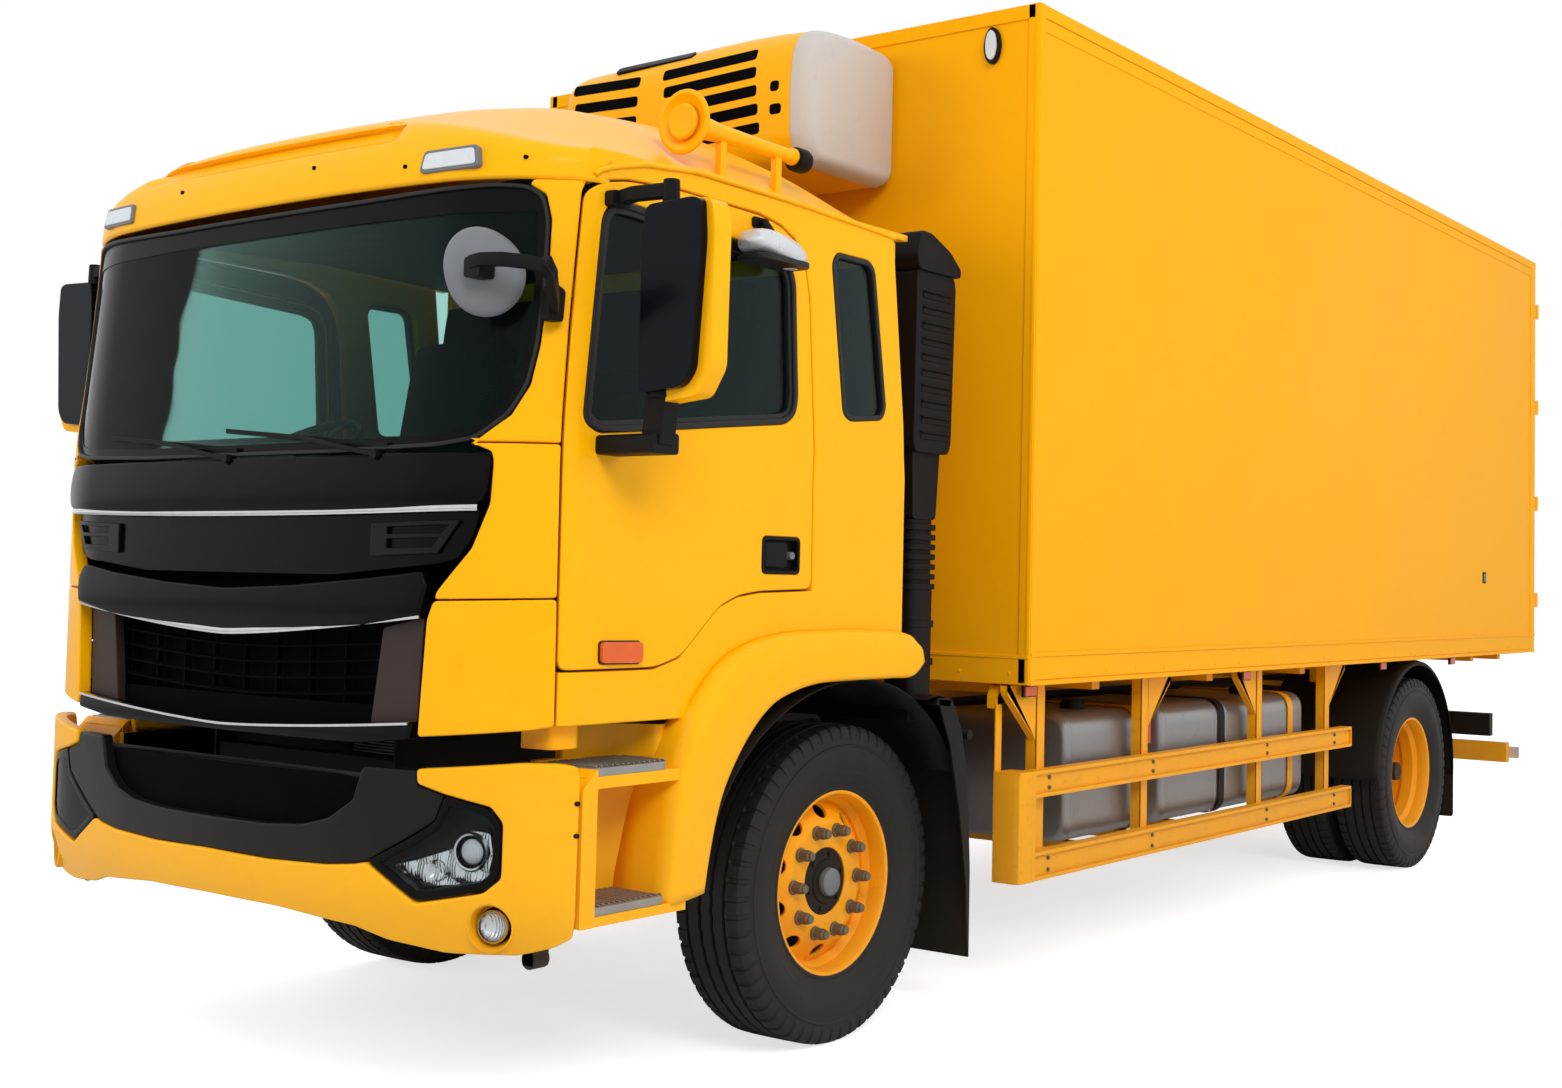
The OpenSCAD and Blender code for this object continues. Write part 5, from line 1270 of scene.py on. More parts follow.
for side, tag, flip in SIDES:
    panel("headlamp_bezel_" + tag, lamp_ring, bump, GLOSS_BLACK, "chassis", "black_gloss",
          holes=[inset(lamp_ring, 0.024)], t=0.075, r=0.006, depth=0.006, step=0.015, side=side,
          inside=behind, replaces=("headlamps",) if side > 0 else ())
    panel("headlamp_bowl_" + tag, inset(lamp_ring, 0.010), bump, GLOSS_BLACK, "chassis", "lamp", t=0.006,
          r=0.002, depth=0.072, step=0.02, side=side, inside=behind)
    panel("headlamp_reflector_" + tag, fillet([bump_x(x, z) for x, z in REFLECT], 0.012), bump, REFLECTOR,
          "chassis", "lamp", t=0.004, r=0.002, depth=0.052, step=0.008, side=side, inside=behind,
          holes=[circle(*bump_x(0.958, 0.757), 0.048)],
          bulge=lambda a, b: 0.007 * np.abs(np.sin(a * 60.0)) + 0.006 * np.abs(np.sin(b * 52.0 + a * 20.0)))
    panel("headlamp_cover_" + tag, inset(lamp_ring, 0.020), bump, LAMP_GLASS, "chassis", "lamp", t=0.003,
          r=0.001, depth=0.010, step=0.02, side=side, inside=behind)


def on_bump(x, z, d):
    s, _ = bump_x(x, z)
    p = bump(np.array([s]), np.array([z]))[0]
    q = bump(np.array([s + 1e-3]), np.array([z]))[0] - bump(np.array([s - 1e-3]), np.array([z]))[0]
    n = Vector((q[1], -q[0], 0)).normalized()
    return Vector((p[0] + n.x * d, p[1] + n.y * d, z)), n


g = Geo(CHROME)
for xf in both_sides():
    g.at(xf)
    p, n = on_bump(0.958, 0.757, -0.070)
    g.use(CHROME).lathe([(0.047, 0.0), (0.052, 0.0), (0.052, 0.036), (0.048, 0.040), (0.043, 0.038),
                         (0.045, 0.02)],
                        p, n, 40)
    g.use(BLACK_AND_PAINTED_SHADE).lathe([(0.044, 0.020), (0.044, 0.034), (0.034, 0.030), (0.033, 0.022)], p, n, 36)
    g.use(LENS).lathe([(0.034, 0.020), (0.033, 0.028), (0.026, 0.036), (0.014, 0.041), (TIP, 0.043)], p, n,
                      32,
                      closed=False)
    for x, z, r in ((0.742, 0.686, 0.016), (0.852, 0.700, 0.026)):
        p, n = on_bump(x, z, -0.056)
        g.use(CHROME).lathe([(r * 0.3, 0.0), (r, 0.016), (r * 1.12, 0.018), (r * 1.15, 0.0)], p, n, 28)
        g.use(LENS).lathe([(TIP, 0.014), (r * 0.34, 0.010), (r * 0.34, 0.0), (TIP, 0.0)], p, n, 20)
    p, n = on_bump(1.028, 0.568, -0.056)
    g.use(YELLOW).lathe([(TIP, 0.0), (0.064, 0.0), (0.064, 0.052), (0.0600, 0.054), (0.052, 0.014),
                         (TIP, 0.012)], p, n, 40, closed=False)
    g.use(CHROME).lathe([(0.036, 0.012), (0.0435, 0.014), (0.0435, 0.036), (0.039, 0.040)], p, n, 40)
    g.use(REFLECTOR).lathe([(0.038, 0.036), (0.026, 0.024), (0.010, 0.018), (TIP, 0.017)], p, n, 36,
                           closed=False)
    g.use(LAMP_GLASS).lathe([(0.0395, 0.036), (0.034, 0.042), (0.018, 0.047), (TIP, 0.048)], p, n, 32,
                            closed=False)
    g.use(BLACK_AND_PAINTED_SHADE).lathe([(0.0435, 0.012), (0.0475, 0.012), (0.0475, 0.020), (0.0435, 0.022)], p, n, 40)
g.make("lamp_units", "chassis", "lamp", angle=40)
# Curved sheet behind the bumper, below the tilting cab
SWEEP = 0.392
shroud = []
for k in range(9):
    a = math.radians(221 + 5 * k)
    shroud.append((-1.25 + SWEEP * math.cos(a), 1.2 + SWEEP * math.sin(a)))
g = Geo(BLACK)
g.prism(shroud + [(y, z - 0.012) for y, z in reversed(shroud)], "x", -0.60, 0.60)
for xf in both_sides():
    g.at(xf)
    g.box((0.365, -1.545, 0.585), (0.415, -1.30, 0.635))
    g.box((0.365, -1.36, 0.585), (0.415, -1.30, 0.83))
    g.use(STEEL).box((1.018, -1.345, 0.452), (1.062, -1.29, 0.60))
    g.rod((1.04, -1.345, 0.47), (1.04, -1.29, 0.47), 0.026, 0.026, 20)
    g.use(BLACK)
g.make("bumper_backing", "chassis", "black_plastic", bevel=0.003)
g = Geo(BLACK)
for xf in both_sides():
    g.at(xf)
    for z in (0.892, 0.809):
        g.rod((1.188, -1.338, z), (1.2025, -1.336, z), 0.0075, 0.006, 12)
g.make("bumper_screws", "chassis", "black_plastic")

# ---------------------------------------------------------------- fenders and steps
OUT = [(-0.992, 0.575), (-0.975, 0.72), (-0.955, 0.88), (-0.93, 0.99), (-0.895, 1.075), (-0.84, 1.150),
       (-0.775, 1.215), (-0.699, 1.264), (-0.60, 1.298), (-0.50, 1.317), (-0.40, 1.326), (-0.2, 1.330),
       (-0.061, 1.330), (0.1, 1.325), (0.19, 1.314), (0.235, 1.285)]
IN = [(-0.818, 0.600), (-0.803, 0.68), (-0.778, 0.78), (-0.745, 0.87), (-0.70, 0.945), (-0.64, 1.02),
      (-0.57, 1.085), (-0.50, 1.125), (-0.414, 1.150), (-0.35, 1.162), (-0.265, 1.170), (-0.1, 1.172),
      (0.0, 1.172), (0.1, 1.172), (0.197, 1.174), (0.255, 1.215)]


def lofted(name, rows, mat, body, side=1, thick=0.006, replaces=(), offset=-1.0):
    k = len(rows[0])
    verts = [tuple(p) for row in rows for p in row]
    faces = []
    for i in range(len(rows) - 1):
        for j in range(k - 1):
            faces.append((i * k + j, i * k + j + 1, (i + 1) * k + j + 1, (i + 1) * k + j))
    if side < 0:
        faces = [f[::-1] for f in faces]
    me = bpy.data.meshes.new(name)
    me.from_pydata([(x * side, y + AXLE_Y, z) for x, y, z in verts], [], faces)
    me.materials.append(mat)
    me.update()
    me.shade_smooth()
    me.set_sharp_from_angle(angle=math.radians(55))
    thickened(on_body(name, me, body, replaces), thick, offset)


def fender(side, tag):
    """Step fender: rows from its outer outline to the wheel opening, with a flatter leg in front."""
    n = 56
    a, b = (curve[np.linspace(0, len(curve) - 1, n).round().astype(int)]
            for curve, _ in (spline(OUT, 12, False), spline(IN, 12, False)))
    rows = []
    for i in range(n):
        u = i / (n - 1)
        leg = 1 - min(1.0, max(0.0, (u - 0.18) / 0.14))
        leg = leg * leg * (3 - 2 * leg)
        x0 = 1.149 - 0.149 * leg
        row = []
        for t, x in ((-0.02, x0), (0.0, x0 + 0.35 * (1.195 - x0)), (0.03, x0 + 0.72 * (1.195 - x0)),
                     (0.09, 1.186), (0.18, 1.1945), (0.32, 1.1985), (0.5, 1.2), (0.72, 1.2), (0.88, 1.1995),
                     (0.95, 1.197), (0.985, 1.191), (1.0, 1.182)):
            p = a[i] + (b[i] - a[i]) * t
            row.append((x, p[0], p[1]))
        for x in (1.15, 1.09):
            row.append((x, b[i][0], b[i][1]))
        rows.append(row)
    lofted("fender_" + tag, rows, YELLOW, "chassis", side=side,
           replaces=("step_fenders",) if side > 0 else ())


def wheel_liner(side, tag):
    rows = []
    for k in range(33):
        a = math.radians(-12 + 190 * k / 32)
        r = 0.655 + 0.10 * max(0.0, math.cos(math.pi - a)) ** 2
        y = r * math.cos(a)
        z = WHEEL_Z + r * math.sin(a)
        y = min(y, 0.60)
        rows.append([(x, y, z) for x in (0.62, 0.8, 0.98, 1.12)])
    rows = [row for row in rows if row[0][2] > 0.60]
    lofted("wheel_liner_" + tag, rows, BLACK, "chassis", side=side, thick=0.005)


for side, tag, flip in SIDES:
    fender(side, tag)
    wheel_liner(side, tag)

STEP_TOP = 0.985
g = Geo(YELLOW)
for xf in both_sides():
    g.at(xf)
    # Strip beside the bumper, then the floor, the shelf and the back wall of the step recess
    # The tops are cut back at 45 degrees, clear of the skirt of the tilted cab
    g.prism(fillet([(-1.318, 0.562), (-1.262, 0.562), (-1.262, STEP_TOP - 0.006), (-1.318, STEP_TOP - 0.062)],
                   0.01), "x", 0.955, 1.197)
    g.box((0.95, -1.29, 0.562), (1.193, -0.90, 0.588))
    g.box((0.95, -1.29, 0.922), (1.186, -0.93, 0.955))
    recess = [(0.93, -1.30), (0.965, -1.30), (0.958, -1.12), (0.968, -1.02), (1.03, -0.955), (1.10, -0.925),
              (1.10, -0.88), (0.93, -0.88)]
    for start, z0, z1 in ((-1.30, 0.585, 0.935), (-1.260, 0.93, STEP_TOP - 0.004), (-1.168, 0.975, 1.07)):
        wall = [(0.93, start), (0.965, start)] + recess[2:]
        g.prism(fillet(wall, 0.05, 7), "z", z0, z1)
    # Near-black sheet at the inner end of the step recess: painted shade.
    g.use(BLACK_AND_PAINTED_SHADE).box((0.912, -1.30, 0.565), (0.928, -0.88, 0.935)).use(YELLOW)
g.make("step_wells", "chassis", "yellow_paint", bevel=0.008, segments=3)
g = Geo(YELLOW)
for xf in both_sides():
    g.at(xf)
    g.prism(fillet([(0.978, -1.345), (1.095, -1.335), (1.105, -1.27), (1.095, -1.235), (0.978, -1.235)],
                   0.02), "z",
            1.022, 1.10)
    # Near-black sheet on the inner side of the corner return: painted shade.
    g.use(BLACK_AND_PAINTED_SHADE).box((0.970, -1.34, 1.022), (0.977, -1.24, 1.10)).use(YELLOW)
g.make("corner_returns", "cab", "yellow_paint", bevel=0.006)
g = Geo(TREAD)
for xf in both_sides():
    g.at(xf)
    for z in (0.588, 0.955):
        g.prism(fillet([(0.975, -1.262), (1.183, -1.262), (1.188, -1.25), (1.188, -0.99), (1.15, -0.958),
                        (0.975, -0.958)], 0.012), "z", z, z + 0.022)
        for k in range(14):
            y = -1.245 + 0.0205 * k
            g.box((0.99, y, z + 0.022), (1.17, y + 0.008, z + 0.0265))
g.make("step_treads", "chassis", "alloy", bevel=0.002)

# ---------------------------------------------------------------- mirrors
mirror_high = near("mirror_left")[1]
for side, tag, flip in SIDES:
    door_body = "cab_door_" + tag
    out_x = mirror_high.x if side > 0 else -near("mirror_right")[0].x
    g = Geo(NAVY).at(flip)
    # Housing: dark front shell, with a painted shell round its outer and lower sides
    front = fillet([(out_x - 0.232, 1.965), (out_x - 0.085, 1.978), (out_x - 0.050, 2.02),
                    (out_x - 0.026, 2.36),
                    (out_x - 0.034, 2.462), (out_x - 0.06, 2.472), (out_x - 0.225, 2.466),
                    (out_x - 0.238, 2.35)],
                   0.026, 6)
    g.prism(front, "y", -1.258, -1.19)
    shell = fillet([(out_x - 0.20, 1.940), (out_x - 0.05, 1.955), (out_x - 0.004, 2.03), (out_x, 2.40),
                    (out_x - 0.014, 2.466), (out_x - 0.06, 2.474), (out_x - 0.06, 2.36), (out_x - 0.08, 2.05),
                    (out_x - 0.11, 1.99), (out_x - 0.20, 1.985)], 0.018, 5)
    g.use(YELLOW).prism(shell, "y", -1.232, -1.168)
    g.use(BLACK)
    g.prism(fillet([(out_x - 0.228, 1.972), (out_x - 0.06, 1.978), (out_x - 0.030, 2.06),
                    (out_x - 0.024, 2.38),
                    (out_x - 0.05, 2.458), (out_x - 0.22, 2.455)], 0.028, 6), "y", -1.192, -1.160)
    g.use(MIRROR)
    g.prism(fillet([(out_x - 0.215, 2.135), (out_x - 0.05, 2.135), (out_x - 0.05, 2.44),
                    (out_x - 0.21, 2.44)],
                   0.02, 5), "y", -1.162, -1.156)
    g.prism(fillet([(out_x - 0.21, 1.995), (out_x - 0.075, 1.995), (out_x - 0.052, 2.06),
                    (out_x - 0.052, 2.115),
                    (out_x - 0.215, 2.115)], 0.016, 5), "y", -1.162, -1.156)
    g.use(BLACK)
    # Upper arm with its joint, and its foot on the door frame
    g.sweep([(1.150, -1.215, 2.502), (1.22, -1.213, 2.512), (out_x - 0.165, -1.212, 2.508)],
            [(-0.018, -0.020), (0.018, -0.020), (0.018, 0.016), (0.0, 0.022), (-0.018, 0.016)])
    g.rod((out_x - 0.175, -1.212, 2.458), (out_x - 0.175, -1.212, 2.536), 0.024, 0.022, 20)
    g.prism(fillet([(-1.252, 2.478), (-1.175, 2.484), (-1.175, 2.528), (-1.252, 2.522)], 0.012), "x", 1.148,
            1.18)
    # Lower arm: block on the door, stem up to the housing
    g.prism(fillet([(-1.262, 1.808), (-1.155, 1.808), (-1.155, 1.866), (-1.262, 1.860)], 0.014), "x", 1.149,
            out_x - 0.175)
    g.sweep([(out_x - 0.205, -1.208, 1.835), (out_x - 0.200, -1.207, 1.88), (out_x - 0.190, -1.206, 1.985)],
            [(-0.034, -0.030), (0.034, -0.030), (0.034, 0.030), (-0.034, 0.030)], up=Y_AXIS)
    g.rod((out_x - 0.19, -1.205, 1.955), (out_x - 0.19, -1.205, 1.98), 0.045, 0.042, 24)
    g.make("mirror_assembly_" + tag, door_body, "black_gloss", bevel=0.006, segments=3,
           replaces=("mirror_" + tag,))

# Kerb mirror over the passenger's door window: bright shell, and below it a mirror face in near-black rubber
# colour, a painted dark reflection in place of mirror glass
kerb = Vector((1.215, -0.605, 2.448))
g = Geo(SILVER)
verts, faces = [], []
ring_n, ring_m = 28, 16
for i in range(ring_m + 1):
    v = -1 + 2 * i / ring_m
    wide = (1 - abs(v) ** 2.6) ** 0.42
    drop = 0.018 * v
    for j in range(ring_n):
        t = 2 * math.pi * j / ring_n
        c, h = math.cos(t), math.sin(t)
        out = 0.068 * wide * math.copysign(abs(c) ** 0.8, c)
        up = (0.056 if h > 0 else 0.030) * wide * math.copysign(abs(h) ** 0.8, h)
        verts.append((kerb.x + out * (1.0 - 0.12 * v), kerb.y + 0.132 * v, kerb.z + up - drop))
for i in range(ring_m):
    for j in range(ring_n):
        k = (j + 1) % ring_n
        faces.append((i * ring_n + j, i * ring_n + k, (i + 1) * ring_n + k, (i + 1) * ring_n + j))
g.add(verts, faces)
# Mirror face: near-black rubber colour, a painted dark reflection.
g.use(SEAL).prism(fillet([(kerb.x - 0.060, kerb.y - 0.118), (kerb.x + 0.066, kerb.y - 0.118),
                          (kerb.x + 0.058, kerb.y + 0.118), (kerb.x - 0.056, kerb.y + 0.118)], 0.04, 7), "z",
                  kerb.z - 0.036, kerb.z - 0.018)
g.use(BLACK).tube([(1.148, -0.60, 2.545), (1.17, -0.60, 2.545), (1.195, -0.60, 2.515), (1.205, -0.60, 2.49)],
                  0.013, 12)
g.prism(plate(-0.635, 2.528, -0.565, 2.56, 0.01), "x", 1.148, 1.162)
g.make("kerb_mirror", "cab_door_left", "black_gloss", bevel=0.003)

# Front mirror: shallow drop-shaped shell, turned to the side, with its arm in front
g = Geo(MIRROR_GREY)
turn = Matrix.Translation((0.985, -1.515, 2.268)) @ Matrix.Rotation(math.radians(44), 4, "Z")
rings = [(0.0, 0.032), (0.035, 0.031), (0.070, 0.025), (0.095, 0.014), (0.108, 0.002), (0.112, -0.008),
         (0.110, -0.014), (0.102, -0.014), (0.0, -0.014)]
ring_n = 48
verts, faces = [], []
for r, d in rings:
    for j in range(ring_n):
        t = 2 * math.pi * j / ring_n
        pull = 1 + 0.22 * max(0.0, math.cos(t - math.radians(128))) ** 3
        verts.append((r * 0.92 * math.cos(t) * pull, -d, r * 1.0 * math.sin(t) * pull))
for i in range(len(rings) - 1):
    for j in range(ring_n):
        k = (j + 1) % ring_n
        faces.append((i * ring_n + k, i * ring_n + j, (i + 1) * ring_n + j, (i + 1) * ring_n + k))
g.at(turn).add(verts, faces)
g.use(MIRROR).lathe([(TIP, 0.016), (0.098, 0.016), (0.100, 0.014), (TIP, 0.013)], (0, 0, 0), Y_AXIS, 40)
g.use(BLACK).at()
g.prism(fillet([(0.985, 2.248), (1.045, 2.246), (1.045, 2.300), (0.985, 2.302)], 0.012), "y", -1.592, -1.538)
arm = [(1.005, -1.585, 2.288), (1.05, -1.588, 2.292), (1.11, -1.572, 2.290), (1.165, -1.535, 2.284),
       (1.185, -1.495, 2.272), (1.178, -1.458, 2.255)]
g.sweep(arm, [(-0.010, -0.020), (0.010, -0.018), (0.013, 0.0), (0.010, 0.016), (-0.010, 0.018),
              (-0.012, 0.0)])
foot = [(1.186, -1.500, 2.292), (1.180, -1.470, 2.262), (1.150, -1.430, 2.215), (1.118, -1.395, 2.185)]
g.sweep(foot, [(-0.012, -0.022), (0.012, -0.022), (0.014, 0.016), (-0.014, 0.016)])
g.prism(fillet([(-1.425, 2.150), (-1.372, 2.150), (-1.365, 2.235), (-1.40, 2.25), (-1.43, 2.23)], 0.012), "x",
        1.098, 1.130)
g.make("front_mirror_shell", "cab", "black_gloss", bevel=0.003, replaces=("front_mirror",))

# ---------------------------------------------------------------- door hardware, lamps, wipers
for side, tag, flip in SIDES:
    g = Geo(BLACK).at(flip)
    g.prism(plate(-0.543, 1.505, -0.371, 1.609, 0.016), "x", 1.118, 1.128)
    rim_out = plate(-0.547, 1.501, -0.367, 1.613, 0.018)
    rim_in = plate(-0.537, 1.511, -0.377, 1.603, 0.014)
    k = len(rim_out)
    verts = [(x, p[0], p[1]) for x, ring in ((1.152, rim_out), (1.152, rim_in), (1.124, rim_in),
                                             (1.124, rim_out))
             for p in ring]
    faces = []
    for a in range(4):
        for i in range(k):
            j = (i + 1) % k
            b = (a + 1) % 4
            faces.append((a * k + i, a * k + j, b * k + j, b * k + i))
    g.add(verts, faces)
    g.prism(plate(-0.53, 1.522, -0.428, 1.596, 0.01), "x", 1.126, 1.149)
    g.use(GREY).rod((1.124, -0.402, 1.557), (1.150, -0.402, 1.557), 0.0125, 0.0115, 24)
    g.make("door_handle_" + tag, "cab_door_" + tag, "black_plastic", bevel=0.002)
    g = Geo(AMBER).at(flip)
    g.prism(fillet([(-1.226, 1.252), (-1.068, 1.249), (-1.068, 1.306), (-1.226, 1.308)], 0.014), "x", 1.15,
            1.166)
    g.use(SEAL).prism(fillet([(-1.230, 1.247), (-1.064, 1.245), (-1.064, 1.310), (-1.230, 1.312)], 0.016),
                      "x",
                      1.149, 1.154)
    g.make("side_lamp_" + tag, "cab_door_" + tag, "lamp", bevel=0.004)

g = Geo(BLACK)
for x0, x1, lift in ((0.62, 0.02, 0.10), (-0.02, -0.62, 0.10)):
    p = on_skin(x0, 1.80, 0.004)
    q = on_skin((x0 + x1) / 2, 1.80 + lift * 0.55, 0.016)
    e = on_skin(x1 * 0.96, 1.80 + lift, 0.016)
    g.tube([p, tuple((Vector(p) + Vector(q)) / 2 + Vector((0, -0.008, 0))), q], 0.0075, 8)
    m0 = on_skin((x0 + x1) / 2 + 0.34, 1.80 + lift * 0.28, -0.006)
    m1 = on_skin((x0 + x1) / 2 - 0.36, 1.80 + lift * 0.86, -0.006)
    mids = [tuple(Vector(m0).lerp(Vector(m1), k / 12)) for k in range(13)]
    mids = [on_skin(mx, mz, -0.007) for mx, _, mz in mids]
    g.sweep(mids, [(-0.004, -0.010), (0.004, -0.010), (0.007, 0.004), (-0.007, 0.004)])
    g.rod(on_skin(x0, 1.80, -0.02), on_skin(x0, 1.80, 0.012), 0.016, 0.013, 16)
g.make("wipers", "cab", "black_plastic", bevel=0.001)

# ---------------------------------------------------------------- horn, intake, cooling unit
g = Geo(YELLOW)
hz = (near("air_horn")[0].z + near("air_horn")[1].z) / 2 + 0.015
bell = [(TIP, 0.04), (0.030, 0.04), (0.038, 0.022), (0.058, 0.002), (0.078, -0.018), (0.096, -0.030),
        (0.100, -0.036), (0.098, -0.042), (0.086, -0.044), (0.078, -0.038), (0.050, -0.026), (TIP, -0.022)]
g.lathe(bell, (0.95, -0.685, hz), Y_AXIS, 48, closed=False)
g.lathe([(0.030, 0.012), (0.052, 0.006), (0.056, -0.006), (0.050, -0.012), (0.028, -0.010), (TIP, -0.008),
         (TIP, 0.012)], (0.95, -0.722, hz), Y_AXIS, 40)
g.lathe([(TIP, 0.0), (0.038, 0.0), (0.034, 0.05), (0.028, 0.12), (0.024, 0.30), (0.022, 0.46), (0.028, 0.462),
         (0.028, 0.478), (TIP, 0.478)], (0.95, -0.672, hz), Y_AXIS, 24, closed=False)
for y in (-0.55, -0.28):
    g.box((0.938, y - 0.014, 2.70), (0.962, y + 0.014, hz - 0.012))
g.use(BLACK)
g.lathe([(TIP, 0.0), (0.036, 0.0), (0.040, 0.01), (0.040, 0.05), (0.034, 0.065), (TIP, 0.068)],
        (0.95, -0.195, hz - 0.005), Y_AXIS, 32, closed=False)
g.make("horn_trumpet", "cab", "yellow_paint", bevel=0.002, replaces=("air_horn",))

intake_high = near("air_intake")[1]
g = Geo(BLACK)
ix0, ix1 = 0.93, intake_high.x
g.prism(fillet([(0.345, 1.93), (0.545, 1.93), (0.56, 1.97), (0.575, 2.52), (0.56, 2.56), (0.335, 2.56),
                (0.33, 1.96)], 0.02), "x", ix0, ix1 - 0.012)
g.prism(fillet([(0.33, 2.555), (0.585, 2.555), (0.59, 2.585), (0.52, 2.64), (0.40, 2.688), (0.335, 2.69),
                (0.315, 2.60)], 0.02), "x", ix0 - 0.005, ix1)
g.prism(fillet([(0.36, 1.70), (0.50, 1.70), (0.52, 1.94), (0.35, 1.94)], 0.02), "x", ix0 + 0.01, ix1 - 0.03)
g.prism(plate(ix0 + 0.02, 0.355, ix1 - 0.025, 0.495, 0.03),
        "z", 1.06, 1.47)
for k in range(7):
    z = 1.46 + 0.034 * k
    g.prism(plate(ix0 + 0.012, 0.345, ix1 - 0.018, 0.505, 0.035),
            "z", z, z + 0.02)
    g.prism(plate(ix0 + 0.024, 0.358, ix1 - 0.03, 0.492, 0.03),
            "z", z + 0.018, z + 0.036)
for z in (1.33, 1.20):
    g.prism(plate(ix0 + 0.014, 0.349, ix1 - 0.019, 0.501, 0.032),
            "z", z, z + 0.024)
g.box((0.37, 0.37, 1.01), (ix1 - 0.04, 0.46, 1.06))
g.rod((ix0 + 0.09, 0.535, 1.935), (ix0 + 0.09, 0.535, 1.88), 0.022, 0.012, 16)
for k in range(10):
    z = 1.975 + 0.054 * k
    g.prism([(0.372, z), (0.548, z), (0.548, z + 0.030), (0.372, z + 0.030)], "x", ix1 - 0.016, ix1 - 0.009)
    rot = Matrix.Translation((ix1 - 0.006, 0.46, z + 0.022)) @ Matrix.Rotation(math.radians(-28), 4, "Y")
    g.at(rot).box((-0.016, -0.088, -0.0025), (0.006, 0.088, 0.0025)).at()
g.make("intake_stack", "chassis", "black_plastic", bevel=0.004, replaces=("air_intake",))

fl, fh = near("fridge_unit")
UNIT_X = fh.x - 0.012
profile = [(0.838, fl.z), (0.36, fl.z), (0.315, fl.z + 0.03), (0.289, fl.z + 0.09), (0.283, fl.z + 0.25),
           (0.293, fl.z + 0.38), (0.315, fl.z + 0.45), (0.365, fl.z + 0.502), (0.45, fl.z + 0.528),
           (0.60, fl.z + 0.540), (0.79, fl.z + 0.530), (0.838, fl.z + 0.50)]
unit_line = np.array(fillet(profile, 0.05, 5))
unit_mid = np.array([0.60, fl.z + 0.27])


def unit_shell(name, stations, mat, slot, replaces=()):
    """Length of the cooling unit's body: each station is x, an inset and a lowering of the crown."""
    geo = Geo(mat)
    m = len(unit_line)
    verts = []
    for x, shrink, sag in stations:
        k = 1 - shrink / 0.3
        for p in unit_line:
            y, z = unit_mid + (p - unit_mid) * k
            verts.append((x, y, z - sag * max(0.0, (p[1] - unit_mid[1]) / 0.27) ** 2))
    rows = len(stations)
    faces = [(i * m + (j + 1) % m, i * m + j, (i + 1) * m + j, (i + 1) * m + (j + 1) % m)
             for i in range(rows - 1) for j in range(m)]
    faces += [tuple(range(m)), tuple((rows - 1) * m + j for j in range(m - 1, -1, -1))]
    geo.add(verts, faces)
    return geo.make(name, "chassis", slot, angle=40, replaces=replaces)


unit_shell("cooling_cover", [
    (-UNIT_X, 0.045, 0.035), (-UNIT_X + 0.006, 0.028, 0.035), (-UNIT_X + 0.02, 0.012, 0.035),
    (-UNIT_X + 0.05, 0.003, 0.034), (-UNIT_X + 0.09, 0.0, 0.03), (-0.3, 0.0, 0.022), (-0.1, 0.0, 0.012),
    (0.1, 0.0, 0.004), (0.3, 0.0, 0.0), (0.42, 0.0, 0.003), (UNIT_X - 0.075, 0.001, 0.012),
], YELLOW, "yellow_paint")
unit_shell("cooling_end_cap", [
    (UNIT_X - 0.073, 0.0, 0.012), (UNIT_X - 0.06, -0.001, 0.014), (UNIT_X - 0.035, 0.004, 0.018),
    (UNIT_X - 0.012, 0.014, 0.022), (UNIT_X + 0.002, 0.028, 0.024), (UNIT_X + 0.008, 0.045, 0.024),
], WHITE, "grey_plastic", replaces=("fridge_unit",))
front_line = unit_line[unit_line[:, 0] < 0.47]
front_line = front_line[np.argsort(front_line[:, 1])]


def unit_face(a, b):
    """Front of the cooling unit's cover: a is x, b is z."""
    y = np.interp(b, front_line[:, 1], front_line[:, 0])
    return np.stack([a, y + 0 * a, b], 1)


def slot_panel(name, x0, x1, z0, z1, skew=0.0, mat=BLACK_AND_PAINTED_SHADE):
    ring = fillet([(x0, z0), (x1, z0 + skew), (x1, z1 + skew), (x0, z1)], 0.014)
    return panel(name, ring, unit_face, mat, "chassis", "black_plastic", t=0.012, r=0.003,
                 depth=-0.003, step=0.03, inside=(0, 0.7, 3.2))


# The slots and vents on the front of the cooling unit are near-black sheets, not openings: painted shade.
SLOT_PITCH = 0.070
SLOT_H = 0.042
for i in range(5):
    z = fl.z + 0.405 - SLOT_PITCH * i
    slot_panel(f"cooling_slot_right_{i}", -0.085 + 0.014 * i, 0.372 + 0.008 * i, z - SLOT_H / 2,
               z + SLOT_H / 2, 0.016)
    z = fl.z + 0.412 - 0.078 * i
    slot_panel(f"cooling_slot_left_{i}", -0.560 + 0.02 * i, -0.205, z - SLOT_H / 2, z + SLOT_H / 2, -0.012)
slot_panel("cooling_strip", -0.36, 0.03, fl.z + 0.458, fl.z + 0.486, 0.010, GLOSS_BLACK)
for i in range(2):
    z = fl.z + 0.20 + 0.085 * i
    slot_panel(f"cooling_vent_{i}", 0.452, 0.492 + 0.012 * (1 - i), z - 0.019, z + 0.019)
g = Geo(WHITE)
g.box((-0.48, 0.925, 3.02), (0.48, 1.42, 3.30))
g.prism([(0.92, 2.99), (1.44, 3.05), (1.47, 3.30), (0.92, 3.38)], "x", -0.46, 0.46)
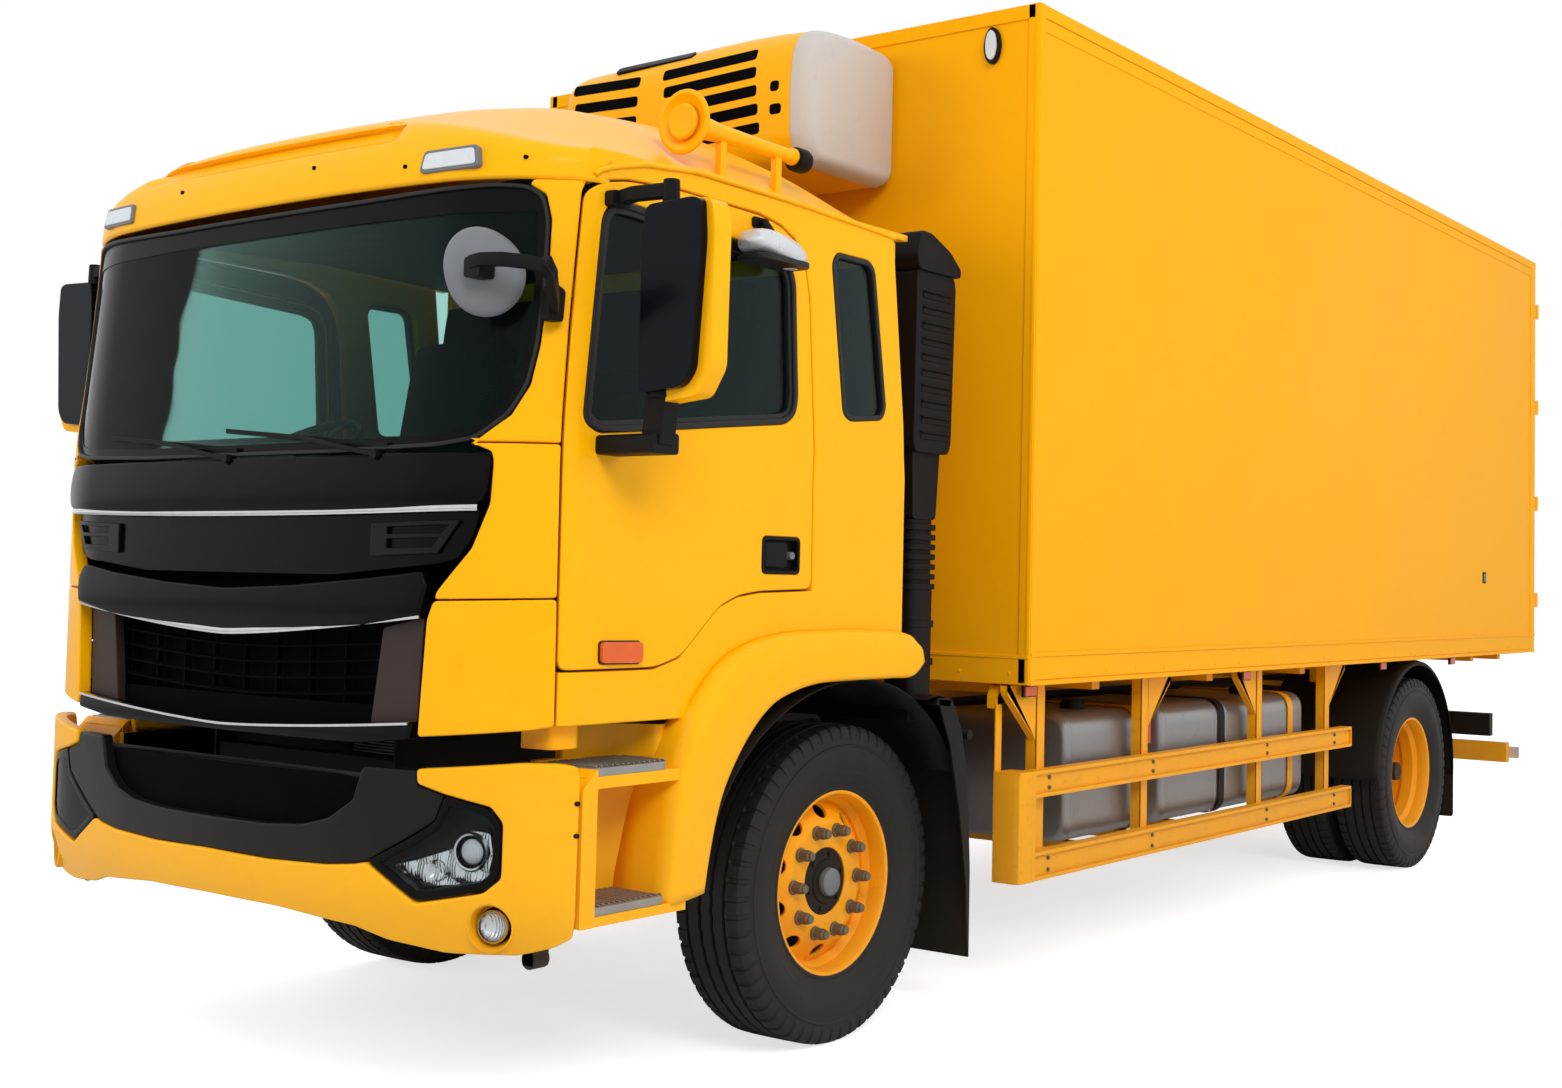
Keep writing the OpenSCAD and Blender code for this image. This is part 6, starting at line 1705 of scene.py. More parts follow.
# The near-black blocks along its back are painted shade in the gaps of its grille.
for k in range(12):
    x = -0.42 + 0.075 * k
    g.use(BLACK_AND_PAINTED_SHADE).box((x, 1.425, 3.08), (x + 0.05, 1.475, 3.26))
g.use(WHITE).box((-0.475, 0.80, 3.01), (0.475, 0.93, 3.38))
g.make("evaporator", "chassis", "grey_plastic", bevel=0.008)

# ---------------------------------------------------------------- load box
g = Geo(BOX_YELLOW)
rail_z1 = BOX_Z0 + 0.112
end_y = near("box_rear_frame")[1].y - 0.057
for xf in both_sides():
    g.at(xf)
    x = BOX_X
    # Top rail: outer cap, groove and lower flange, along the whole side
    g.prism([(BOX_Y0, BOX_Z1 - 0.002), (end_y, BOX_Z1 - 0.002), (end_y, BOX_Z1 - 0.05),
             (BOX_Y0, BOX_Z1 - 0.05)],
            "x", x - 0.01, x + 0.007)
    g.box((x - 0.01, BOX_Y0, BOX_Z1 - 0.10), (x + 0.004, end_y, BOX_Z1 - 0.052))
    # Bottom rail: upper lip, web and lower lip
    g.box((x - 0.01, BOX_Y0, rail_z1 - 0.016), (x + 0.010, end_y, rail_z1))
    g.box((x - 0.01, BOX_Y0, BOX_Z0 + 0.014), (x + 0.004, end_y, rail_z1 - 0.014))
    g.box((x - 0.012, BOX_Y0, BOX_Z0 - 0.006), (x + 0.009, end_y, BOX_Z0 + 0.012))
    # Front corner post: two flanges and a rounded edge between them
    g.box((x - 0.01, BOX_Y0 - 0.002, BOX_Z0), (x + 0.006, BOX_Y0 + 0.034, BOX_Z1))
    g.box((x - 0.045, BOX_Y0 - 0.006, BOX_Z0), (x + 0.001, BOX_Y0 + 0.01, BOX_Z1))
    g.rod((x - 0.010, BOX_Y0 + 0.010, BOX_Z0 - 0.004), (x - 0.010, BOX_Y0 + 0.010, BOX_Z1 - 0.004), 0.0175,
          0.0175, 20)
    # Rear corner post
    g.box((x - 0.01, end_y - 0.088, BOX_Z0), (x + 0.006, end_y, BOX_Z1 - 0.002))
g.at()
# Front top and bottom rails
g.box((-BOX_X, BOX_Y0 - 0.006, BOX_Z1 - 0.055), (BOX_X, BOX_Y0 + 0.01, BOX_Z1 - 0.002))
g.box((-BOX_X, BOX_Y0 - 0.006, BOX_Z0 - 0.004), (BOX_X, BOX_Y0 + 0.01, BOX_Z0 + 0.10))
g.box((-BOX_X, BOX_Y0 - 0.010, BOX_Z0 + 0.088), (BOX_X, BOX_Y0 + 0.01, BOX_Z0 + 0.102))
g.make("box_rails", "chassis", "yellow_paint", bevel=0.003)
g = Geo(BOX_YELLOW)
for xf in both_sides():
    g.at(xf)
    n = 26
    for i in range(n):
        y = BOX_Y0 + 0.08 + i * (end_y - BOX_Y0 - 0.16) / (n - 1)
        for z in (BOX_Z0 + 0.035, BOX_Z1 - 0.076):
            g.lathe([(TIP, 0.0035), (0.004, 0.003), (0.0075, 0.0), (TIP, -0.001)], (BOX_X + 0.004, y, z),
                    X_AXIS, 10, closed=False)
for i in range(12):
    x = -BOX_X + 0.08 + i * (2 * BOX_X - 0.16) / 11
    g.at().lathe([(TIP, 0.0035), (0.004, 0.003), (0.0075, 0.0), (TIP, -0.001)],
                 (x, BOX_Y0 - 0.006, BOX_Z0 + 0.035), (0, -1, 0), 10, closed=False)
g.make("box_rivets", "chassis", "yellow_paint")
g = Geo(BLACK)
for xf in both_sides():
    g.at(xf)
    oval = [(1.055 + 0.034 * math.cos(t), 3.458 + 0.068 * math.sin(t))
            for t in np.linspace(0, 2 * math.pi, 33)[:-1]]
    g.use(BLACK).prism(oval, "y", BOX_Y0 - 0.018, BOX_Y0 + 0.002)
    lens = [(1.055 + 0.023 * math.cos(t), 3.458 + 0.055 * math.sin(t))
            for t in np.linspace(0, 2 * math.pi, 33)[:-1]]
    g.use(LENS).prism(lens, "y", BOX_Y0 - 0.026, BOX_Y0 - 0.012)
    g.use(BLACK).box((BOX_X - 0.002, 5.965, 1.545), (BOX_X + 0.004, 6.02, 1.61))
    g.use(GREY).box((BOX_X + 0.003, 5.974, 1.556), (BOX_X + 0.0055, 6.011, 1.599))
    for y in (BOX_Y0 + 0.10, 2.808, 4.5, 5.6):
        g.use(STEEL).box((1.185, y - 0.045, BOX_Z0 - 0.052), (1.195, y + 0.045, BOX_Z0 - 0.008))
        g.use(AMBER).box((1.194, y - 0.038, BOX_Z0 - 0.048), (1.201, y + 0.038, BOX_Z0 - 0.014))
g.make("box_lamps", "chassis", "lamp", bevel=0.003)

# Rear: seals round the leaves, bars with their handles, lamps
rear_y = end_y
door_low, door_high = near("cargo_door_left")
for side, tag, flip in SIDES:
    g = Geo(SEAL).at(flip)
    x1 = 1.16
    g.box((0.0035, rear_y - 0.006, door_low.z + 0.002), (0.014, rear_y + 0.006, door_high.z - 0.002))
    for low, high in (((0.014, door_low.z + 0.002), (x1, door_low.z + 0.016)),
                      ((0.014, door_high.z - 0.016), (x1, door_high.z - 0.002)),
                      ((x1 - 0.012, door_low.z + 0.016), (x1, door_high.z - 0.016))):
        g.box((low[0], rear_y - 0.006, low[1]), (high[0], rear_y + 0.006, high[1]))
    g.use(ALLOY)
    for x in (0.23, 0.56):
        g.rod((x, rear_y + 0.018, door_low.z + 0.025), (x, rear_y + 0.018, door_high.z - 0.025), 0.0145,
              0.0145, 20)
        for z in (door_low.z + 0.035, door_high.z - 0.035):
            g.rod((x, rear_y + 0.018, z - 0.02), (x, rear_y + 0.018, z + 0.02), 0.021, 0.021, 16)
            g.box((x - 0.012, rear_y + 0.004, z - 0.012), (x + 0.034, rear_y + 0.03, z + 0.012))
        z = 1.62
        g.rod((x, rear_y + 0.018, z - 0.03), (x, rear_y + 0.018, z + 0.03), 0.024, 0.024, 16)
        g.sweep([(x, rear_y + 0.034, z), (x + 0.10, rear_y + 0.042, z),
                 (x + 0.26, rear_y + 0.040, z - 0.004)],
                [(-0.006, -0.011), (0.006, -0.011), (0.006, 0.011), (-0.006, 0.011)])
        g.box((x + 0.20, rear_y, z - 0.03), (x + 0.25, rear_y + 0.03, z + 0.02))
    g.make("cargo_bars_" + tag, "cargo_door_" + tag, "alloy", bevel=0.002)
g = Geo(BLACK)
bar_high = near("underrun_bar")[1]
for xf in both_sides():
    g.at(xf)
    g.use(BLACK).box((0.62, bar_high.y - 0.004, 0.60), (1.06, bar_high.y + 0.06, 0.74))
    g.use(RED).box((0.635, bar_high.y + 0.055, 0.615), (0.80, bar_high.y + 0.068, 0.725))
    g.use(AMBER).box((0.805, bar_high.y + 0.055, 0.615), (0.93, bar_high.y + 0.068, 0.725))
    g.use(LENS).box((0.935, bar_high.y + 0.055, 0.615), (1.045, bar_high.y + 0.068, 0.725))
    g.use(STEEL).box((0.70, bar_high.y - 0.08, 0.57), (0.75, bar_high.y, 0.80))
    g.use(STEEL).box((0.44, bar_high.y - 0.08, 0.76), (0.75, bar_high.y - 0.04, 0.80))
    g.use(RED)
    oval = [(1.19 + 0.02 * math.cos(t), 3.535 + 0.02 * math.sin(t)) for t in np.linspace(0, 2 * math.pi,
                                                                                         25)[:-1]]
    g.prism(oval, "y", rear_y - 0.002, rear_y + 0.012)
    for k in range(7):
        x = 0.10 + 0.165 * k
        g.use(RED if k % 2 else WHITE).box((x, bar_high.y - 0.002, 0.475),
                                           (x + 0.15, bar_high.y + 0.0015, 0.545))
g.at()
g.use(WHITE).box((-0.26, bar_high.y + 0.0, 0.60), (0.26, bar_high.y + 0.008, 0.74))
g.use(BLACK).box((-0.28, bar_high.y - 0.02, 0.585), (0.28, bar_high.y + 0.002, 0.755))
g.make("tail_lamps", "chassis", "lamp", bevel=0.004)

# ---------------------------------------------------------------- side guards and tanks
gl, gh = near("side_guards")
GX = gh.x
LOWZ = (0.418, 0.520)
HIGHZ = (0.715, 0.812)


def channel(geo, y0, y1, z0, z1, x, depth=0.05, lip=0.014, t=0.004):
    """C-section rail, open outwards, with turned lips."""
    web = x - 0.014
    geo.prism([(web - t, z0), (x, z0), (x, z0 + lip), (x - t, z0 + lip), (x - t, z0 + t), (web, z0 + t),
               (web, z1 - t), (x - t, z1 - t), (x - t, z1 - lip), (x, z1 - lip), (x, z1), (web - t, z1)],
              "y", y0, y1)
    geo.box((web - depth + 0.01, y0, z0), (web - t + 0.001, y1, z0 + t))
    geo.box((web - depth + 0.01, y0, z1 - t), (web - t + 0.001, y1, z1))


def upright(geo, x, y0, y1, z0, z1):
    t = 0.005
    geo.box((x - 0.045, y0, z0), (x, y0 + t, z1))
    geo.box((x - 0.045, y1 - t, z0), (x, y1, z1))
    geo.box((x - t, y0, z0), (x, y1, z1))


POSTS = (1.035, 1.86, 2.98, 3.78)
for side, tag, flip in SIDES:
    g = Geo(STEEL_YELLOW).at(flip)
    for z0, z1 in (LOWZ, HIGHZ):
        channel(g, gl.y + 0.10, gh.y, z0, z1, GX)
        g.box((GX - 0.045, gh.y - 0.005, z0), (GX, gh.y, z1))
    # Front end plate, wrapped inwards
    plan = [(GX - 0.112, gl.y), (GX - 0.03, gl.y + 0.002), (GX - 0.008, gl.y + 0.010), (GX, gl.y + 0.03),
            (GX, gl.y + 0.108), (GX - 0.006, gl.y + 0.108), (GX - 0.006, gl.y + 0.034),
            (GX - 0.014, gl.y + 0.016),
            (GX - 0.032, gl.y + 0.008), (GX - 0.112, gl.y + 0.006)]
    g.prism(plan, "z", LOWZ[0] - 0.001, HIGHZ[1] + 0.001)
    g.box((GX - 0.012, gl.y + 0.086, LOWZ[0]), (GX + 0.001, gl.y + 0.112, HIGHZ[1]))
    g.box((GX - 0.105, gl.y + 0.004, HIGHZ[1] - 0.004), (GX - 0.002, gl.y + 0.105, HIGHZ[1]))
    g.box((GX - 0.055, gl.y + 0.004, LOWZ[0]), (GX - 0.002, gl.y + 0.105, LOWZ[0] + 0.004))
    # Slim post behind the end plate, curved into the box floor
    g.box((GX - 0.116, gl.y + 0.008, LOWZ[0]), (GX - 0.110, gl.y + 0.048, 1.05))
    bend = [(0.0, 0.0), (0.0, 0.04), (0.02, 0.072), (0.06, 0.088), (0.16, 0.09), (0.16, 0.098),
            (0.055, 0.096),
            (0.012, 0.08), (-0.006, 0.045), (-0.006, 0.0)]
    g.prism([(gl.y + 0.014 + a, 1.035 + b) for a, b in bend], "x", GX - 0.15, GX - 0.108)
    for i, y in enumerate(POSTS):
        upright(g, GX - 0.052, y, y + 0.062, LOWZ[0] + 0.01, 1.128)
        # Gusset under the box at each post
        lean_dir = -1 if i % 2 == 0 else 1
        foot = y if lean_dir < 0 else y + 0.062
        tip = foot + lean_dir * 0.20
        shape = [(foot, 1.12), (tip, 1.12), (tip, 1.10), (foot, 0.93)]
        g.prism(shape, "x", GX - 0.060, GX - 0.055)
        g.prism([(tip, 1.12), (tip, 1.10), (foot, 0.93), (foot, 0.915), (tip - lean_dir * 0.004, 1.085)], "x",
                GX - 0.085, GX - 0.055)
        for z in (LOWZ[0] + 0.03, LOWZ[1] - 0.03, HIGHZ[0] + 0.03, HIGHZ[1] - 0.03):
            g.use(STUD).rod((GX - 0.016, y + 0.031, z), (GX - 0.006, y + 0.031, z), 0.0085, 0.0075, 6)
            g.use(STEEL_YELLOW)
    g.make("side_guard_rails_" + tag, "chassis", "yellow_paint", bevel=0.0015,
           replaces=("side_guards",) if side > 0 else ())


def tank(geo, x0, x1, y0, y1, z0, z1, mat=ALLOY, r=0.085):
    """Pressed tank: rounded section, seams near its ends, domed ends."""
    geo.use(mat)
    ring = fillet([(x0, z0), (x1, z0), (x1, z1), (x0, z1)], r, 7)
    cxx, czz = (x0 + x1) / 2, (z0 + z1) / 2
    stations = [(y0, 0.90), (y0 + 0.006, 0.955), (y0 + 0.018, 0.985), (y0 + 0.034, 0.992), (y0 + 0.036, 1.0),
                (y0 + 0.048, 1.0), (y0 + 0.050, 0.992), (y1 - 0.050, 0.992), (y1 - 0.048, 1.0),
                (y1 - 0.036, 1.0), (y1 - 0.034, 0.992), (y1 - 0.018, 0.985), (y1 - 0.006, 0.955), (y1, 0.90)]
    m = len(ring)
    verts = [(cxx + (p[0] - cxx) * k, y, czz + (p[1] - czz) * k) for y, k in stations for p in ring]
    faces = [(i * m + (j + 1) % m, i * m + j, (i + 1) * m + j, (i + 1) * m + (j + 1) % m)
             for i in range(len(stations) - 1) for j in range(m)]
    faces += [tuple(range(m)), tuple((len(stations) - 1) * m + j for j in range(m - 1, -1, -1))]
    geo.add(verts, faces)


def strap(geo, x0, x1, y, w, z0, z1, mat, r=0.085, t=0.004):
    geo.use(mat)
    outer = fillet([(x0, z0 - t), (x1 + t, z0 - t), (x1 + t, z1 + t), (x0, z1 + t)], r, 7)
    inner_ring = fillet([(x0 + t, z0), (x1, z0), (x1, z1), (x0 + t, z1)], r, 7)
    m = len(outer)
    verts = [(p[0], yy, p[1]) for yy in (y, y + w) for ring in (outer, inner_ring) for p in ring]
    faces = []
    for j in range(m):
        k = (j + 1) % m
        faces.append((j, k, m + k, m + j))
        faces.append((2 * m + j, 3 * m + j, 3 * m + k, 2 * m + k))
        faces.append((j, 2 * m + j, 2 * m + k, k))
        faces.append((m + j, m + k, 3 * m + k, 3 * m + j))
    geo.add(verts, faces)


tl, th = near("fuel_tanks")
g = Geo(ALLOY)
tank_1 = (tl.y, tl.y + 0.66)
tank_2 = (tl.y + 0.80, th.y)
tank(g, tl.x, th.x, *tank_1, tl.z, th.z)
split_y = tank_2[0] + 0.56
tank(g, tl.x, th.x, tank_2[0], split_y, tl.z, th.z)
tank(g, tl.x, th.x, split_y + 0.03, th.y, tl.z, th.z)
for y in (tank_1[1] - 0.10, th.y - 0.20):
    strap(g, tl.x, th.x, y, 0.055, tl.z, th.z, STEEL_YELLOW)
strap(g, tl.x, th.x, split_y - 0.015, 0.055, tl.z, th.z, BLACK)
for y in ((tank_1[0] + tank_1[1]) / 2, (split_y + th.y) / 2 + 0.1):
    g.use(BLACK).rod((0.93, y, th.z - 0.005), (0.93, y, th.z + 0.022), 0.05, 0.05, 28)
    g.rod((0.93, y, th.z + 0.02), (0.93, y, th.z + 0.034), 0.042, 0.036, 28)
g.use(AMBER).box((0.97, tank_1[1] + 0.03, th.z - 0.16), (1.06, tank_1[1] + 0.11, th.z - 0.02))
g.use(STEEL_YELLOW).box((0.60, tank_1[1] + 0.02, tl.z + 0.03), (1.0, tank_1[1] + 0.12, th.z - 0.18))
g.make("fuel_tank_shells", "chassis", "alloy", replaces=("fuel_tanks",), angle=40)

bl, bh = near("battery_and_air_tanks")
g = Geo(BLACK).at(MIRRORED)
cy = bl.y + 0.70
g.prism(plate(0.49, bl.z, 1.055, bh.z, 0.02), "y", bl.y, cy)
g.use(GREY).box((0.52, bl.y + 0.03, bh.z - 0.001), (1.02, cy - 0.03, bh.z + 0.006))
for y in (bl.y + 0.10, cy - 0.15):
    g.use(STEEL).box((1.054, y, bl.z + 0.05), (1.062, y + 0.05, bh.z - 0.03))
for z in (bl.z + 0.115, bl.z + 0.325):
    for x in (0.66, 0.90):
        prof = [(TIP, 0.0), (0.05, 0.004), (0.085, 0.016), (0.098, 0.035), (0.1, 0.05), (0.1, 0.60),
                (0.098, 0.615),
                (0.085, 0.634), (0.05, 0.646), (TIP, 0.65)]
        g.use(STEEL).lathe(prof, (x, cy + 0.05, z), Y_AXIS, 36, closed=False)
g.make("battery_box_and_reservoirs", "chassis", "black_plastic", bevel=0.003, angle=40)

# ---------------------------------------------------------------- arches, flaps, rear guards
for side, tag, flip in SIDES:
    g = Geo(BLACK).at(flip)
    # Flap behind the front wheel: hanging rubber, bent plate above it, and a wedge along its outer edge
    line = [(0.604, 0.195), (0.602, 0.50), (0.578, 0.80), (0.535, 0.98), (0.472, 1.085), (0.40, 1.10),
            (0.32, 1.09)]
    g.prism(line + [(y + 0.010, z + 0.004) for y, z in reversed(line)], "x", 0.80, 1.160)
    wedge = line[:5] + [(0.385, 1.092), (0.465, 0.93), (0.530, 0.70), (0.578, 0.45), (0.594, 0.24)]
    g.prism(wedge, "x", 1.160, 1.168)
    g.prism([(0.472, 1.089), (0.385, 1.096), (0.375, 1.072), (0.455, 1.062)], "x", 0.98, 1.168)
    g.tube([(0.44, 0.63, 0.955), (0.95, 0.63, 0.955), (1.14, 0.63, 0.955)], 0.018, 12)
    g.box((0.90, 0.56, 0.945), (0.94, 0.65, 0.965))
    for x in (0.86, 1.10):
        g.use(STUD).rod((x, 0.555, 0.87), (x, 0.585, 0.87), 0.011, 0.010, 6)
        g.use(BLACK)
    g.make("front_flap_" + tag, "chassis", "black_plastic", bevel=0.002,
           replaces=("mudguards",) if side > 0 else ())
    arc_r = 0.603
    x0, x1 = REAR_X - TWIN - 0.15, REAR_X + 0.152
    rows = []
    for k in range(41):
        a = math.radians(-20 + 200 * k / 40)
        rows.append([(x, REAR_Y + r * math.cos(a), WHEEL_Z + r * math.sin(a)) for x, r in (
            (x0, arc_r), (x0 + 0.02, arc_r + 0.004), (x1 - 0.03, arc_r + 0.004), (x1 - 0.008, arc_r - 0.002),
            (x1, arc_r - 0.022))])
    rows = [row for row in rows if row[0][2] > 0.43]
    lofted("rear_guard_" + tag, rows, BLACK, "chassis", side=side, thick=0.006, offset=1.0)
    g = Geo(BLACK).at(flip)
    y = REAR_Y + arc_r + 0.004
    g.prism(plate(x0 + 0.01, 0.22, x1 - 0.01, 0.56, 0.02), "y", y - 0.006,
            y + 0.004)
    for dy in (-0.35, 0.35):
        g.use(STEEL_YELLOW).box((0.43, REAR_Y + dy - 0.02, 0.96), (0.78, REAR_Y + dy + 0.02, 0.985))
        g.use(STEEL_YELLOW).box((0.74, REAR_Y + dy - 0.02, 0.96), (0.78, REAR_Y + dy + 0.02, 1.07))
    g.make("rear_flap_" + tag, "chassis", "black_plastic", bevel=0.002)

# ---------------------------------------------------------------- cab inside
def soft_pad(name, low, high, crown):
    """Stuffed cushion: rounded box blown up like foam in its cover, with seams near its sides."""
    x0, y0, z0 = low
    x1, y1, z1 = high
    nx, ny, nz = 22, 22, 8
    me = bpy.data.meshes.new(name)
    verts, faces = [], []
    index = {}

    def vert(i, j, k):
        key = (i, j, k)
        if key not in index:
            u, v, w = 2 * i / nx - 1, 2 * j / ny - 1, 2 * k / nz - 1
            p = 5.0
            norm = (abs(u) ** p + abs(v) ** p + abs(w) ** p) ** (1 / p)
            big = max(abs(u), abs(v), abs(w))
            s = big / norm if norm > 0 else 1
            s = 1 - (1 - s) * 0.45
            px = (x0 + x1) / 2 + u * s * (x1 - x0) / 2
            py = (y0 + y1) / 2 + v * s * (y1 - y0) / 2
            pz = (z0 + z1) / 2 + w * s * (z1 - z0) / 2
            puff = (1 - u * u) * (1 - v * v)
            seam = 0.0
            for line in (-0.56, 0.56):
                seam += math.exp(-((u - line) / 0.05) ** 2)
            for line in (-0.33, 0.33):
                seam += 0.6 * math.exp(-((v - line) / 0.05) ** 2) * (1 if abs(u) < 0.56 else 0)
            if k == nz:
                pz += crown * puff - 0.007 * min(seam, 1.0)
            index[key] = len(verts)
            verts.append((px, py, pz))
        return index[key]

    for i in range(nx):
        for j in range(ny):
            for k, up in ((0, False), (nz, True)):
                q = [vert(i, j, k), vert(i + 1, j, k), vert(i + 1, j + 1, k), vert(i, j + 1, k)]
                faces.append(q if up else q[::-1])
    for i in range(nx):
        for k in range(nz):
            for j, front in ((0, True), (ny, False)):
                q = [vert(i, j, k), vert(i + 1, j, k), vert(i + 1, j, k + 1), vert(i, j, k + 1)]
                faces.append(q if front else q[::-1])
    for j in range(ny):
        for k in range(nz):
            for i, low_side in ((0, False), (nx, True)):
                q = [vert(i, j, k), vert(i, j + 1, k), vert(i, j + 1, k + 1), vert(i, j, k + 1)]
                faces.append(q if low_side else q[::-1])
    me.from_pydata(verts, [], faces)
    me.materials.append(SEAT)
    me.update()
    me.shade_smooth()
    return me


def seat(x, tag):
    """Seat: cushion, backrest and head rest as separate padded pieces on a sprung plinth."""
    pieces = (
        ("cushion", (-0.245, -0.65, 0.0), (0.245, -0.13, 0.13), Matrix.Translation((x, 0, 1.585))
         @ Matrix.Rotation(math.radians(-5), 4, "X"), 0.030),
        ("backrest", (-0.24, -0.31, 0.0), (0.24, 0.31, 0.12), Matrix.Translation((x, -0.165, 2.02))
         @ Matrix.Rotation(math.radians(80), 4, "X"), 0.026),
        ("headrest", (-0.13, -0.085, 0.0), (0.13, 0.085, 0.08), Matrix.Translation((x, -0.10, 2.385))
         @ Matrix.Rotation(math.radians(82), 4, "X"), 0.016),
    )
    for part, low, high, place, crown in pieces:
        me = soft_pad(f"{part}_{tag}", low, high, crown)
        me.transform(Matrix.Translation((0, AXLE_Y, 0)) @ place)
        first = tag == "driver" and part == "cushion"
        ob = on_body(f"seat_{part}_{tag}", me, "cab", ("seats",) if first else ())
        sub = ob.modifiers.new("smooth", "SUBSURF")
        sub.levels = sub.render_levels = 1


seat(-0.60, "driver")
seat(0.60, "passenger")
g = Geo(BLACK)
for x in (-0.60, 0.60):
    g.box((x - 0.20, -0.60, 1.295), (x + 0.20, -0.20, 1.32))
    for k in range(6):
        z = 1.32 + k * 0.036
        g.prism(plate(x - 0.17, -0.57, x + 0.17, -0.23, 0.03), "z",
                z, z + 0.02)
        g.prism(plate(x - 0.15, -0.55, x + 0.15, -0.25, 0.03), "z",
                z + 0.018, z + 0.038)
    g.box((x - 0.22, -0.62, 1.535), (x + 0.22, -0.16, 1.575))
    for dx in (-0.055, 0.055):
        g.use(CHROME).rod((x + dx, -0.095, 2.26), (x + dx, -0.085, 2.40), 0.007, 0.007, 10)
        g.use(BLACK)
g.make("seat_bases", "cab", "black_plastic", bevel=0.004)

g = Geo(DASH)
dash = [(-1.38, 1.60), (-1.38, 1.812), (-1.30, 1.822), (-1.10, 1.815), (-1.02, 1.78), (-0.995, 1.70),
        (-1.01, 1.60),
        (-1.06, 1.50), (-1.12, 1.42), (-1.38, 1.42)]
g.prism(fillet(dash, 0.035, 6), "x", -1.04, 1.04)
cluster = [(-1.16, 1.80), (-1.13, 1.885), (-1.09, 1.90), (-1.03, 1.86), (-0.985, 1.76), (-1.0, 1.70),
           (-1.12, 1.70)]
g.prism(fillet(cluster, 0.02, 4), "x", -0.90, -0.30)
g.use(BLACK).prism(plate(-0.25, 1.50, 0.25, 1.76, 0.02), "y", -1.02, -0.985)
for x in (-0.16, 0.0, 0.16):
    g.use(GREY).rod((x, -0.985, 1.545), (x, -0.968, 1.545), 0.022, 0.019, 24)
for x in (-0.92, 0.92):
    g.use(BLACK).prism(plate(x - 0.09, 1.68, x + 0.09, 1.74, 0.01), "y",
                       -1.03, -0.99)
# Steering wheel with its column, on the driver's side
wheel = Vector((-0.60, -0.90, 1.875))
tilt = Matrix.Translation(wheel) @ Matrix.Rotation(math.radians(-58), 4, "X")
g.at(tilt).use(BLACK)
ring = [(0.225 + 0.0135 * math.cos(t), 0.0155 * math.sin(t)) for t in np.linspace(0, 2 * math.pi, 15)[:-1]]
g.lathe(ring, (0, 0, 0), (0, -1, 0), 64)
for a in (90, 205, 335):
    t = math.radians(a)
    g.sweep([(0.06 * math.cos(t), 0.012, 0.06 * math.sin(t)), (0.15 * math.cos(t), 0.008, 0.15 * math.sin(t)),
             (0.222 * math.cos(t), 0.0, 0.222 * math.sin(t))],
            [(-0.018, -0.006), (0.018, -0.006), (0.018, 0.006), (-0.018, 0.006)], up=Y_AXIS)
g.lathe([(TIP, -0.02), (0.06, -0.016), (0.078, 0.0), (0.076, 0.03), (0.05, 0.045), (TIP, 0.048)],
        (0, 0, 0), Y_AXIS, 36, closed=False)
g.at()
g.rod((-0.60, -0.93, 1.86), (-0.60, -1.12, 1.70), 0.035, 0.055, 24)
g.make("dashboard_shell", "cab", "grey_plastic", bevel=0.004, segments=3, replaces=("dashboard",))
g = Geo(GREY)
g.prism(fillet([(-0.42, 1.49), (0.42, 1.49), (0.40, 1.56), (-0.40, 1.56)], 0.02), "y", -0.80, -0.10)
g.use(BLACK).rod((0.12, -0.62, 1.555), (0.12, -0.66, 1.80), 0.012, 0.010, 16)
g.lathe([(TIP, -0.03), (0.018, -0.026), (0.026, -0.005), (0.026, 0.012), (0.016, 0.026), (TIP, 0.03)],
        (0.12, -0.665, 1.825), (0, -0.16, 1), 24, closed=False)
g.lathe([(0.02, 0.0), (0.075, 0.0), (0.07, 0.012), (0.045, 0.03), (0.05, 0.045), (0.03, 0.06), (0.02, 0.075)],
        (0.12, -0.625, 1.555), (0, -0.1, 1), 24)
for x in (-0.50, -0.62, -0.76):
    g.use(BLACK).box((x - 0.035, -1.23, 1.36), (x + 0.035, -1.205, 1.46))
    g.rod((x, -1.22, 1.46), (x, -1.28, 1.60), 0.010, 0.010, 10)
g.make("tunnel_cover", "cab", "grey_plastic", bevel=0.005)
g = Geo(DASH)
g.box((-1.06, 0.138, 1.52), (1.06, 0.146, 2.54))
for z in (1.75, 2.05, 2.35):
    g.box((-0.95, 0.130, z - 0.11), (0.95, 0.140, z + 0.11))
g.make("rear_trim", "cab", "grey_plastic", bevel=0.01, segments=3)
g = Geo(DASH)
lining = [(-1.36, 2.556), (-1.2, 2.60), (-0.5, 2.632), (0.12, 2.612), (0.12, 2.602), (-0.5, 2.622),
          (-1.2, 2.59), (-1.36, 2.546)]
g.prism(lining, "x", -1.05, 1.05)
for x in (-0.55, 0.55):
    g.prism(fillet([(x - 0.30, -1.30), (x + 0.30, -1.30), (x + 0.28, -1.16), (x - 0.28, -1.16)], 0.03), "z",
            2.548, 2.562)
g.make("headliner", "cab", "grey_plastic", bevel=0.004)
g = Geo(YELLOW)
for x in np.linspace(-0.95, 0.95, 9):
    g.prism(plate(x - 0.035, 1.32, x + 0.035, 2.52, 0.02), "y", 0.186, 0.198)
g.make("rear_pressings", "cab", "yellow_paint", bevel=0.004)

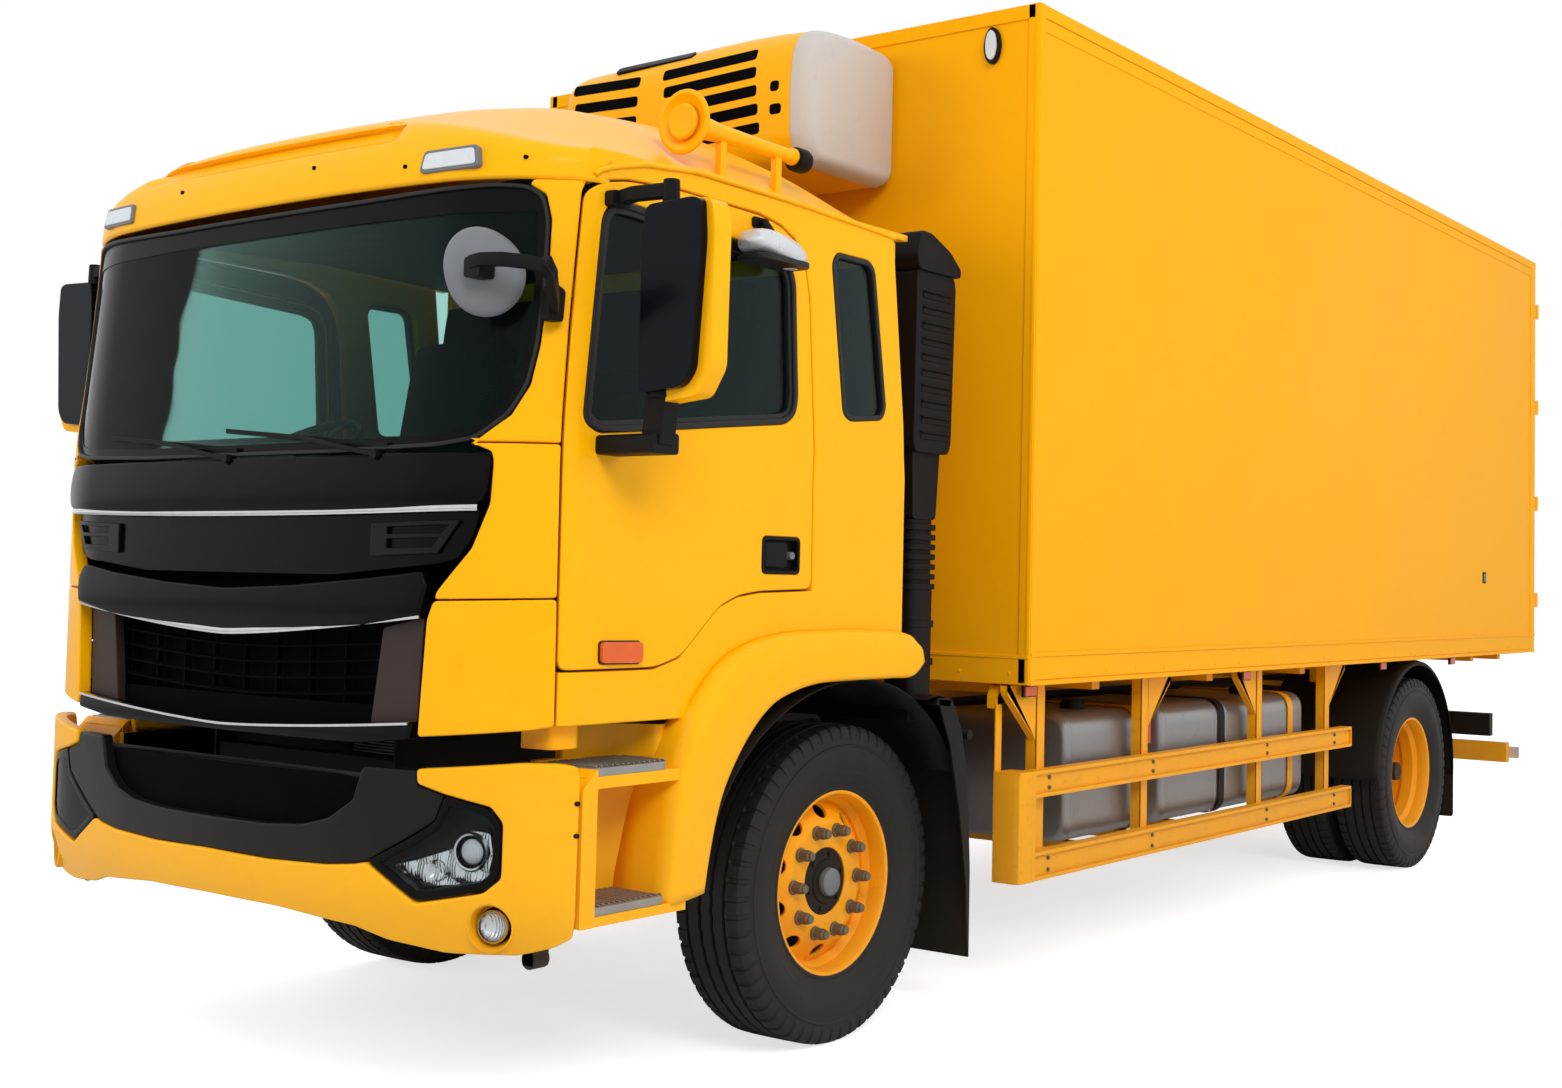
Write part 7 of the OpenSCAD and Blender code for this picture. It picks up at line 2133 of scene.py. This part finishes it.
# ---------------------------------------------------------------- chassis details
g = Geo(STEEL)
for xf in both_sides():
    g.at(xf)
    for yc, half_l, base in ((0.0, 0.60, 0.60), (REAR_Y, 0.68, 0.60)):
        for k in range(5):
            span = half_l * (1 - 0.13 * k)
            pts = []
            for i in range(17):
                u = -1 + i / 8
                y = u * span
                pts.append((0.39, yc + y, base + 0.018 * (5 - k) * 0.9 + 0.05 * (y / half_l) ** 2))
            g.sweep(pts, [(-0.034, -0.007), (0.034, -0.007), (0.034, 0.007), (-0.034, 0.007)])
        for dy in (-0.07, 0.07):
            g.box((0.352, yc + dy - 0.012, 0.50), (0.428, yc + dy + 0.012, 0.71))
g.make("spring_leaves", "chassis", "chassis_steel", bevel=0.002)
g = Geo(STEEL)
# Cooler core, hoses and wiring that show between the frame rails
g.prism(plate(-0.40, 0.72, 0.40, 1.02, 0.02), "y", -0.80, -0.765)
for k in range(28):
    z = 0.735 + 0.01 * k
    g.use(GREY).box((-0.38, -0.806, z), (0.38, -0.800, z + 0.004))
g.use(BLACK).tube([(0.30, -0.75, 1.0), (0.36, -0.6, 1.06), (0.36, -0.2, 1.12), (0.30, 0.1, 1.12)], 0.03, 14)
g.use(BLACK).tube([(-0.30, -0.75, 0.78), (-0.37, -0.6, 0.72), (-0.36, -0.3, 0.72)], 0.028, 14)
g.make("cooler_and_hoses", "chassis", "black_plastic", bevel=0.002)
g = Geo(STEEL)
for xf in both_sides():
    g.at(xf)
    for y in np.arange(0.9, 6.6, 0.41):
        for z in (0.80, 0.96):
            g.use(STUD).rod((0.462, y, z), (0.474, y, z), 0.011, 0.010, 6)
    g.use(BLACK).tube([(0.445, 0.95, 0.985), (0.445, 2.5, 0.98), (0.445, 4.2, 0.985), (0.445, 6.5, 0.98)],
                      0.012, 8)
    g.use(BLACK).tube([(0.452, 0.95, 0.945), (0.452, 2.4, 0.94), (0.452, 4.0, 0.945)], 0.008, 8)
g.make("frame_bolts_and_lines", "chassis", "black_plastic")

# ---------------------------------------------------------------- finishes for the carried-over parts
FINISH = {
    "frame_rails": STEEL, "cross_members": STEEL, "tank_brackets": STEEL_YELLOW, "front_axle": STEEL,
    "rear_axle": STEEL, "propeller_shaft": STEEL, "leaf_springs": STEEL, "engine_block": ENGINE,
    "silencer": ALLOY, "underrun_bar": STEEL_YELLOW, "box_floor": STEEL_YELLOW, "box_sides": BOX_YELLOW,
    "box_front_wall": BOX_YELLOW, "box_roof": BOX_YELLOW, "box_rear_frame": BOX_YELLOW,
    "cargo_door_left": BOX_YELLOW, "cargo_door_right": BOX_YELLOW, "cab_floor": BLACK,
    "cab_rear_wall": YELLOW, "cab_glass": SIDE_GLASS, "steering_knuckle_left": STEEL,
    "steering_knuckle_right": STEEL,
}
SOFT_EDGE = {
    "frame_rails": 0.002, "cross_members": 0.002, "tank_brackets": 0.002, "front_axle": 0.006,
    "rear_axle": 0.006, "engine_block": 0.012, "silencer": 0.004, "underrun_bar": 0.004,
    "box_sides": 0.002, "box_front_wall": 0.003, "box_roof": 0.003, "box_rear_frame": 0.003,
    "cargo_door_left": 0.003, "cargo_door_right": 0.003, "cab_floor": 0.004, "cab_rear_wall": 0.006,
    "box_floor": 0.002,
}
for node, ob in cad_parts.items():
    mat = FINISH.get(node, BLACK)
    ob.data.materials.clear()
    ob.data.materials.append(mat)
    for poly in ob.data.polygons:
        poly.material_index = 0
    if node in SOFT_EDGE:
        soft_edges(ob, SOFT_EDGE[node])
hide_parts("cab_glass")

low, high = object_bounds()
